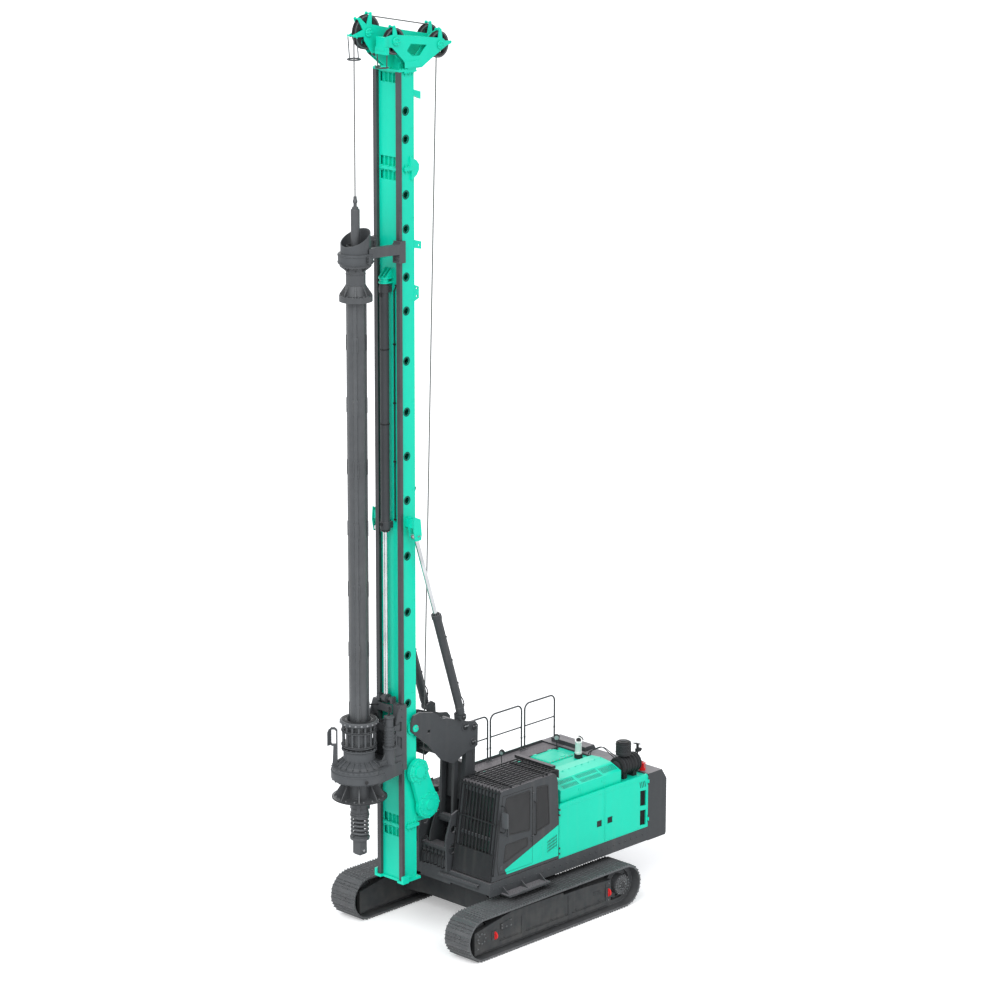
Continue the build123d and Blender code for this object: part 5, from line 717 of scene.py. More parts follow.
def lifted(tree, geometry, height):
    """A shape moved up by a height."""
    up = node(tree, "ShaderNodeCombineXYZ", {2: height}).outputs[0]
    return node(tree, "Transform", {"Geometry": geometry, "Translation": up}).outputs[0]


def joined(tree, *shapes):
    """Several shapes as one."""
    join = tree.nodes.new("GeometryNodeJoinGeometry")
    for shape in shapes:
        tree.links.new(shape, join.inputs[0])
    return join.outputs[0]


def closed_tree(tree, ins, outs, geometry):
    """Ends a tree in real geometry with its finish."""
    real = node(tree, "RealizeInstances", {0: geometry})
    dressed = node(tree, "SetMaterial", {"Geometry": real, "Material": ins["Finish"]})
    tree.links.new(dressed.outputs[0], outs[0])
    return tree


def standing_tree(name, sizes, shape):
    """A tree that stands a shape on each point, turned to the point's facing and spin."""
    tree, ins, outs = new_tree(name, sizes)
    facing = node(tree, "InputNamedAttribute", {"Name": "facing"}, data_type="FLOAT_VECTOR")
    spin = node(tree, "InputNamedAttribute", {"Name": "spin"}, data_type="FLOAT")
    aim = node(tree, "FunctionNodeAlignRotationToVector", {"Vector": facing}, axis="Z")
    about = node(tree, "FunctionNodeAxisAngleToRotation", {"Axis": (0.0, 0.0, 1.0), "Angle": spin})
    turn = node(tree, "FunctionNodeRotateRotation", {"Rotation": aim, "Rotate By": about},
                rotation_space="LOCAL")
    stood = node(tree, "InstanceOnPoints", {"Points": ins[0], "Instance": shape(tree, ins), "Rotation": turn})
    return closed_tree(tree, ins, outs, stood)


def bolt_shape(tree, ins):
    """A washer, a hexagon head and its chamfer."""
    across, tall = ins["Across"], ins["Height"]
    radius = times(tree, across, 0.577)
    washer_t = times(tree, tall, 0.22)
    washer = node(tree, "MeshCylinder", {"Vertices": 10, "Radius": times(tree, across, 0.75),
                                         "Depth": washer_t})
    head_t = times(tree, tall, 0.85)
    head = node(tree, "MeshCylinder", {"Vertices": 6, "Radius": radius, "Depth": head_t})
    cap_t = times(tree, tall, 0.15)
    cap = node(tree, "MeshCone", {"Vertices": 6, "Radius Bottom": radius, "Depth": cap_t,
                                  "Radius Top": times(tree, across, 0.46)})
    return joined(tree, lifted(tree, washer, times(tree, washer_t, 0.5)),
                  lifted(tree, head, times(tree, head_t, 0.5)), lifted(tree, cap, head_t))


def sized(tree, ins):
    """A shape's length, width and height as one vector."""
    return node(tree, "ShaderNodeCombineXYZ",
                {0: ins["Length"], 1: ins["Width"], 2: ins["Height"]}).outputs[0]


def lozenge_shape(tree, ins):
    """A long low diamond, as rolled into tread plate."""
    bump = node(tree, "MeshCone", {"Vertices": 4, "Radius Bottom": 1.0, "Radius Top": 0.55, "Depth": 1.0})
    return node(tree, "Transform", {"Geometry": bump, "Scale": sized(tree, ins)}).outputs[0]


def slat_shape(tree, ins):
    """A flat bar, long along its own X."""
    return node(tree, "MeshCube", {"Size": sized(tree, ins)}).outputs[0]


BOLTS = standing_tree("bolts_on_points", {"Across": 0.030, "Height": 0.018}, bolt_shape)
TREADS = standing_tree("tread_lozenges", {"Length": 0.016, "Width": 0.006, "Height": 0.003}, lozenge_shape)
SLATS = standing_tree("slats_on_points", {"Length": 0.1, "Width": 0.01, "Height": 0.004}, slat_shape)


def frozen(obj):
    """A new mesh of what an object's modifiers make."""
    return bpy.data.meshes.new_from_object(obj.evaluated_get(bpy.context.evaluated_depsgraph_get()))


def grown(name, base, tree, values, body, finish):
    """Runs a tree on a base mesh once, and keeps the result as a plain mesh on its body."""
    obj = placed(name, base)
    grower = obj.modifiers.new("grow", "NODES")
    grower.node_group = tree
    given = dict(values, Finish=finish)
    for item in tree.interface.items_tree:
        if item.in_out == "INPUT" and item.name in given:
            grower[item.identifier] = given[item.name]
    mesh = frozen(obj)
    mesh.name = name
    obj.modifiers.remove(grower)
    obj.data = mesh
    return hang(obj, body, finish)


def stand(name, spots, tree, values, body, finish):
    """Stands a tree's shape on spots of (place in mm, facing, spin)."""
    base = bpy.data.meshes.new(name)
    base.from_pydata([Vector(place) * MM for place, _, _ in spots], [], [])
    base.attributes.new("facing", "FLOAT_VECTOR", "POINT")
    base.attributes.new("spin", "FLOAT", "POINT")
    ways, spins = [value for _, way, _ in spots for value in way], [float(spin) for _, _, spin in spots]
    base.attributes["facing"].data.foreach_set("vector", ways)
    base.attributes["spin"].data.foreach_set("value", spins)
    return grown(name, base, tree, values, body, finish)


def bolts(name, spots, across, height, body, finish):
    """Stands bolts of a width across their flats and a height, in millimetres."""
    return stand(name, spots, BOLTS, {"Across": across * MM, "Height": height * MM}, body, finish)


def circle(at, axis, radius, count, way=None, first=0.0):
    """Spots on a circle about an axis; they face along it unless a way is given."""
    turn = facing_turn(AXES[axis])
    spots = []
    for i in range(count):
        angle = math.radians(first + 360.0 * i / count)
        out = turn @ Vector((math.cos(angle), math.sin(angle), 0))
        face = out if way == "OUT" else Vector(way) if way else AXES[axis]
        spots.append((Vector(at) + out * radius, face, angle))
    return spots


def row(start, end, count, way, spin=0.0):
    """Spots in a straight row that face one way."""
    start, end = Vector(start), Vector(end)
    return [(start.lerp(end, i / max(1, count - 1)), Vector(way), spin) for i in range(count)]


print("trees", BOLTS.name, TREADS.name, SLATS.name)

# %% [markdown]
# Rigid hydraulic lines follow a route of straight runs. In the workshop a pipe is bent round
# a former; in the tree a fillet does the same to a poly line, a circle is swept along it, and
# clamps are set at even steps. Only the corners of the route are given.

# %% Pipe tree
def pipe_tree():
    """Sweeps a round pipe along edges, with rounded corners and clamps."""
    tree, ins, outs = new_tree("pipes_along_routes",
                               {"Radius": 0.012, "Bend": 0.06, "Clamp Step": 0.8, "Clamp Size": 0.02})
    line = node(tree, "MeshToCurve", {0: ins[0]}).outputs[0]
    bent = node(tree, "FilletCurve", {"Curve": line, "Count": 5, "Radius": ins["Bend"], "Limit Radius": True},
                mode="POLY")
    ring = node(tree, "CurvePrimitiveCircle", {"Resolution": 10, "Radius": ins["Radius"]})
    pipe = node(tree, "CurveToMesh", {"Curve": bent, "Profile Curve": ring, "Fill Caps": True}).outputs[0]
    steps = node(tree, "CurveToPoints", {"Curve": bent, "Length": ins["Clamp Step"]}, mode="LENGTH")
    block = node(tree, "ShaderNodeCombineXYZ",
                 {0: ins["Clamp Size"], 1: ins["Clamp Size"], 2: times(tree, ins["Clamp Size"], 0.8)})
    clamp = node(tree, "MeshCube", {"Size": block})
    clamps = node(tree, "InstanceOnPoints",
                  {"Points": steps, "Instance": clamp, "Rotation": steps.outputs["Rotation"]})
    smooth = node(tree, "SetShadeSmooth", {0: pipe}).outputs[0]
    return closed_tree(tree, ins, outs, joined(tree, smooth, clamps.outputs[0]))


PIPES = pipe_tree()


def pipes(name, routes, radius, body, finish, bend=60.0, step=800.0, clamp=0.0):
    """Rigid pipes along routes of corners in millimetres."""
    points, edges = [], []
    for route in routes:
        first = len(points)
        points += [Vector(corner) * MM for corner in route]
        edges += [(first + i, first + i + 1) for i in range(len(route) - 1)]
    base = bpy.data.meshes.new(name)
    base.from_pydata(points, edges, [])
    values = {"Radius": radius * MM, "Bend": bend * MM, "Clamp Step": step * MM,
              "Clamp Size": (clamp or radius * 3.2) * MM}
    return grown(name, base, PIPES, values, body, finish)


print("pipe tree", PIPES.name)

# %% [markdown]
# Each track is a closed chain of fifty steel shoes, and each shoe is held to its two chain
# links by four bolts that sit between the ribs. The bolts follow the same loop as the shoes:
# straight below, round the sprocket, straight back on top and round the idler.

# %% Track shoe bolts
TRACK_GAUGE, WHEEL_BASE, TRACK_R, SHOES = 3100.0, 3940.0, 440.0, 50
RIB_HEIGHT = 26.0
PLATE_R = TRACK_R - RIB_HEIGHT
CHAIN_R = PLATE_R - 66.5
SHOE_PITCH = (2 * WHEEL_BASE + 2 * math.pi * CHAIN_R) / SHOES
BEND_PLATE_R = math.sqrt(TRACK_R ** 2 - (0.36 * SHOE_PITCH + 12.0) ** 2) - RIB_HEIGHT


def shoe_spot(run, ahead, lift, y):
    """A point and its outward way on the shoe whose middle is that far along the loop."""
    half, bend = WHEEL_BASE / 2, math.pi * CHAIN_R
    if run < WHEEL_BASE:
        x, turn = half - run, 0.0
    elif run < WHEEL_BASE + bend:
        x, turn = -half, (run - WHEEL_BASE) / CHAIN_R
    elif run < 2 * WHEEL_BASE + bend:
        x, turn = -half + run - WHEEL_BASE - bend, math.pi
    else:
        x, turn = half, math.pi + (run - 2 * WHEEL_BASE - bend) / CHAIN_R
    out = Vector((-math.sin(turn), 0, math.cos(turn)))
    reach = (PLATE_R if turn in (0.0, math.pi) else BEND_PLATE_R) + lift
    return Vector((x - math.cos(turn) * ahead, y, TRACK_R - math.sin(turn) * ahead)) + out * reach, out


for side, name in ((1, "left"), (-1, "right")):
    spots = []
    for i in range(SHOES):
        for ahead in (-36.0, 36.0):
            for across in (-72.0, 72.0):
                place, way = shoe_spot((i + 0.5) * SHOE_PITCH, ahead, -1.0, side * TRACK_GAUGE / 2 + across)
                spots.append((place, way, 0.0))
    bolts(f"track_shoe_bolts_{name}", spots, 30, 14, "root", TRACK)
print("shoe pitch", round(SHOE_PITCH, 1), "mm, bolts", SHOES * 8)

# %% [markdown]
# Outside, a track shows the gear housing of its sprocket, the cap of its idler and the sunk
# panels of its frame, with grease nipples, a tensioner cover and foot treads. Turned covers
# come from the lathe; bolt circles are spots on a circle.

# %% Track frame hardware
for side, name in ((1, "left"), (-1, "right")):
    face = side * (TRACK_GAUGE / 2 + 235)
    axis = (0, side, 0)
    caps = Bench()
    caps.lathe([(0, 20), (60, 20), (72, 14), (120, 14), (128, 4), (150, 0), (150, -18), (0, -18)],
               (1970, face, TRACK_R), axis, 40)
    caps.lathe([(0, 16), (36, 16), (48, 6), (96, 4), (110, 0), (112, -3), (0, -3)],
               (-1970, side * (TRACK_GAUGE / 2 + 225), TRACK_R), axis, 36)
    caps.ring([(168, 0), (192, 0), (198, -6), (198, -14), (168, -14)],
              (-1970, side * (TRACK_GAUGE / 2 + 213), TRACK_R), axis, 48)
    caps.plate([(1150, 640), (1440, 590), (1440, 480), (1150, 480)], "Y", face - side * 12, face + side * 8)
    for x in (-1290, -640, 60, 1340):
        caps.lathe([(0, 22), (7, 22), (10, 12), (16, 8), (16, 0), (0, 0)], (x, face - side * 11, 300), axis,
                   10)
    for x0, x1 in ((-1480, -520), (-420, 760), (870, 1480)):
        caps.block((x0 + 20, x1 - 20), (face - side * 10, face - side * 2), (262, 276))
    for z in (452, 500):
        for x in (-1300, -1180):
            caps.block((x - 42, x + 42), (face - side * 11, face - side * 3), (z - 8, z + 8))
            caps.block((x + 2700 - 42, x + 2700 + 42), (face - side * 11, face - side * 3), (z - 68, z - 52))
    caps.finish(f"track_covers_{name}", "root", FRAME_GREY, 3.0)
    spots = circle((1970, face + side * 14, TRACK_R), "Y", 98, 8, way=axis)
    spots += circle((-1970, side * (TRACK_GAUGE / 2 + 213), TRACK_R), "Y", 182, 18, way=axis)
    spots += circle((-1970, side * (TRACK_GAUGE / 2 + 229), TRACK_R), "Y", 76, 8, way=axis)
    spots += [((x, face + side * 8, z), axis, 0.0)
              for x, z in ((1175, 610), (1415, 565), (1415, 505), (1175, 505), (1295, 505))]
    for x, top in ((-1560, 590), (2060, 540)):
        spots += row((x, face, 250), (x, face, top), 3, axis)
    bolts(f"track_cover_bolts_{name}", spots, 26, 15, "root", TRACK)
print("track covers at y", round(face))

# %% [markdown]
# Between undercarriage and house sits the slewing ring. Its two races have flanges with a
# closely spaced bolt circle, the lower one on the undercarriage and the upper one below the
# deck, and a rubber lip closes the gap between them.

# %% Slewing ring
Bench().ring(rectangle((638, 706), (0, 26)), (0, 0, 881), "Z", 72).finish(
    "slewing_ring_lower_flange", "root", CHARCOAL, 3.0)
bolts("slewing_ring_lower_bolts", circle((0, 0, 907), "Z", 674, 48), 32, 20, "root", ZINC)
Bench().ring(rectangle((638, 700), (0, 24)), (0, 0, 975), "Z", 72).ring(
    [(641, -30), (652, -26), (652, -4), (641, 0)], (0, 0, 975), "Z", 72).finish(
    "slewing_ring_upper_flange", "upper", SOOT, 3.0)
bolts("slewing_ring_upper_bolts", circle((0, 0, 976), "Z", 674, 48, way=(0, 0, -1)), 30, 18, "upper", ZINC)
print("two flanges on a bolt circle of", 2 * 674, "mm")

# %% [markdown]
# Where people walk, the sheet is rolled tread plate: short lozenges that point one way and
# then the other. The steps, the walkways beside the handrails and the front deck have it.

# %% Tread plate
def lozenges(x, y, z, pitch=46.0):
    """Spots that cover a flat rectangle, every second one turned by ninety degrees."""
    spots = []
    across, deep = int((x[1] - x[0]) / pitch), int((y[1] - y[0]) / pitch)
    for i in range(across):
        for j in range(deep):
            place = (x[0] + (i + 0.5) * (x[1] - x[0]) / across, y[0] + (j + 0.5) * (y[1] - y[0]) / deep, z)
            spots.append((place, (0, 0, 1), math.radians(45 if (i + j) % 2 else 135)))
    return spots


treads = lozenges((-20, 1090), (1462, 1672), 1021)
treads += lozenges((1402, 1454), (140, 1155), 1191, 26.0)
treads += lozenges((-2980, -560), (-1330, -960), 2346)
treads += lozenges((60, 680), (-1400, -1000), 2346)
treads += lozenges((720, 1380), (-1430, -560), 1281, 60.0)
stand("tread_lozenges", treads, TREADS, {"Length": 0.017, "Width": 0.006, "Height": 0.004}, "upper", CHARCOAL)
steps = Bench()
steps.block((-32, 1102), (1676, 1684), (985, 1032))
steps.block((1456, 1464), (120, 1175), (1140, 1196))
for x in (120, 535, 950):
    steps.block((x - 130, x + 130), (1684, 1690), (992, 1024))
steps.finish("step_edges", "upper", CHARCOAL)
print("tread lozenges", len(treads))

# %% [markdown]
# The linkage is held by big pins. Each pin ends in a turned cap with a keeper plate and two
# bolts, and in the middle sits the grease nipple. One helper makes the cap of every pivot;
# the caps of one body are gathered in one piece.

# %% Pin caps
def pin_cap(bench, at, side, y, radius):
    """A turned cap with a keeper plate at the end of a pin along Y."""
    way = (0, side, 0)
    bench.lathe([(0, 12), (radius * 0.18, 12), (radius * 0.22, 8), (radius * 0.82, 8), (radius, 3),
                 (radius, -4), (0, -4)], (at[0], side * y, at[1]), way, 32)
    bench.lathe([(0, 24), (5, 24), (8, 12), (8, 6), (0, 6)], (at[0], side * y, at[1]), way, 10)
    bench.block((at[0] - radius * 0.75, at[0] + radius * 0.75), (side * (y + 4), side * (y + 16)),
                (at[1] + radius * 0.35, at[1] + radius * 0.62))
    return [((at[0] + dx, side * (y + 16), at[1] + radius * 0.485), way, 0.3)
            for dx in (-radius * 0.5, radius * 0.5)]


PINS = {  # body: pivots as ((x, z), y of the end face, radius)
    "upper": [((844, 1811), 410, 88), ((1060, 2160), 222, 50), ((-250, 1590), 402, 50)],
    "carrier": [((784, 3711), 410, 52), ((1000, 4060), 410, 52), ((973, 4057), 406, 60),
                ((757, 4005), 406, 60), ((1170, 4330), 542, 48)],
    "mast": [((2310, 4350), 408, 66), ((2380, 8105), 560, 46)],
    "boom": [((555, 2950), 333, 46)],
}
for body, pivots in PINS.items():
    caps, spots = Bench(), []
    for at, y, radius in pivots:
        for side in (1, -1):
            spots += pin_cap(caps, at, side, y, radius)
    caps.finish(f"pin_caps_{body}", body, GREEN if body == "mast" else SOOT)
    bolts(f"pin_cap_bolts_{body}", spots, 20, 12, body, ZINC)
print("pin caps on", ", ".join(PINS))

# %% [markdown]
# Every cylinder has a steel oil line that runs along its barrel to the gland end, a wiper
# ring where the rod comes out, and two threaded ports. They turn with the barrel, so they
# ride on the barrel's body.

# %% Cylinder fittings
def cylinder_fittings(name, body, foot, eye, y, barrel_r, rod_r, share):
    """Oil line, ports, gland nut and wiper of two cylinders between (x, z) points."""
    run = Vector((eye[0] - foot[0], 0, eye[1] - foot[1]))
    length = run.length
    way = run.normalized()
    side_way = Vector((way.z, 0, -way.x))
    ports = (190.0, length * share - 60.0)
    rings, seals, routes, spots = Bench(), Bench(), [], []
    for yc in (y, -y):
        base = Vector((foot[0], yc, foot[1]))
        end = base + way * (length * share)
        rings.ring([(rod_r + 1, 0), (barrel_r - 4, 0), (barrel_r - 4, 14), (rod_r + 12, 22), (rod_r + 1, 22)],
                   end, way, 40)
        seals.ring([(rod_r + 0.6, 20), (rod_r + 9, 20), (rod_r + 5, 34), (rod_r + 0.6, 36)], end, way, 36)
        for at in ports:
            port = base + way * at - side_way * (barrel_r + 2)
            rings.block((port.x - 24, port.x + 24), (port.y - 24, port.y + 24), (port.z - 24, port.z + 24))
            rings.lathe(rectangle((0, 15), (34, 0)), port, -side_way, 6)
        low, high = (base + way * at - side_way * (barrel_r + 30) for at in ports)
        routes.append([low + way * 10, low - side_way * 24 + way * 10, low - side_way * 24 + way * 110,
                       low + way * 200 + side_way * 4, high - way * 120 + side_way * 4,
                       high - side_way * 14 - way * 70, high - side_way * 14, high + side_way * 4])
        for turn in (math.pi * k / 4 for k in range(8)):
            out = AXES["Y"] * math.cos(turn) + side_way * math.sin(turn)
            spots.append((end + way * 14 + out * (barrel_r - 18), way, turn))
    rings.finish(f"{name}_glands_and_ports", body, SOOT)
    seals.finish(f"{name}_wiper_rings", body, RUBBER, 0.0)
    pipes(f"{name}_oil_lines", routes, 11.0, body, SOOT, bend=30.0, step=420.0, clamp=34.0)
    bolts(f"{name}_gland_bolts", spots, 15, 9, body, ZINC)
    print(name, round(length), "mm between its eyes")


cylinder_fittings("luff_cylinder", "luff_barrels", (-250, 1590), (555, 2950), 255.0, 80.0, 45.0, 0.62)
cylinder_fittings("mast_cylinder", "mast_barrels", (1170, 4330), (2380, 8105), 482.0, 78.0, 42.0, 0.575)

# %% [markdown]
# The mast is three box sections bolted end to end. At each joint a flange stands out all
# round, with bolt heads above and nuts below. The round holes in the sides have a rolled
# rim, the rear corners a weld bead, and steel pipes climb the back to the crowd cylinder.

# %% Mast joints, rims and pipes
spots = []
for z, way in ((2415.15, 1), (2414.85, -1), (14930.15, 1), (14929.85, -1), (16698.0, -1)):
    level = z + way * 30
    for side in (1, -1):
        spots += row((2262, side * 322, level), (2430, side * 322, level), 4, (0, 0, way))
    spots += row((2189, -280, level), (2189, 280, level), 6, (0, 0, way))
    spots += row((2553, -160, level), (2553, 160, level), 3, (0, 0, way)) if z < 15000 else []
bolts("mast_joint_bolts", spots, 34, 22, "mast", GREEN)
MAST_HOLES = (4845.0, 5781.0, 6620.0, 7700.0, 8763.0, 9600.0, 10436.0, 11391.0, 12323.0, 12950.0, 13836.0,
              14460.0, 15470.0, 15979.0)
# Inside each rolled rim a ring of darker green is painted shade, where the hole goes deep.
rims, shades = Bench(), Bench()
for z in MAST_HOLES:
    for side in (1, -1):
        rims.ring(rectangle((86, 91), (0, 1.2)), (2413, side * 299.5, z), (0, side, 0), 28)
        shades.ring(rectangle((55, 86), (0.1, 0.6)), (2413, side * 300, z), (0, side, 0), 36)
rims.finish("mast_hole_rims", "mast", GREEN, 0.0)
shades.finish("mast_hole_painted_shade", "mast", HOLE_SHADE_GREEN, 0.0)
beads = Bench()
for side in (1, -1):
    for z0, z1 in ((1375, 2380), (2450, 4180), (4520, 14895), (14965, 16660)):
        beads.lathe([(0, 0), (7, 6), (7, z1 - z0 - 6), (0, z1 - z0)], (2212, side * 300, z0), "Z", 8)
    for z in MAST_HOLES[::2]:
        beads.block((2225, 2300), (side * 300, side * 304), (z + 180, z + 188))
beads.finish("mast_weld_beads", "mast", GREEN, 0.0)
routes = [[(2176, y, 3700), (2176, y, 12600)] for y in (-150, -110, -70, 110, 150)]
pipes("mast_rear_pipes", routes, 13.0, "mast", SOOT, step=890.0, clamp=36.0)
clips = Bench()
for z in range(3720, 12601, 888):
    clips.block((2192, 2212), (-178, -42), (z - 22, z + 22))
    clips.block((2192, 2212), (86, 178), (z - 22, z + 22))
clips.finish("mast_pipe_rails", "mast", GREEN)
front = [[(2578, y, 4950 if y < 0 else 8400), (2578, y, 12700), (2578, y * 1.25, 12760),
          (2560, y * 1.25, 12800)] for y in (-150, 150)]
pipes("crowd_oil_lines", front, 12.0, "mast", SOOT, step=900.0, clamp=38.0)
print("mast bolts", len(spots))

# %% [markdown]
# The crowd cylinder pushes the rotary drive down. Its lower end is a bolted gland with a
# wiper, its straps are bolted to the mast, and the rod below is hard chrome.

# %% Crowd cylinder fittings
gland = Bench()
gland.ring([(47, 0), (86, 0), (86, -26), (70, -34), (47, -34)], (2680, 0, 8212), "Z", 40)
for z in (10200, 11600):
    gland.ring([(84, 0), (92, 3), (92, 22), (84, 25)], (2680, 0, z), "Z", 40)
gland.block((2752, 2790), (-28, 28), (8290, 8350)).block((2752, 2790), (-28, 28), (12600, 12660))
gland.finish("crowd_gland", "mast", SOOT)
Bench().ring([(46.6, -34), (60, -34), (54, -50), (46.6, -52)], (2680, 0, 8212), "Z", 36).finish(
    "crowd_wiper_ring", "mast", RUBBER, 0.0)
spots = circle((2680, 0, 8186), "Z", 76, 8, way=(0, 0, -1))
for z in (8232, 12669):
    for y in (-56, 56):
        spots += [((2640, y, z + dz), (0, y, 0), 0.0) for dz in (30, 90)]
bolts("crowd_bolts", spots, 20, 13, "mast", ZINC)
print("crowd bolts", len(spots))

# %% [markdown]
# The drill string ends in a heavy damping spring. In the frame it is a stack of rings. Here it
# is a real helix: a spiral swept with a round wire, which also winds the rope on the drum.

# %% Spring tree
def spiral_tree():
    """A round wire wound about Z from given sizes."""
    tree, ins, outs = new_tree("wound_wire", {"Turns": 5.0, "Radius": 0.1, "Wire": 0.01, "Length": 0.3})
    wound = node(tree, "CurveSpiral", {"Resolution": 28, "Rotations": ins["Turns"],
                                       "Start Radius": ins["Radius"], "End Radius": ins["Radius"],
                                       "Height": ins["Length"]})
    ring = node(tree, "CurvePrimitiveCircle", {"Resolution": 12, "Radius": ins["Wire"]})
    wire = node(tree, "CurveToMesh", {"Curve": wound, "Profile Curve": ring, "Fill Caps": True}).outputs[0]
    smooth = node(tree, "SetShadeSmooth", {0: wire}).outputs[0]
    spots = node(tree, "InstanceOnPoints", {"Points": ins[0], "Instance": smooth})
    way = node(tree, "InputNamedAttribute", {"Name": "facing"}, data_type="FLOAT_VECTOR")
    aim = node(tree, "FunctionNodeAlignRotationToVector", {"Vector": way}, axis="Z")
    tree.links.new(aim.outputs[0], spots.inputs["Rotation"])
    return closed_tree(tree, ins, outs, spots)


WOUND = spiral_tree()


def wound(name, at, axis, turns, radius, wire, length, body, finish):
    """A wound wire that starts at a point and runs along an axis, sizes in millimetres."""
    values = {"Turns": float(turns), "Radius": radius * MM, "Wire": wire * MM, "Length": length * MM}
    return stand(name, [(at, AXES[axis], 0.0)], WOUND, values, body, finish)


print("spring tree", WOUND.name)

# %% [markdown]
# Below the spring is a square stub that carries the tool with a pin, and at the top a swivel
# for the hoist rope. The bar between is turned on the lathe with the sizes of the frame's
# solid, and it replaces that solid together with the spring.

# %% Inner drill bar
DRILL_X, STUB = 3390.0, 98.0
bar = Bench()
bar.lathe([(0, 2355), (182, 2355), (182, 2400), (150, 2418), (128, 2440), (82, 2440), (82, 14287),
           (72, 14297), (60, 14297), (58, 14335), (32, 14345), (32, 14400), (44, 14415), (44, 14450),
           (34, 14465), (30, 14525), (0, 14525)], (DRILL_X, 0, 0), "Z", 48)
bar.ring([(84, 2800), (150, 2800), (182, 2818), (182, 2839), (166, 2845), (166, 2918.5), (84, 2918.5)],
         (DRILL_X, 0, 0), "Z", 48)
square = rectangle((DRILL_X - STUB, DRILL_X + STUB), (-STUB, STUB))
bar.plate(softened_outline(square, 12, steps=1), "Z", 2070, 2356)
bar.plate(rectangle((DRILL_X - 76, DRILL_X + 76), (-76, 76)), "Z", 2048, 2071)
for side in (1, -1):
    bar.ring(rectangle((20, 34), (0, 10)), (DRILL_X, side * 97, 2138), (0, side, 0), 20)
for level, low_r, high_r in ((2870, 172, 178), (2386, 183, 190)):
    bar.lathe([(low_r, 0), (high_r, 4), (high_r, 14), (low_r, 18)], (DRILL_X, 0, level), "Z", 40)
inner_bar = bar.finish("kelly_core_bar", "kelly_core", DRILL)
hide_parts("kelly_core")
SPRING_TURNS, WIRE_R = 5.1, 24.0
wound("kelly_spring", (DRILL_X, 0, 2418), "Z", SPRING_TURNS, 152.0, WIRE_R, 392.0, "kelly_core", DRILL)
pin = Bench()
pin.lathe([(0, -128), (26, -128), (26, -104), (18, -100), (18, 100), (18, 122), (12, 128), (0, 128)],
          (DRILL_X, 0, 2138), "Y", 20)
pin.ring(rectangle((3, 26), (0, 5)), (DRILL_X, 112, 2138), "Y", 16)
pin.finish("tool_pin", "kelly_core", ZINC, 1.5)
print("spring turns", SPRING_TURNS, "of", 2 * WIRE_R, "mm wire")

# %% [markdown]
# The outer bar turns with the drive through three long keys. Along the keys sit the short
# lock pockets that the picture shows as pairs of bright edges; they are thick cheeks on both
# sides of a key with a stop above. Weld beads ring the flanges.

# %% Outer drill bar
KEY_R, KEYS = 182, 3
POCKETS = (4860, 6020, 7180, 8340, 9500, 10660, 11820)
cheeks = Bench()
for k in range(KEYS):
    turn = math.radians(40 + 360 * k / KEYS)
    about_z = Matrix.Rotation(turn, 4, "Z")
    out, along = about_z @ AXES["X"], about_z @ AXES["Y"]
    for z in POCKETS:
        for side in (1, -1):
            middle = Vector((DRILL_X, 0, z)) + out * KEY_R + along * side * 42
            cheeks.cube(middle, (32, 18, 250), about_z)
        cheeks.cube(Vector((DRILL_X, 0, z + 140)) + out * KEY_R, (34, 96, 34), about_z)
for z, r in ((12612, 168), (12915, 180), (13112, 180), (2960, 168)):
    cheeks.ring([(r - 4, 0), (r + 6, 3), (r + 6, 9), (r - 4, 12)], (DRILL_X, 0, z), "Z", 40)
cheeks.finish("kelly_lock_cheeks", "kelly_bar", DRILL, 3.0)
spots = circle((DRILL_X, 0, 12726), "Z", 268, 16, first=11.0)
spots += circle((DRILL_X, 0, 13266), "Z", 262, 16, way=(0, 0, -1), first=11.0)
bolts("kelly_flange_bolts", spots, 30, 20, "kelly_bar", DRILL)
print("lock pockets", KEYS * len(POCKETS))

# %% [markdown]
# The rotary drive is a cast gear case with a bolted cover, two hydraulic motors, and round
# the drill axis the turning cage. Castings get their bolt circles, ribs and an oil window;
# the motors get their cooling ribs, port blocks and steel pipes to the manifold on the plate.

# %% Rotary drive
MOTOR_X, MOTOR_Y = 2945, 345
case = Bench()
case.ring([(500, 0), (536, 4), (536, 26), (500, 30)], (DRILL_X, 0, 3700), "Z", 72)
case.ring([(296, 0), (330, 0), (330, 22), (296, 30)], (DRILL_X, 0, 4120), "Z", 56)
for k in range(12):
    about_z = Matrix.Rotation(math.radians(-105 + 210 * k / 11), 4, "Z")
    case.cube(about_z @ Vector((360, 0, 0)) + Vector((DRILL_X, 0, 3872)), (170, 16, 60),
              about_z @ Matrix.Rotation(math.radians(38), 4, "Y"))
for side in (1, -1):
    for z in (4170, 4230, 4290, 4350, 4410, 4460):
        case.ring([(90, 0), (104, 3), (104, 13), (90, 16)], (MOTOR_X, side * MOTOR_Y, z), "Z", 32)
    case.lathe([(74, 0), (96, 0), (96, 22), (60, 44), (0, 44)], (MOTOR_X, side * MOTOR_Y, 4700), "Z", 28)
    case.block((2900, 2990), (side * 262, side * 240), (4540, 4680))
    case.block((2880, 2900), (side * 300, side * 390), (4540, 4660))
    case.block((2720, 2860), (side * 376, side * 392), (4420, 4520))
    case.plate([(2700, 3600), (2880, 3600), (2880, 3700), (2790, 3780), (2700, 3780)], "Y", side * 391,
               side * 402)
    case.block((2880, 3220), (side * 391, side * 399), (3640, 3850))
    case.block((3010, 3050), (side * 398, side * 412), (3600, 3890))
case.block((2714, 2790), (-150, 150), (4330, 4460))
case.block((2714, 2750), (-190, 190), (4700, 4850))
case.plate([(3760, 4200), (3860, 4200), (3860, 4460), (3820, 4520), (3760, 4520)], "Y", -370, -352)
case.finish("drive_case_castings", "carriage", DRIVE_GREY, 4.0)
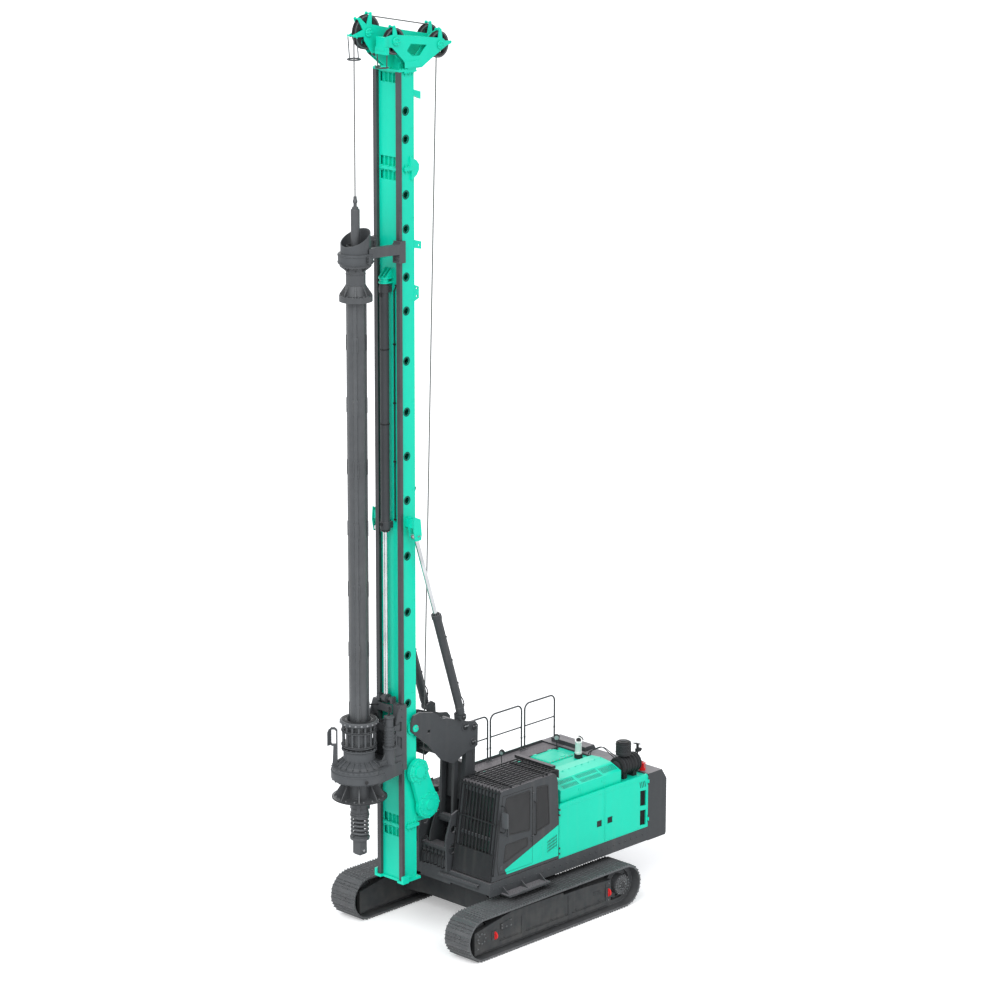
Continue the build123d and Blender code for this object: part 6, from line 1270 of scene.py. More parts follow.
spots = circle((DRILL_X, 0, 3784), "Z", 508, 32)
spots += circle((DRILL_X, 0, 4150), "Z", 313, 20)
spots += circle((DRILL_X, 0, 3563), "Z", 505, 24, way=(0, 0, -1))
for side in (1, -1):
    spots += circle((MOTOR_X, side * MOTOR_Y, 4140), "Z", 112, 8, first=22.0)
    spots += circle((MOTOR_X, side * MOTOR_Y, 4722), "Z", 80, 6)
    for z in (3660, 3760, 3860):
        spots += [((x, side * 399, z - 15), (0, side, 0), 0.2) for x in (2900, 3190)]
    for z in (3700, 3900, 4650, 4800):
        spots += [((2640, side * 371, z), (0, side, 0), 0.2)]
bolts("drive_case_bolts", spots, 28, 17, "carriage", DRIVE_GREY)
routes = []
for side in (1, -1):
    for k, height in enumerate((4640, 4590)):
        routes.append([(2930 + 40 * k, side * 262, height), (2930 + 40 * k, side * (170 - 40 * k), height),
                       (2770, side * (170 - 40 * k), height), (2770, side * (170 - 40 * k), 4470 - 30 * k),
                       (2752, side * (120 - 40 * k), 4430 - 30 * k)])
    routes.append([(2960, side * 345, 4738), (2960, side * 345, 4800), (2790, side * 200, 4800),
                   (2740, side * 150, 4800)])
pipes("drive_oil_pipes", routes, 14.0, "carriage", SOOT, bend=45.0, step=260.0, clamp=36.0)
eye = Bench()
eye.lathe([(0, 8), (30, 8), (36, 4), (36, 0), (0, 0)], (3690, 505, 3650), (0.49, 0.87, 0), 24)
eye.lathe([(0, 30), (16, 30), (16, 10), (24, 8), (24, 0), (0, 0)], (3560, -320, 3868), "Z", 16)
eye.finish("drive_oil_window", "carriage", GLASS, 1.0)
print("drive bolts", len(spots))

# %% [markdown]
# The cage above the case turns with the bar. Its rings are bolted, a rubber buffer lies on
# the collar, and the wide disc below throws the soil off; radial bolts join the sections.

# %% Turning cage
cage = Bench()
for z in (4216, 4496):
    cage.ring([(329, 0), (338, 4), (338, 14), (329, 18)], (DRILL_X, 0, z), "Z", 64)
cage.ring([(250, 0), (322, 0), (318, 10), (254, 10)], (DRILL_X, 0, 4708), "Z", 56)
cage.ring([(505, 0), (520, 6), (520, 22), (505, 28)], (DRILL_X, 0, 3181), "Z", 72)
cage.finish("drive_sleeve_rims", "drive_sleeve", SOOT, slot="track_steel")
spots = circle((DRILL_X, 0, 3209), "Z", 440, 16, first=11.0)
spots += circle((DRILL_X, 0, 4664), "Z", 355, 20, way="OUT")
spots += circle((DRILL_X, 0, 3181), "Z", 380, 12, way=(0, 0, -1))
bolts("drive_sleeve_bolts", spots, 26, 14, "drive_sleeve", ZINC)
print("cage bolts", len(spots))

# %% [markdown]
# The guide holds the top of the outer bar to the mast rails. Its two halves are bolted round
# the bearing, and brass-lined shoes run on the rails.

# %% Kelly guide fittings
guide = Bench()
for side in (1, -1):
    guide.block((DRILL_X - 24, DRILL_X + 24), (side * 318, side * 372), (13330, 13478))
    guide.block((2640, 2672), (side * 240, side * 380), (13270, 13600))
    guide.plate([(2672, 13420), (2900, 13420), (2900, 13440), (2672, 13590)], "Y", side * 330, side * 346)
for z in (13330, 13460):
    guide.ring([(320, 0), (330, 3), (330, 17), (320, 20)], (DRILL_X, 0, z), "Z", 56)
guide.finish("kelly_guide_clamps", "kelly_guide", DRIVE_GREY, 3.0)
spots = []
for side in (1, -1):
    for z in (13350, 13404, 13458):
        spots += [((DRILL_X + dx, side * 350, z), (dx, 0, 0), 0.0) for dx in (-24, 24)]
    for z in (13300, 13370, 13500, 13570):
        spots += [((2672, side * y, z), (1, 0, 0), 0.0) for y in (265, 355)]
bolts("kelly_guide_bolts", spots, 30, 18, "kelly_guide", CHARCOAL)
print("guide bolts", len(spots))

# %% [markdown]
# The winch winds the hoist rope in close turns on its drum, with a second layer begun. The
# winding is the same wound-wire tree as the spring, with a thinner wire. A motor sits on the
# far side, and the gear housing on the near side has its cover bolts.

# %% Mast winch
WINCH = (1935.0, 0.0, 2780.0)
wound("drum_rope_first_layer", (WINCH[0], -203, WINCH[2]), "Y", 16.0, 202.5, 12.2, 406.0, "winch_drum", ROPE)
wound("drum_rope_second_layer", (WINCH[0], -203, WINCH[2]), "Y", 9.0, 224.0, 12.0, 228.0, "winch_drum", ROPE)
rims = Bench()
for side in (1, -1):
    rims.ring([(238, 0), (252, 3), (252, 15), (238, 18)], (WINCH[0], side * 228, WINCH[2]), (0, -side, 0), 48)
rims.finish("winch_drum_rims", "winch_drum", SOOT, 1.5)
motor = Bench()
motor.lathe([(0, 210), (62, 210), (70, 200), (70, 120), (88, 116), (88, 60), (120, 56), (120, 20), (150, 14),
             (150, 0), (0, 0)], (WINCH[0], -285, WINCH[2]), (0, -1, 0), 36)
motor.block((WINCH[0] - 44, WINCH[0] + 44), (-470, -400), (WINCH[2] + 62, WINCH[2] + 108))
for side in (1, -1):
    for x0, z0, x1, z1 in ((1700, 2560, 2170, 2540), (1990, 3480, 2190, 3500)):
        motor.plate([(x0, z0), (x1, z1), (x1, z1 + 26), (x0, z0 + 26)], "Y", side * 284, side * 296)
motor.ring([(150, 0), (196, 0), (196, 22), (150, 26)], (WINCH[0], 349, WINCH[2]), "Y", 48)
motor.finish("winch_motor", "mast", GREEN, 3.0)
spots = circle((WINCH[0], -299, WINCH[2]), "Y", 134, 10, way=(0, -1, 0))
spots += circle((WINCH[0], -405, WINCH[2]), "Y", 79, 6, way=(0, -1, 0))
for x, z, r in ((1995.0, 2780.0, 270.0), (2250.0, 3490.0, 240.0)):
    spots += circle((x, 436, z), "Y", r - 12, 8, way=(0, 1, 0))
    spots += circle((x, 444, z), "Y", r - 70, 10, way=(0, 1, 0), first=18.0)
for side in (1, -1):
    for z in (2500, 2700, 3300, 3480):
        spots.append(((2196, side * 250, z), (-1, 0, 0), 0.0))
bolts("winch_bolts", spots, 26, 16, "mast", GREEN)
print("winch bolts", len(spots))

# %% [markdown]
# High up, the sheaves turn on pins with bolted end plates; grease lines and a small wind
# gauge complete the head. Each sheave also has a turned hub ring of its own that spins.

# %% Mast head fittings
SHEAVES = (("main_front", 3096, 0, 17440, 310), ("main_rear", 1560, 0, 17180, 250),
           ("aux_front", 2700, 290, 17265, 240), ("aux_rear", 1585, 290, 17090, 240))
plates, spots = Bench(), []
for name, x, y, z, r in SHEAVES:
    hub = Bench()
    for side in (1, -1):
        hub.ring([(46, 0), (84, 0), (84, 5), (76, 6), (46, 6)], (x, y + side * 37.5, z), (0, side, 0), 32)
        hub.ring(rectangle((r - 34, r - 8), (0, 3)), (x, y + side * 37.5, z), (0, side, 0), 48)
        plates.lathe([(0, 14), (20, 14), (28, 8), (74, 8), (82, 0), (82, -4), (0, -4)], (x, y + side * 80, z),
                     (0, side, 0), 32)
        spots += circle((x, y + side * 87, z), "Y", 60, 6, way=(0, side, 0))
    hub.finish(f"sheave_hub_{name}", f"sheave_{name}", TRACK, 0.0, "charcoal_paint")
plates.lathe([(0, 0), (16, 0), (16, 300), (6, 310), (6, 420), (0, 420)], (2300, -90, 16960), "Z", 12)
plates.block((2240, 2360), (-96, -84), (17310, 17322)).block((2340, 2364), (-104, -76), (17316, 17372))
plates.block((2100, 2480), (-250, -236), (16760, 16910)).block((2100, 2480), (350, 364), (16760, 16870))
plates.finish("mast_head_plates", "mast", GREEN)
for y in (-318, 318):
    spots += row((2230, y, 16738), (2560, y, 16738), 6, (0, 0, 1))
spots += row((2198, -270, 16738), (2198, 270, 16738), 6, (0, 0, 1))
bolts("mast_head_bolts", spots, 30, 18, "mast", GREEN)
print("head bolts", len(spots))

# %% [markdown]
# Cab windows are glued in behind rubber. Each seal is a ring between the window's outline and
# the same outline pulled inwards, and a longer one closes the gap round the door.

# %% Window seals
def seal(bench, outline, axis, start, end, width=16.0, over=8.0):
    """A rubber ring on the edge of a window."""
    outer = softened_outline(pulled(outline, -over), 34.0)
    inner = softened_outline(pulled(outline, width), 26.0)
    bench.frame(outer, inner, axis, start, end)


DOOR_WINDOWS = ([(315, 2080), (887, 2134), (1035, 2541), (946, 2888), (306, 2884)],
                [(369, 1792), (1024, 1596), (970, 1951), (370, 1957)])
SIDE_WINDOW = [(-186, 2872), (-235, 2077), (132, 1997), (124, 2899)]
RIGHT_WINDOW = [(-250, 2000), (1010, 2000), (940, 2850), (-230, 2850)]
door_rubber = Bench()
for outline in DOOR_WINDOWS:
    seal(door_rubber, outline, "Y", 1446, 1456)
door_rubber.finish("door_window_seals", "cab_door", RUBBER)
cab_rubber = Bench()
seal(cab_rubber, SIDE_WINDOW, "Y", 1446, 1456)
seal(cab_rubber, RIGHT_WINDOW, "Y", 424, 434)
DOOR_OUTLINE = [(238, 1400), (1160, 1400), (1205, 1640), (1130, 2400), (1050, 2935), (238, 2935)]
cab_rubber.frame(pulled(DOOR_OUTLINE, -9.0), pulled(DOOR_OUTLINE, 1.0), "Y", 1449, 1453)
cab_rubber.finish("cab_window_seals", "upper", RUBBER, 1.5)
print("windows sealed", len(DOOR_WINDOWS) + 2)

# %% [markdown]
# The door handle has a plate and a lock, and the windscreen a wiper that lies on the slope of
# the glass. The slope is one formula, so that the wiper follows it.

# %% Door handle and wiper
lock = Bench()
lock.plate(rectangle((905, 985), (2110, 2370), 20), "Y", 1450, 1455)
lock.lathe([(0, 8), (11, 8), (13, 0), (0, 0)], (942, 1455, 2128), "Y", 16)
lock.block((935, 952), (1490, 1497), (2160, 2320))
lock.plate(rectangle((250, 262), (2420, 2480)), "Y", 1450, 1458)
lock.block((1060, 1120), (1450, 1456), (1480, 1560))
lock.finish("door_handle_plate", "cab_door", DRIVE_GREY)


def front_x(z):
    """The x of the cab's sloping windscreen at a height, in millimetres."""
    return 1355.0 - 245.0 * (z - 1300.0) / 1750.0


wiper = Bench()
wiper.lathe([(0, 20), (20, 20), (26, 8), (26, 0), (0, 0)], (front_x(2070) - 22, 700, 2090), "X", 20)
for z0, z1, y0, y1, thick in ((2095, 2480, 700, 860, 8), (2250, 2760, 900, 905, 6)):
    start, end = Vector((front_x(z0) - 14, y0, z0)), Vector((front_x(z1) - 14, y1, z1))
    wiper.lathe(rectangle((0, thick), (0, (end - start).length)), start, end - start, 8)
wiper.block((front_x(2480) - 22, front_x(2480) - 8), (855, 910), (2470, 2486))
wiper.finish("windscreen_wiper", "upper", SOOT, 1.0)
print("the windscreen leans back by", round(front_x(1300) - front_x(3050)), "mm")

# %% [markdown]
# The panes lie almost flush with the door's skin, so thin sheets of the same tinted glass are
# laid in the seals. Behind the cab roof a visor closes the view to the hood. The visor's top
# and the walkway mat are a paler grey: painted light on flat tops that face the sky.

# %% Flush panes and visor skirt
PANES = (("door_flush_panes", "cab_door", DOOR_WINDOWS), ("side_flush_pane", "upper", (SIDE_WINDOW,)))
for name, body, outlines in PANES:
    panes = Bench()
    for outline in outlines:
        panes.plate(softened_outline(pulled(outline, -2.0), 30.0), "Y", 1443, 1449)
    panes.finish(name, body, GLASS, 1.0)
Bench().block((-500, -490), (440, 1440), (2930, 3088)).finish("visor_skirt", "upper", CHARCOAL, 1.0)
# The visor's top and the walkway mat carry the paler grey of painted top light.
Bench().block((-537, -443), (323, 1307), (3133, 3137.5)).finish("visor_top", "upper", TOP_LIT_GREY, 1.5)
Bench().plate(rectangle((-3046, -520), (-1396, -950)), "Z", 2345.2, 2348).finish(
    "walkway_mat", "upper", TOP_LIT_GREY, 0.0)
print("panes on", ", ".join(body for _, body, _ in PANES))

# %% [markdown]
# The grille in the side wedge is a field of short slanted slots. In the picture they read as
# dark bars; here the shade in each slot is painted as a thin black slat on the green plate,
# stood by the slat tree, inside a pressed rim. Grab rails are bent pipes, so the pipe tree makes them.

# %% Side grille, panel rims and grab rails
spots = []
for i in range(7):
    for j in range(4):
        x, z = -190 - 38 * i, 1530 + 62 * j + 10 * i
        spots.append(((x, 1454.6, z), (0, 1, 0), math.radians(68)))
# Painted shade: each black slat stands for the shade inside one slot of the grille.
stand("side_grille_painted_shade_slats", spots, SLATS, {"Length": 0.050, "Width": 0.015, "Height": 0.003}, "upper", SOOT)
rim = Bench()
grille = [(-150, 1480), (-440, 1540), (-440, 1830), (-150, 1740)]
rim.frame(grille, pulled(grille, 9.0), "Y", 1453.5, 1457.5)
lid = [(-20, 1420), (40, 1420), (40, 1680), (-20, 1700)]
rim.frame(lid, pulled(lid, 4.0), "Y", 1453.5, 1456)
rim.finish("side_panel_rims", "upper", GREEN, 1.0)
UNCLAMPED = 9000.0       # a clamp step longer than the pipe leaves one clamp, at its foot
rails = [
    [(180, 1452, 1960), (180, 1500, 1960), (180, 1500, 2620), (180, 1452, 2620)],
    [(1270, 1415, 1420), (1345, 1480, 1420), (1180, 1480, 2500), (1160, 1415, 2500)],
    [(-80, 1430, 3052), (-80, 1430, 3100), (560, 1430, 3100), (560, 1430, 3052)],
]
pipes("cab_grab_rails", rails, 13.0, "upper", SOOT, bend=50.0, step=UNCLAMPED, clamp=20.0)
print("grille slats", len(spots))

# %% [markdown]
# Work lamps light the tool and the tracks. A lamp is a turned housing with cooling fins, a
# glass in front and a bent bracket below. One helper makes it wherever the picture shows one.

# %% Work lamps
def lamp(name, at, way, radius, foot, body):
    """A work lamp that looks along a way, on a bracket down to its foot."""
    housing = Bench()
    housing.lathe([(0, -60), (radius * 0.5, -60), (radius * 0.9, -34), (radius, -8), (radius, 14),
                   (radius - 7, 14), (radius - 9, 2), (0, 2)], at, way, 28)
    for k in range(3):
        housing.ring(rectangle((radius * 0.62, radius * 1.02), (-54 + 12 * k, -49 + 12 * k)), at, way, 28)
    rise = Vector(at) - Vector(foot)
    housing.lathe(rectangle((0, 9), (0, rise.length - radius * 0.7)), foot, rise, 10)
    housing.lathe(rectangle((0, 30), (0, 8)), foot, "Z", 16)
    housing.finish(f"{name}_housing", body, SOOT, 1.5)
    lens = Bench()
    lens.lathe([(0, 3), (radius - 9, 3), (radius - 9, 7), (radius * 0.5, 11), (0, 12)], at, way, 28)
    lens.finish(f"{name}_lens", body, LAMP_GLASS, 0.0)


lamp("roof_lamp", (-1250, -820, 2700), (0.9, 0.3, -0.2), 52.0, (-1270, -820, 2362), "upper")
lamp("deck_lamp", (1470, -600, 1440), (1, -0.2, -0.15), 46.0, (1375, -600, 1281), "upper")
lamp("walkway_lamp", (-2920, -900, 2590), (0.75, 0.65, -0.1), 58.0, (-2930, -900, 2346), "upper")
lamp("mast_lamp", (2150, 190, 8900), (0.6, 0.3, -0.74), 48.0, (2205, 190, 8990), "mast")

# %% [markdown]
# At the rear stand a camera under a small roof, for the blind side, and the beacon in its
# guard of six bars. The door carries a mirror on two bent arms.

# %% Rear camera, beacon guard and mirror
post = Bench()
post.lathe([(0, 0), (34, 0), (34, 8), (14, 12), (14, 260), (0, 260)], (-3330, 900, 2373), "Z", 16)
post.block((-3410, -3290), (870, 930), (2630, 2700)).block((-3350, -3310), (880, 920), (2700, 2780))
post.plate([(-3370, 2780), (-3250, 2810), (-3250, 2828), (-3370, 2800)], "Y", 850, 950)
post.lathe([(0, 30), (24, 30), (28, 0), (0, 0)], (-3410, 900, 2665), (-1, 0, 0), 20)
post.finish("rear_camera_post", "upper", SOOT, 3.0)

BEACON_AT = (-3140, 1200, 2376.4)
guard = Bench()
for at, _, _ in circle(BEACON_AT, "Z", 62, 6):
    guard.lathe(rectangle((0, 5), (0, 150)), at, "Z", 8)
guard.ring(rectangle((57, 67), (0, 8)), BEACON_AT).ring(rectangle((57, 67), (140, 152)), BEACON_AT)
guard.finish("beacon_guard", "upper", RED, 0.0)
side_lamp = Bench()
side_lamp.lathe([(0, 0), (30, 0), (30, 6), (24, 10), (24, 64), (16, 80), (0, 86)], (-2990, -330, 2345.5), "Z",
                24)
side_lamp.finish("exhaust_side_lamp", "upper", RED_LENS, 0.0)
mirror = Bench()
mirror.plate(rectangle((1478, 1632), (2345, 2655), 40), "X", 1075, 1118)
mirror.block((1045, 1075), (1548, 1572), (2480, 2520))
mirror.finish("door_mirror", "cab_door", DRIVE_GREY, 8.0)
mirror_glass = Bench()
mirror_glass.plate(rectangle((1490, 1620), (2358, 2642), 34), "X", 1072, 1077)
mirror_glass.finish("door_mirror_glass", "cab_door", CHROME, 0.0)
arms = [
    [(1078, 1451, 2760), (1078, 1556, 2760), (1058, 1560, 2640), (1058, 1560, 2500)],
    [(1110, 1451, 2250), (1110, 1556, 2250), (1058, 1560, 2350), (1058, 1560, 2480)],
]
pipes("door_mirror_arms", arms, 10.0, "cab_door", SOOT, bend=40.0, step=UNCLAMPED, clamp=24.0)
print("camera, beacon guard and mirror are on")

# %% [markdown]
# Black latch plates sit in the recesses of the side doors, and a pressed line runs round each
# door where its sheet is folded. One loop over a table dresses all four, each on its own body.

# %% Side doors
DOORS = (("left_front", 1, -1716), ("left_rear", 1, -2017), ("right_front", -1, -1716),
         ("right_rear", -1, -2017))
for name, side, x in DOORS:
    latch = Bench()
    latch.plate(rectangle((x + 4, x + 141), (1644, 1766), 12), "Y", side * 1438.2, side * 1443)
    latch.plate(rectangle((x + 24, x + 121), (1664, 1716), 10), "Y", side * 1443, side * 1448)
    latch.lathe([(0, 5), (10, 5), (12, 0), (0, 0)], (x + 72, side * 1443, 1742), (0, side, 0), 16)
    latch.finish(f"door_latch_{name}", f"door_{name}", SOOT, 1.5)
    x0, x1 = (-1791, -506) if "front" in name else (-3044, -1797)
    fold = rectangle((x0 + 26, x1 - 26), (1312, 2300))
    Bench().frame(fold, pulled(fold, 5.0), "Y", side * 1449.6, side * 1451.4).finish(
        f"door_pressing_{name}", f"door_{name}", GREEN, 0.0)
print("doors dressed", len(DOORS))

# %% [markdown]
# Wire mesh keeps leaves out of the rear door's two openings. It is two sets of slats that
# cross, with a dark sheet behind for the radiator.

# %% Rear door mesh
upright = [((x, 1420, z), (0, 1, 0), math.pi / 2) for z in (1910, 1507.5) for x in range(-2980, -2800, 20)]
stand("rear_door_mesh_upright", upright, SLATS, {"Length": 0.335, "Width": 0.004, "Height": 0.004},
      "door_left_rear", SOOT)
across = [((-2902, 1418, z), (0, 1, 0), 0.0) for z0 in (1345, 1745) for z in range(z0 + 14, z0 + 330, 20)]
stand("rear_door_mesh_level", across, SLATS, {"Length": 0.178, "Width": 0.004, "Height": 0.004},
      "door_left_rear", SOOT)
back = Bench()
back.block((-2996, -2808), (1411, 1414), (1334, 2084)).block((-2990, -2790), (1440, 1444), (2124, 2266))
back.finish("rear_door_backing", "door_left_rear", SOOT, 0.0)
print("mesh wires", len(upright) + len(across))

# %% [markdown]
# Below the hood's louvres lies a black sheet of painted shade, so that the slots read black. It
# follows the slope between two points of the hood's outline. Handles, pressed lines and bolts finish it.

# %% Hood
SLOPE_LOW, SLOPE_HIGH = Vector((1380, 2612)), Vector((1112, 2722))
# Painted shade: a black sheet under the louvres, so that the slots read dark.
louvre_shade = Bench()
slope = (SLOPE_HIGH - SLOPE_LOW).normalized()
inwards = Vector((-slope.y, slope.x))
low_edge, high_edge = SLOPE_LOW + slope * 14 + inwards * 5.2, SLOPE_LOW + slope * 276 + inwards * 5.2
for x0, x1 in ((-2300, -1870), (-1830, -710)):
    louvre_shade.plate([tuple(low_edge), tuple(high_edge), tuple(high_edge + inwards * 4),
                  tuple(low_edge + inwards * 4)], "X", x0, x1)
louvre_shade.finish("hood_louvre_painted_shade", "hood", SOOT, 0.0)
handles = Bench()
for x in (-1860, -1200):
    handles.plate(rectangle((x, x + 90), (2500, 2560), 12), "Y", 1379.7, 1386)
for x in (-2323.5, -1850, -1180):
    handles.block((x - 2, x + 2), (1381, 1383), (2350, 2610))
handles.block((-2322, -613), (1379, 1384), (2352, 2366))
handles.finish("hood_handles", "hood", GREEN, 1.0)
bolts("hood_bolts", row((-2290, 1385, 2385), (-650, 1385, 2385), 12, (0, 1, 0))
      + row((-2290, 880, 2757), (-650, 880, 2757), 10, (0, 0, 1)), 18, 10, "hood", GREEN)
print("the louvred slope rises", round(math.degrees(math.atan2(slope.y, -slope.x))), "degrees")

# %% [markdown]
# Two lids in the roof open to the engine and the pumps. Each is a raised frame with hinges and
# a handle. A kick plate edges the walkway, so that no tool slides off.

# %% Roof lids and walkway
LIDS = ((-2860, -2200, -930, -400), (-1900, -760, -930, 480))
roof = Bench()
for x0, x1, y0, y1 in LIDS:
    roof.frame(rectangle((x0 + 22, x1 - 22), (y0 + 22, y1 - 22)),
               rectangle((x0 + 34, x1 - 34), (y0 + 34, y1 - 34)), "Z", 2360, 2366)
    for x in (x0 + 120, x1 - 120):
        roof.block((x - 50, x + 50), (y0 - 22, y0 + 24), (2346, 2372))
for x in (-2740, -1500, -1100):
    roof.plate(rectangle((x, x + 120), (-520, -480), 10), "Z", 2360, 2372)
roof.finish("roof_lid_frames", "upper", GREEN)
kick = Bench()
kick.block((-3040, -520), (-1408, -1400), (2345.5, 2404)).block((-3040, -520), (-948, -940), (2345.5, 2372))
kick.block((60, 680), (-1404, -1398), (2345.5, 2380))
kick.finish("walkway_kick_plate", "upper", CHARCOAL)
spots = row((-3000, -955, 2346), (-560, -955, 2346), 14, (0, 0, 1))
for x0, x1, y0, y1 in LIDS:
    spots += row((x0 + 12, y1 - 12, 2361), (x1 - 12, y1 - 12, 2361), 8, (0, 0, 1))
bolts("roof_bolts", spots, 20, 11, "upper", ZINC)
print("roof bolts", len(spots))

# %% [markdown]
# The exhaust is a bright pipe in a heat shield with a tilting flap. The air cleaner drinks
# through its upright cap and is strapped to a saddle; two thin steel pipes arch from the
# hood to its drum, as the picture shows.

# %% Exhaust and air cleaner
EXHAUST_AT, MOUTH_AT, MOUTH_WAY = (-2850, -240, 2432), (-2838, -226, 2722), (0.45, 0.55, 0.7)
CLEANER_X, CLEANER_Y = -2641, 1150
exhaust = Bench()
exhaust.ring([(62.2, 0), (66, 0), (66, 262), (69, 266), (69, 274), (56, 274), (56, 262), (62.2, 258)],
             EXHAUST_AT, "Z", 48)
exhaust.ring([(66, 20), (74, 22), (74, 40), (66, 42)], EXHAUST_AT, "Z", 40)
exhaust.ring([(50, -40), (70, -34), (70, -12), (76, 0), (76, 6), (50, 6)], MOUTH_AT, MOUTH_WAY, 44)
exhaust.finish("exhaust_pipe_sleeve", "upper", STAINLESS, 1.0)
mouth = Bench()
mouth.lathe(rectangle((0, 60), (-8, 2)), MOUTH_AT, MOUTH_WAY, 40)
mouth.finish("exhaust_mouth", "upper", SOOT, 0.0)
clamps = Bench()
for x in (-2920, -2840, -2600, -2520):
    clamps.ring(rectangle((180.5, 186), (0, 18)), (x - 9, CLEANER_Y, 2590), "X", 56)
for z in (2850, 3010):
    clamps.ring([(151, 0), (156, 3), (156, 15), (151, 18)], (CLEANER_X, CLEANER_Y, z), "Z", 48)
clamps.lathe([(0, 0), (52, 0), (52, 10), (12, 16), (0, 16)], (CLEANER_X, CLEANER_Y, 3080), "Z", 32)
clamps.lathe([(0, 0), (120, 0), (120, 24), (90, 40), (0, 40)], (-2440, CLEANER_Y, 2590), "X", 40)
for z in range(2868, 3000, 16):
    clamps.ring([(150, 0), (153, 2), (153, 5), (150, 7)], (CLEANER_X, CLEANER_Y, z), "Z", 40)
clamps.finish("air_cleaner_straps", "upper", FRAME_GREY, 0.0)
arches = [
    [(-2352, 540, 2347), (-2352, 540, 2800), (-2500, 700, 2905), (-2540, 1010, 2720)],
    [(-2352, 480, 2347), (-2352, 480, 2770), (-2560, 690, 2875), (-2620, 1000, 2715)],
]
pipes("air_cleaner_vent_pipes", arches, 9.0, "upper", SOOT, bend=110.0, step=UNCLAMPED, clamp=22.0)
print("vent pipes", len(arches))

# %% [markdown]
# The counterweight is a cast block with two sunk fields at the back, lifting eyes and grip
# fields on top, lamps at the rear corners and a towing pin below. A bolted slab raises
# its far end.

# %% Counterweight fittings
weight = Bench()
for y in (-1000, 1000):
    weight.ring([(26, 0), (52, 0), (60, 10), (60, 34), (52, 44), (26, 44)], (-3330, y - 22, 2410), "Y", 28)
    weight.block((-3374, -3286), (y - 22, y + 22), (2372, 2386))
for y in (-700, 700):
    weight.frame(rectangle((y - 436, y + 436), (1234, 1966)), rectangle((y - 420, y + 420), (1250, 1950)),
                 "X", -3622, -3616)
weight.block((-3626, -3610), (-90, 90), (1060, 1240))
weight.lathe([(0, 0), (34, 0), (34, 6), (22, 10), (22, 20), (30, 24), (0, 26)], (-3610, 0, 1150), (-1, 0, 0),
             24)
weight.finish("counterweight_eyes", "upper", CHARCOAL, 2.5)
patches = Bench()
for x, *widths in (((-3420, -3240), (-820, 120), (240, 800)), ((-3210, -3080), (560, 1100), (-900, -200))):
    for y in widths:
        patches.plate(rectangle(x, y, 20), "Z", 2375.8, 2377.6)
patches.finish("counterweight_grip_fields", "upper", GREY_PATCH, 0.0)
for y, name in ((1300, "left"), (-1300, "right")):
    Bench().plate(rectangle((y - 50, y + 50), (2010, 2070), 12), "X", -3628, -3619).finish(
        f"tail_lamp_{name}", "upper", RED_LENS)
slab = Bench()
slab.plate([(-3140, 2376.3), (-3140, 2466), (-3404, 2466), (-3460, 2376.3)], "Y", -1250, -330)
slab.block((-3320, -3300), (-1180, -400), (2466, 2468))
slab.finish("counterweight_end_slab", "upper", CHARCOAL, 12.0)
RAIL_POSTS = [(x, 2376.0 if x < -3050 else 2345.0) for x in (-3329, -2466, -2375, -1488, -1408, -560)]
rail_clamps = Bench()
for x, foot in RAIL_POSTS:
    rail_clamps.ring([(17.2, 0), (26, 0), (26, 26), (17.2, 30)], (x, -1350, foot + 12), "Z", 24)
    rail_clamps.ring(rectangle((17.2, 21), (0, 30)), (x, -1350, 2600), "Z", 24)
rail_clamps.finish("handrail_sockets", "upper", CHARCOAL, 0.0)
spots = [((x + dx, -1350 + dy, foot + 12), (0, 0, 1), 0.0) for x, foot in RAIL_POSTS for dx in (-33, 33)
         for dy in (-33, 33)]
bolts("handrail_foot_bolts", spots, 14, 9, "upper", ZINC)
print("handrail posts", len(RAIL_POSTS))

# %% [markdown]
# The front block carries valves and short pipes behind the mast, and a filler cap stands on
# the side tank. Bracket plates have stiffening collars round their lightening holes.

# %% Front deck
VALVES = (-250, -150, -50, 50, 150, 250)
deck = Bench()
for side in (1, -1):
    for (x, z), r in (((1310, 2090), 70), ((1330, 1700), 95), ((900, 1560), 90), ((500, 1420), 60)):
        deck.ring([(r - 4, 0), (r + 16, 0), (r + 12, 9), (r - 4, 9)], (x, side * 392, z), (0, side, 0), 32)
for y in VALVES:
    deck.block((1398, 1450), (y - 38, y + 38), (1480, 1600))
    deck.lathe([(0, 30), (16, 30), (20, 20), (20, 0), (0, 0)], (1424, y, 1600), "Z", 14)
    deck.lathe(rectangle((0, 14), (34, 0)), (1450, y, 1540), "X", 6)
deck.lathe([(0, 60), (64, 60), (74, 50), (74, 40), (60, 34), (60, 0), (0, 0)], (500, -900, 2388), "Z", 36)
deck.finish("front_deck_fittings", "upper", FRAME_GREY, 3.0)
routes = [[(1470, y, 1540), (1500, y, 1540), (1500, y, 1330 - abs(y) * 0.1), (1402, y, 1330 - abs(y) * 0.1)]
          for y in VALVES]
pipes("valve_pipes", routes, 12.0, "upper", SOOT, bend=40.0, step=UNCLAMPED, clamp=30.0)
bolts("deck_edge_bolts", row((-2900, 1451, 1150), (1300, 1451, 1150), 26, (0, 1, 0))
      + row((-2900, -1451, 1150), (1300, -1451, 1150), 26, (0, -1, 0)), 22, 12, "upper", CHARCOAL)
print("valves", len(VALVES))

# %% [markdown]
# The operator's seat is foam in sewn cloth on a sprung base. Foam bulges between its seams, so
# each pad starts a little small, is given even quads by a voxel remesh and is blown up for
# twenty frames of cloth under pressure. No point may travel far, which keeps the pad in its
# frame. A corded seam is laid on the swollen surface afterwards.

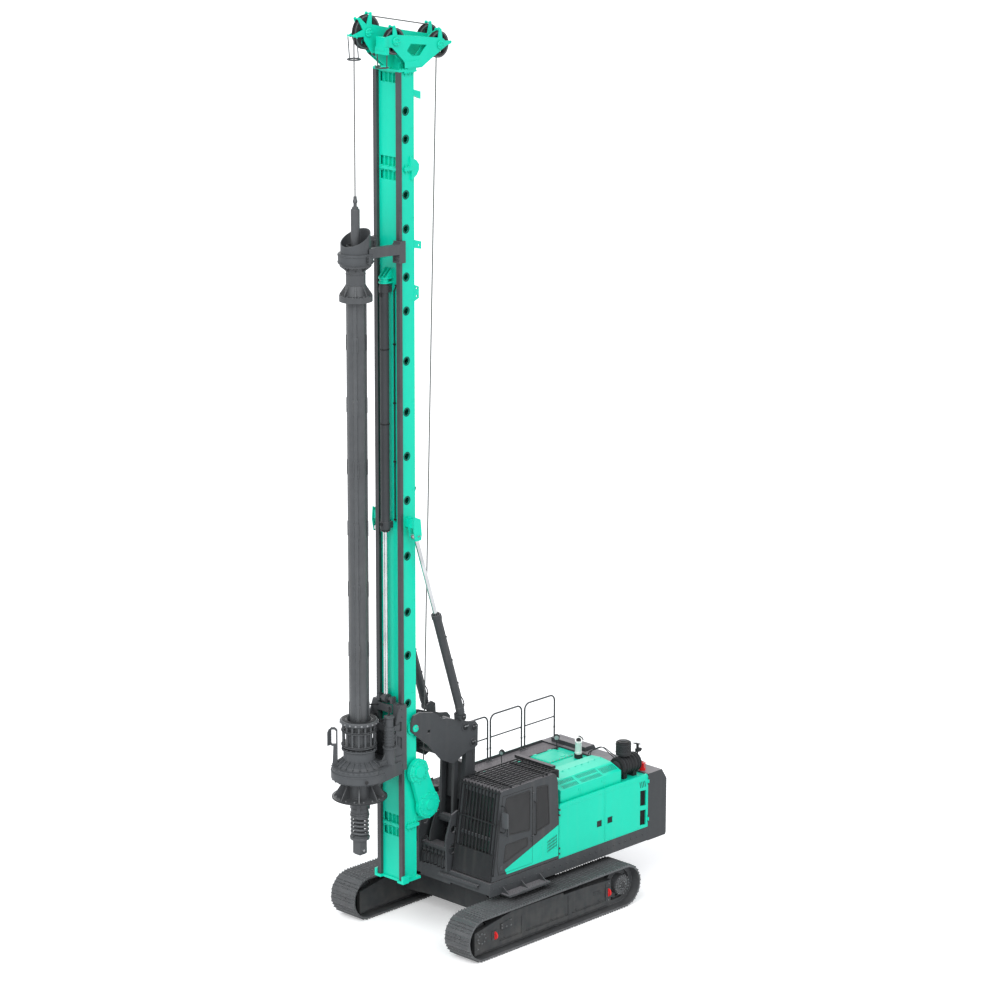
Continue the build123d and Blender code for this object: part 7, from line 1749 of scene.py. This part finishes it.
# %% Seat pads
def closed_pad(name, corners_low, corners_high, edge):
    """A soft block between two rings of four corners, with rounded edges and even quads."""
    body = bmesh.new()
    rings = [[body.verts.new(Vector(c) * MM) for c in ring] for ring in (corners_low, corners_high)]
    body.faces.new(rings[0][::-1])
    body.faces.new(rings[1])
    for i in range(4):
        body.faces.new((rings[0][i], rings[0][(i + 1) % 4], rings[1][(i + 1) % 4], rings[1][i]))
    bmesh.ops.bevel(body, geom=body.edges[:], offset=edge * MM, segments=4, affect="EDGES", profile=0.6)
    bmesh.ops.recalc_face_normals(body, faces=body.faces)
    mesh = bpy.data.meshes.new(name)
    body.to_mesh(mesh)
    body.free()
    obj = placed(name, mesh)
    even = obj.modifiers.new("even_quads", "REMESH")
    even.mode, even.voxel_size, even.use_smooth_shade = "VOXEL", 0.0105, True
    return settled(obj)


def settled(obj):
    """Bakes an object's modifiers into its own mesh."""
    made, old = frozen(obj), obj.data
    obj.modifiers.clear()
    obj.data = made
    bpy.data.meshes.remove(old)
    made.name = obj.name
    return obj


SWELL_FRAMES = 20


def swollen(obj, most):
    """Blows a pad up as cloth under pressure; no point moves further than most, in metres."""
    start = [v.co.copy() for v in obj.data.vertices]
    cloth = obj.modifiers.new("foam", "CLOTH")
    cloth.settings.use_pressure = True
    cloth.settings.uniform_pressure_force = 4.0
    cloth.settings.tension_stiffness = cloth.settings.compression_stiffness = 8.0
    cloth.settings.bending_stiffness = 0.6
    cloth.settings.effector_weights.gravity = 0.0
    cloth.point_cache.frame_start, cloth.point_cache.frame_end = 1, SWELL_FRAMES
    for frame_number in range(1, SWELL_FRAMES + 1):
        SCENE.frame_set(frame_number)
    blown = obj.evaluated_get(bpy.context.evaluated_depsgraph_get()).data
    moves = [b.co - a for a, b in zip(start, blown.vertices)]
    for vertex, a, move in zip(obj.data.vertices, start, moves):
        vertex.co = a + move * min(1.0, most / max(1e-6, move.length))
    obj.modifiers.clear()
    SCENE.frame_set(1)
    print(obj.name, "swelled by up to", round(max(m.length for m in moves) * 1000, 1), "mm before the cap")
    return obj


def finished_pad(name, low, high, edge, most):
    """A pad blown up, smoothed once and dressed in cloth."""
    pad = swollen(closed_pad(name, low, high, edge), most)
    pad.data.materials.clear()
    pad.data.materials.append(CLOTH)
    pad.data.shade_smooth()
    finer = pad.modifiers.new("finer", "SUBSURF")
    finer.levels = finer.render_levels = 1
    return hang(pad, "upper", CLOTH)


def corded_seam(name, pad, middle, one, two, reach, count=72):
    """A thin cord round a pad, laid on it by rays cast inwards in the plane of one and two."""
    skin = BVHTree.FromObject(pad, bpy.context.evaluated_depsgraph_get())
    middle, one, two = Vector(middle) * MM, Vector(one), Vector(two)
    laid = []
    for i in range(count):
        angle = 2 * math.pi * i / count
        out = one * math.cos(angle) + two * math.sin(angle)
        hit = skin.ray_cast(middle + out * reach * MM, -out)[0]
        if hit is not None:
            laid.append(hit + out * 0.001)
    line = bpy.data.curves.new(name, "CURVE")
    line.dimensions, line.bevel_depth, line.bevel_resolution = "3D", 0.0045, 2
    spline = line.splines.new("POLY")
    spline.points.add(len(laid) - 1)
    spline.use_cyclic_u = True
    for point, place in zip(spline.points, laid):
        point.co = (*place, 1.0)
    made = placed(f"{name}_line", line)
    mesh = frozen(made)
    bpy.data.objects.remove(made)
    bpy.data.curves.remove(line)
    mesh.materials.clear()
    mesh.materials.append(CLOTH)
    mesh.shade_smooth()
    return hang(placed(name, mesh), "upper", CLOTH)


print("pads swell for", SWELL_FRAMES, "frames, or stay plain when quick is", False)

# %% [markdown]
# Three pads make the seat. The cushion keeps a gap to its pan all round, the back leans, and
# the headrest stands on two bars. The cushion takes the place of the plain block of the frame.

# %% Cushion, back and headrest
SEAT_Y, SEAT_GAP = 940, 14


def four(rear, front):
    """Four corners about the seat's middle line, from (x, half width, z) at the rear and front."""
    (x0, half0, z0), (x1, half1, z1) = rear, front
    return [(x0, SEAT_Y - half0, z0), (x1, SEAT_Y - half1, z1), (x1, SEAT_Y + half1, z1),
            (x0, SEAT_Y + half0, z0)]


REAR, FRONT = (60 + SEAT_GAP, 250 - SEAT_GAP), (560 - SEAT_GAP, 234 - SEAT_GAP)
cushion = finished_pad("seat_cushion", four((*REAR, 1674), (*FRONT, 1674)),
                       four((*REAR, 1764), (*FRONT, 1778)), 34, 0.013)
backrest = finished_pad("seat_back", four((-28, 226, 1796), (74, 226, 1796)),
                        four((-46, 196, 2466), (40, 196, 2466)), 34, 0.013)
headrest = finished_pad("seat_headrest", four((-26, 106, 2490), (38, 106, 2490)),
                        four((-26, 90, 2626), (36, 90, 2626)), 24, 0.009)
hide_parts("cab_seat")
corded_seam("seat_cushion_seam", cushion, (310, SEAT_Y, 1742), (1, 0, 0), (0, 1, 0), 520)
corded_seam("seat_back_seam", backrest, (12, SEAT_Y, 2130), (0, 1, 0), (0, 0, 1), 620)
corded_seam("seat_headrest_seam", headrest, (6, SEAT_Y, 2558), (0, 1, 0), (0, 0, 1), 320, 48)
print("pads have", [len(p.data.polygons) for p in (cushion, backrest, headrest)],
      "faces before the last smoothing")

# %% [markdown]
# Below the pads are a pan, a bellows round the spring and slide rails. Arm consoles carry the
# levers, a monitor stands on the front pillar, and pedals come up through the rubber mat.

# %% Seat base and controls
base = Bench()
base.block((70, 548), (700, 1180), (1652, 1664))
base.block((80, 530), (712, 742), (1350, 1372)).block((80, 530), (1138, 1168), (1350, 1372))
base.plate(softened_outline([(-52, 1800), (-40, 1800), (-56, 2440), (-68, 2440)], 4), "Y", 740, 1140)
base.block((-40, -24), (900, 912), (2440, 2520)).block((-40, -24), (968, 980), (2440, 2520))
base.block((-70, 72), (716, 730), (1652, 1830)).block((-70, 72), (1150, 1164), (1652, 1830))
for k in range(8):
    inset = 12 if k % 2 else 0
    base.block((150 + inset, 460 - inset), (790 + inset, 1090 - inset), (1372 + 35 * k, 1406 + 35 * k))
base.finish("seat_base", "upper", PLASTIC, 6.0)
consoles = Bench()
for y0, y1 in ((560, 676), (1204, 1320)):
    consoles.plate(softened_outline([(-60, 1352), (500, 1352), (560, 1700), (560, 1880), (-60, 1860)], 40),
                   "Y", y0, y1)
    consoles.block((-40, 330), (y0 + 16, y1 - 16), (1900, 1950))
    consoles.lathe([(0, 0), (34, 0), (30, 16), (16, 30), (12, 34), (12, 96), (22, 118), (24, 168), (16, 190),
                    (0, 196)], (470, (y0 + y1) / 2, 1872), (0.12, 0, 1), 20)
    for k in range(3):
        consoles.block((370 + 22 * k, 384 + 22 * k), (y0 + 24, y0 + 56), (1872, 1884))
consoles.block((960, 1010), (590, 640), (1352, 2080))
consoles.block((930, 972), (560, 800), (2060, 2230))
consoles.block((60, 400), (454, 545), (1352, 1700))
consoles.finish("cab_consoles", "upper", PLASTIC, 10.0)
Bench().block((926, 930), (576, 784), (2076, 2214)).finish("cab_screen", "upper", GLASS, 0.0)
pedals = Bench()
for y in (800, 900, 990, 1090):
    pedals.plate([(880, 1362), (1000, 1440), (1006, 1430), (888, 1350)], "Y", y - 34, y + 34)
    pedals.lathe([(0, 0), (9, 0), (9, 300), (20, 322), (20, 350), (0, 360)], (985, y, 1380), (-0.25, 0, 1),
                 12)
pedals.finish("cab_pedals", "upper", SOOT)
mat = Bench()
mat.plate(rectangle((-400, 1120), (500, 1380), 60), "Z", 1350.5, 1358)
for k in range(22):
    mat.block((-340 + 62 * k, -326 + 62 * k), (530, 1350), (1358, 1362))
mat.finish("cab_floor_mat", "upper", RUBBER, 1.0)
print("cab interior is in")

# %% [markdown]
# Last, the box of the bare frame, measured when the frame was loaded, is taken up again.

# %% The end
low, high = CAD_BOX
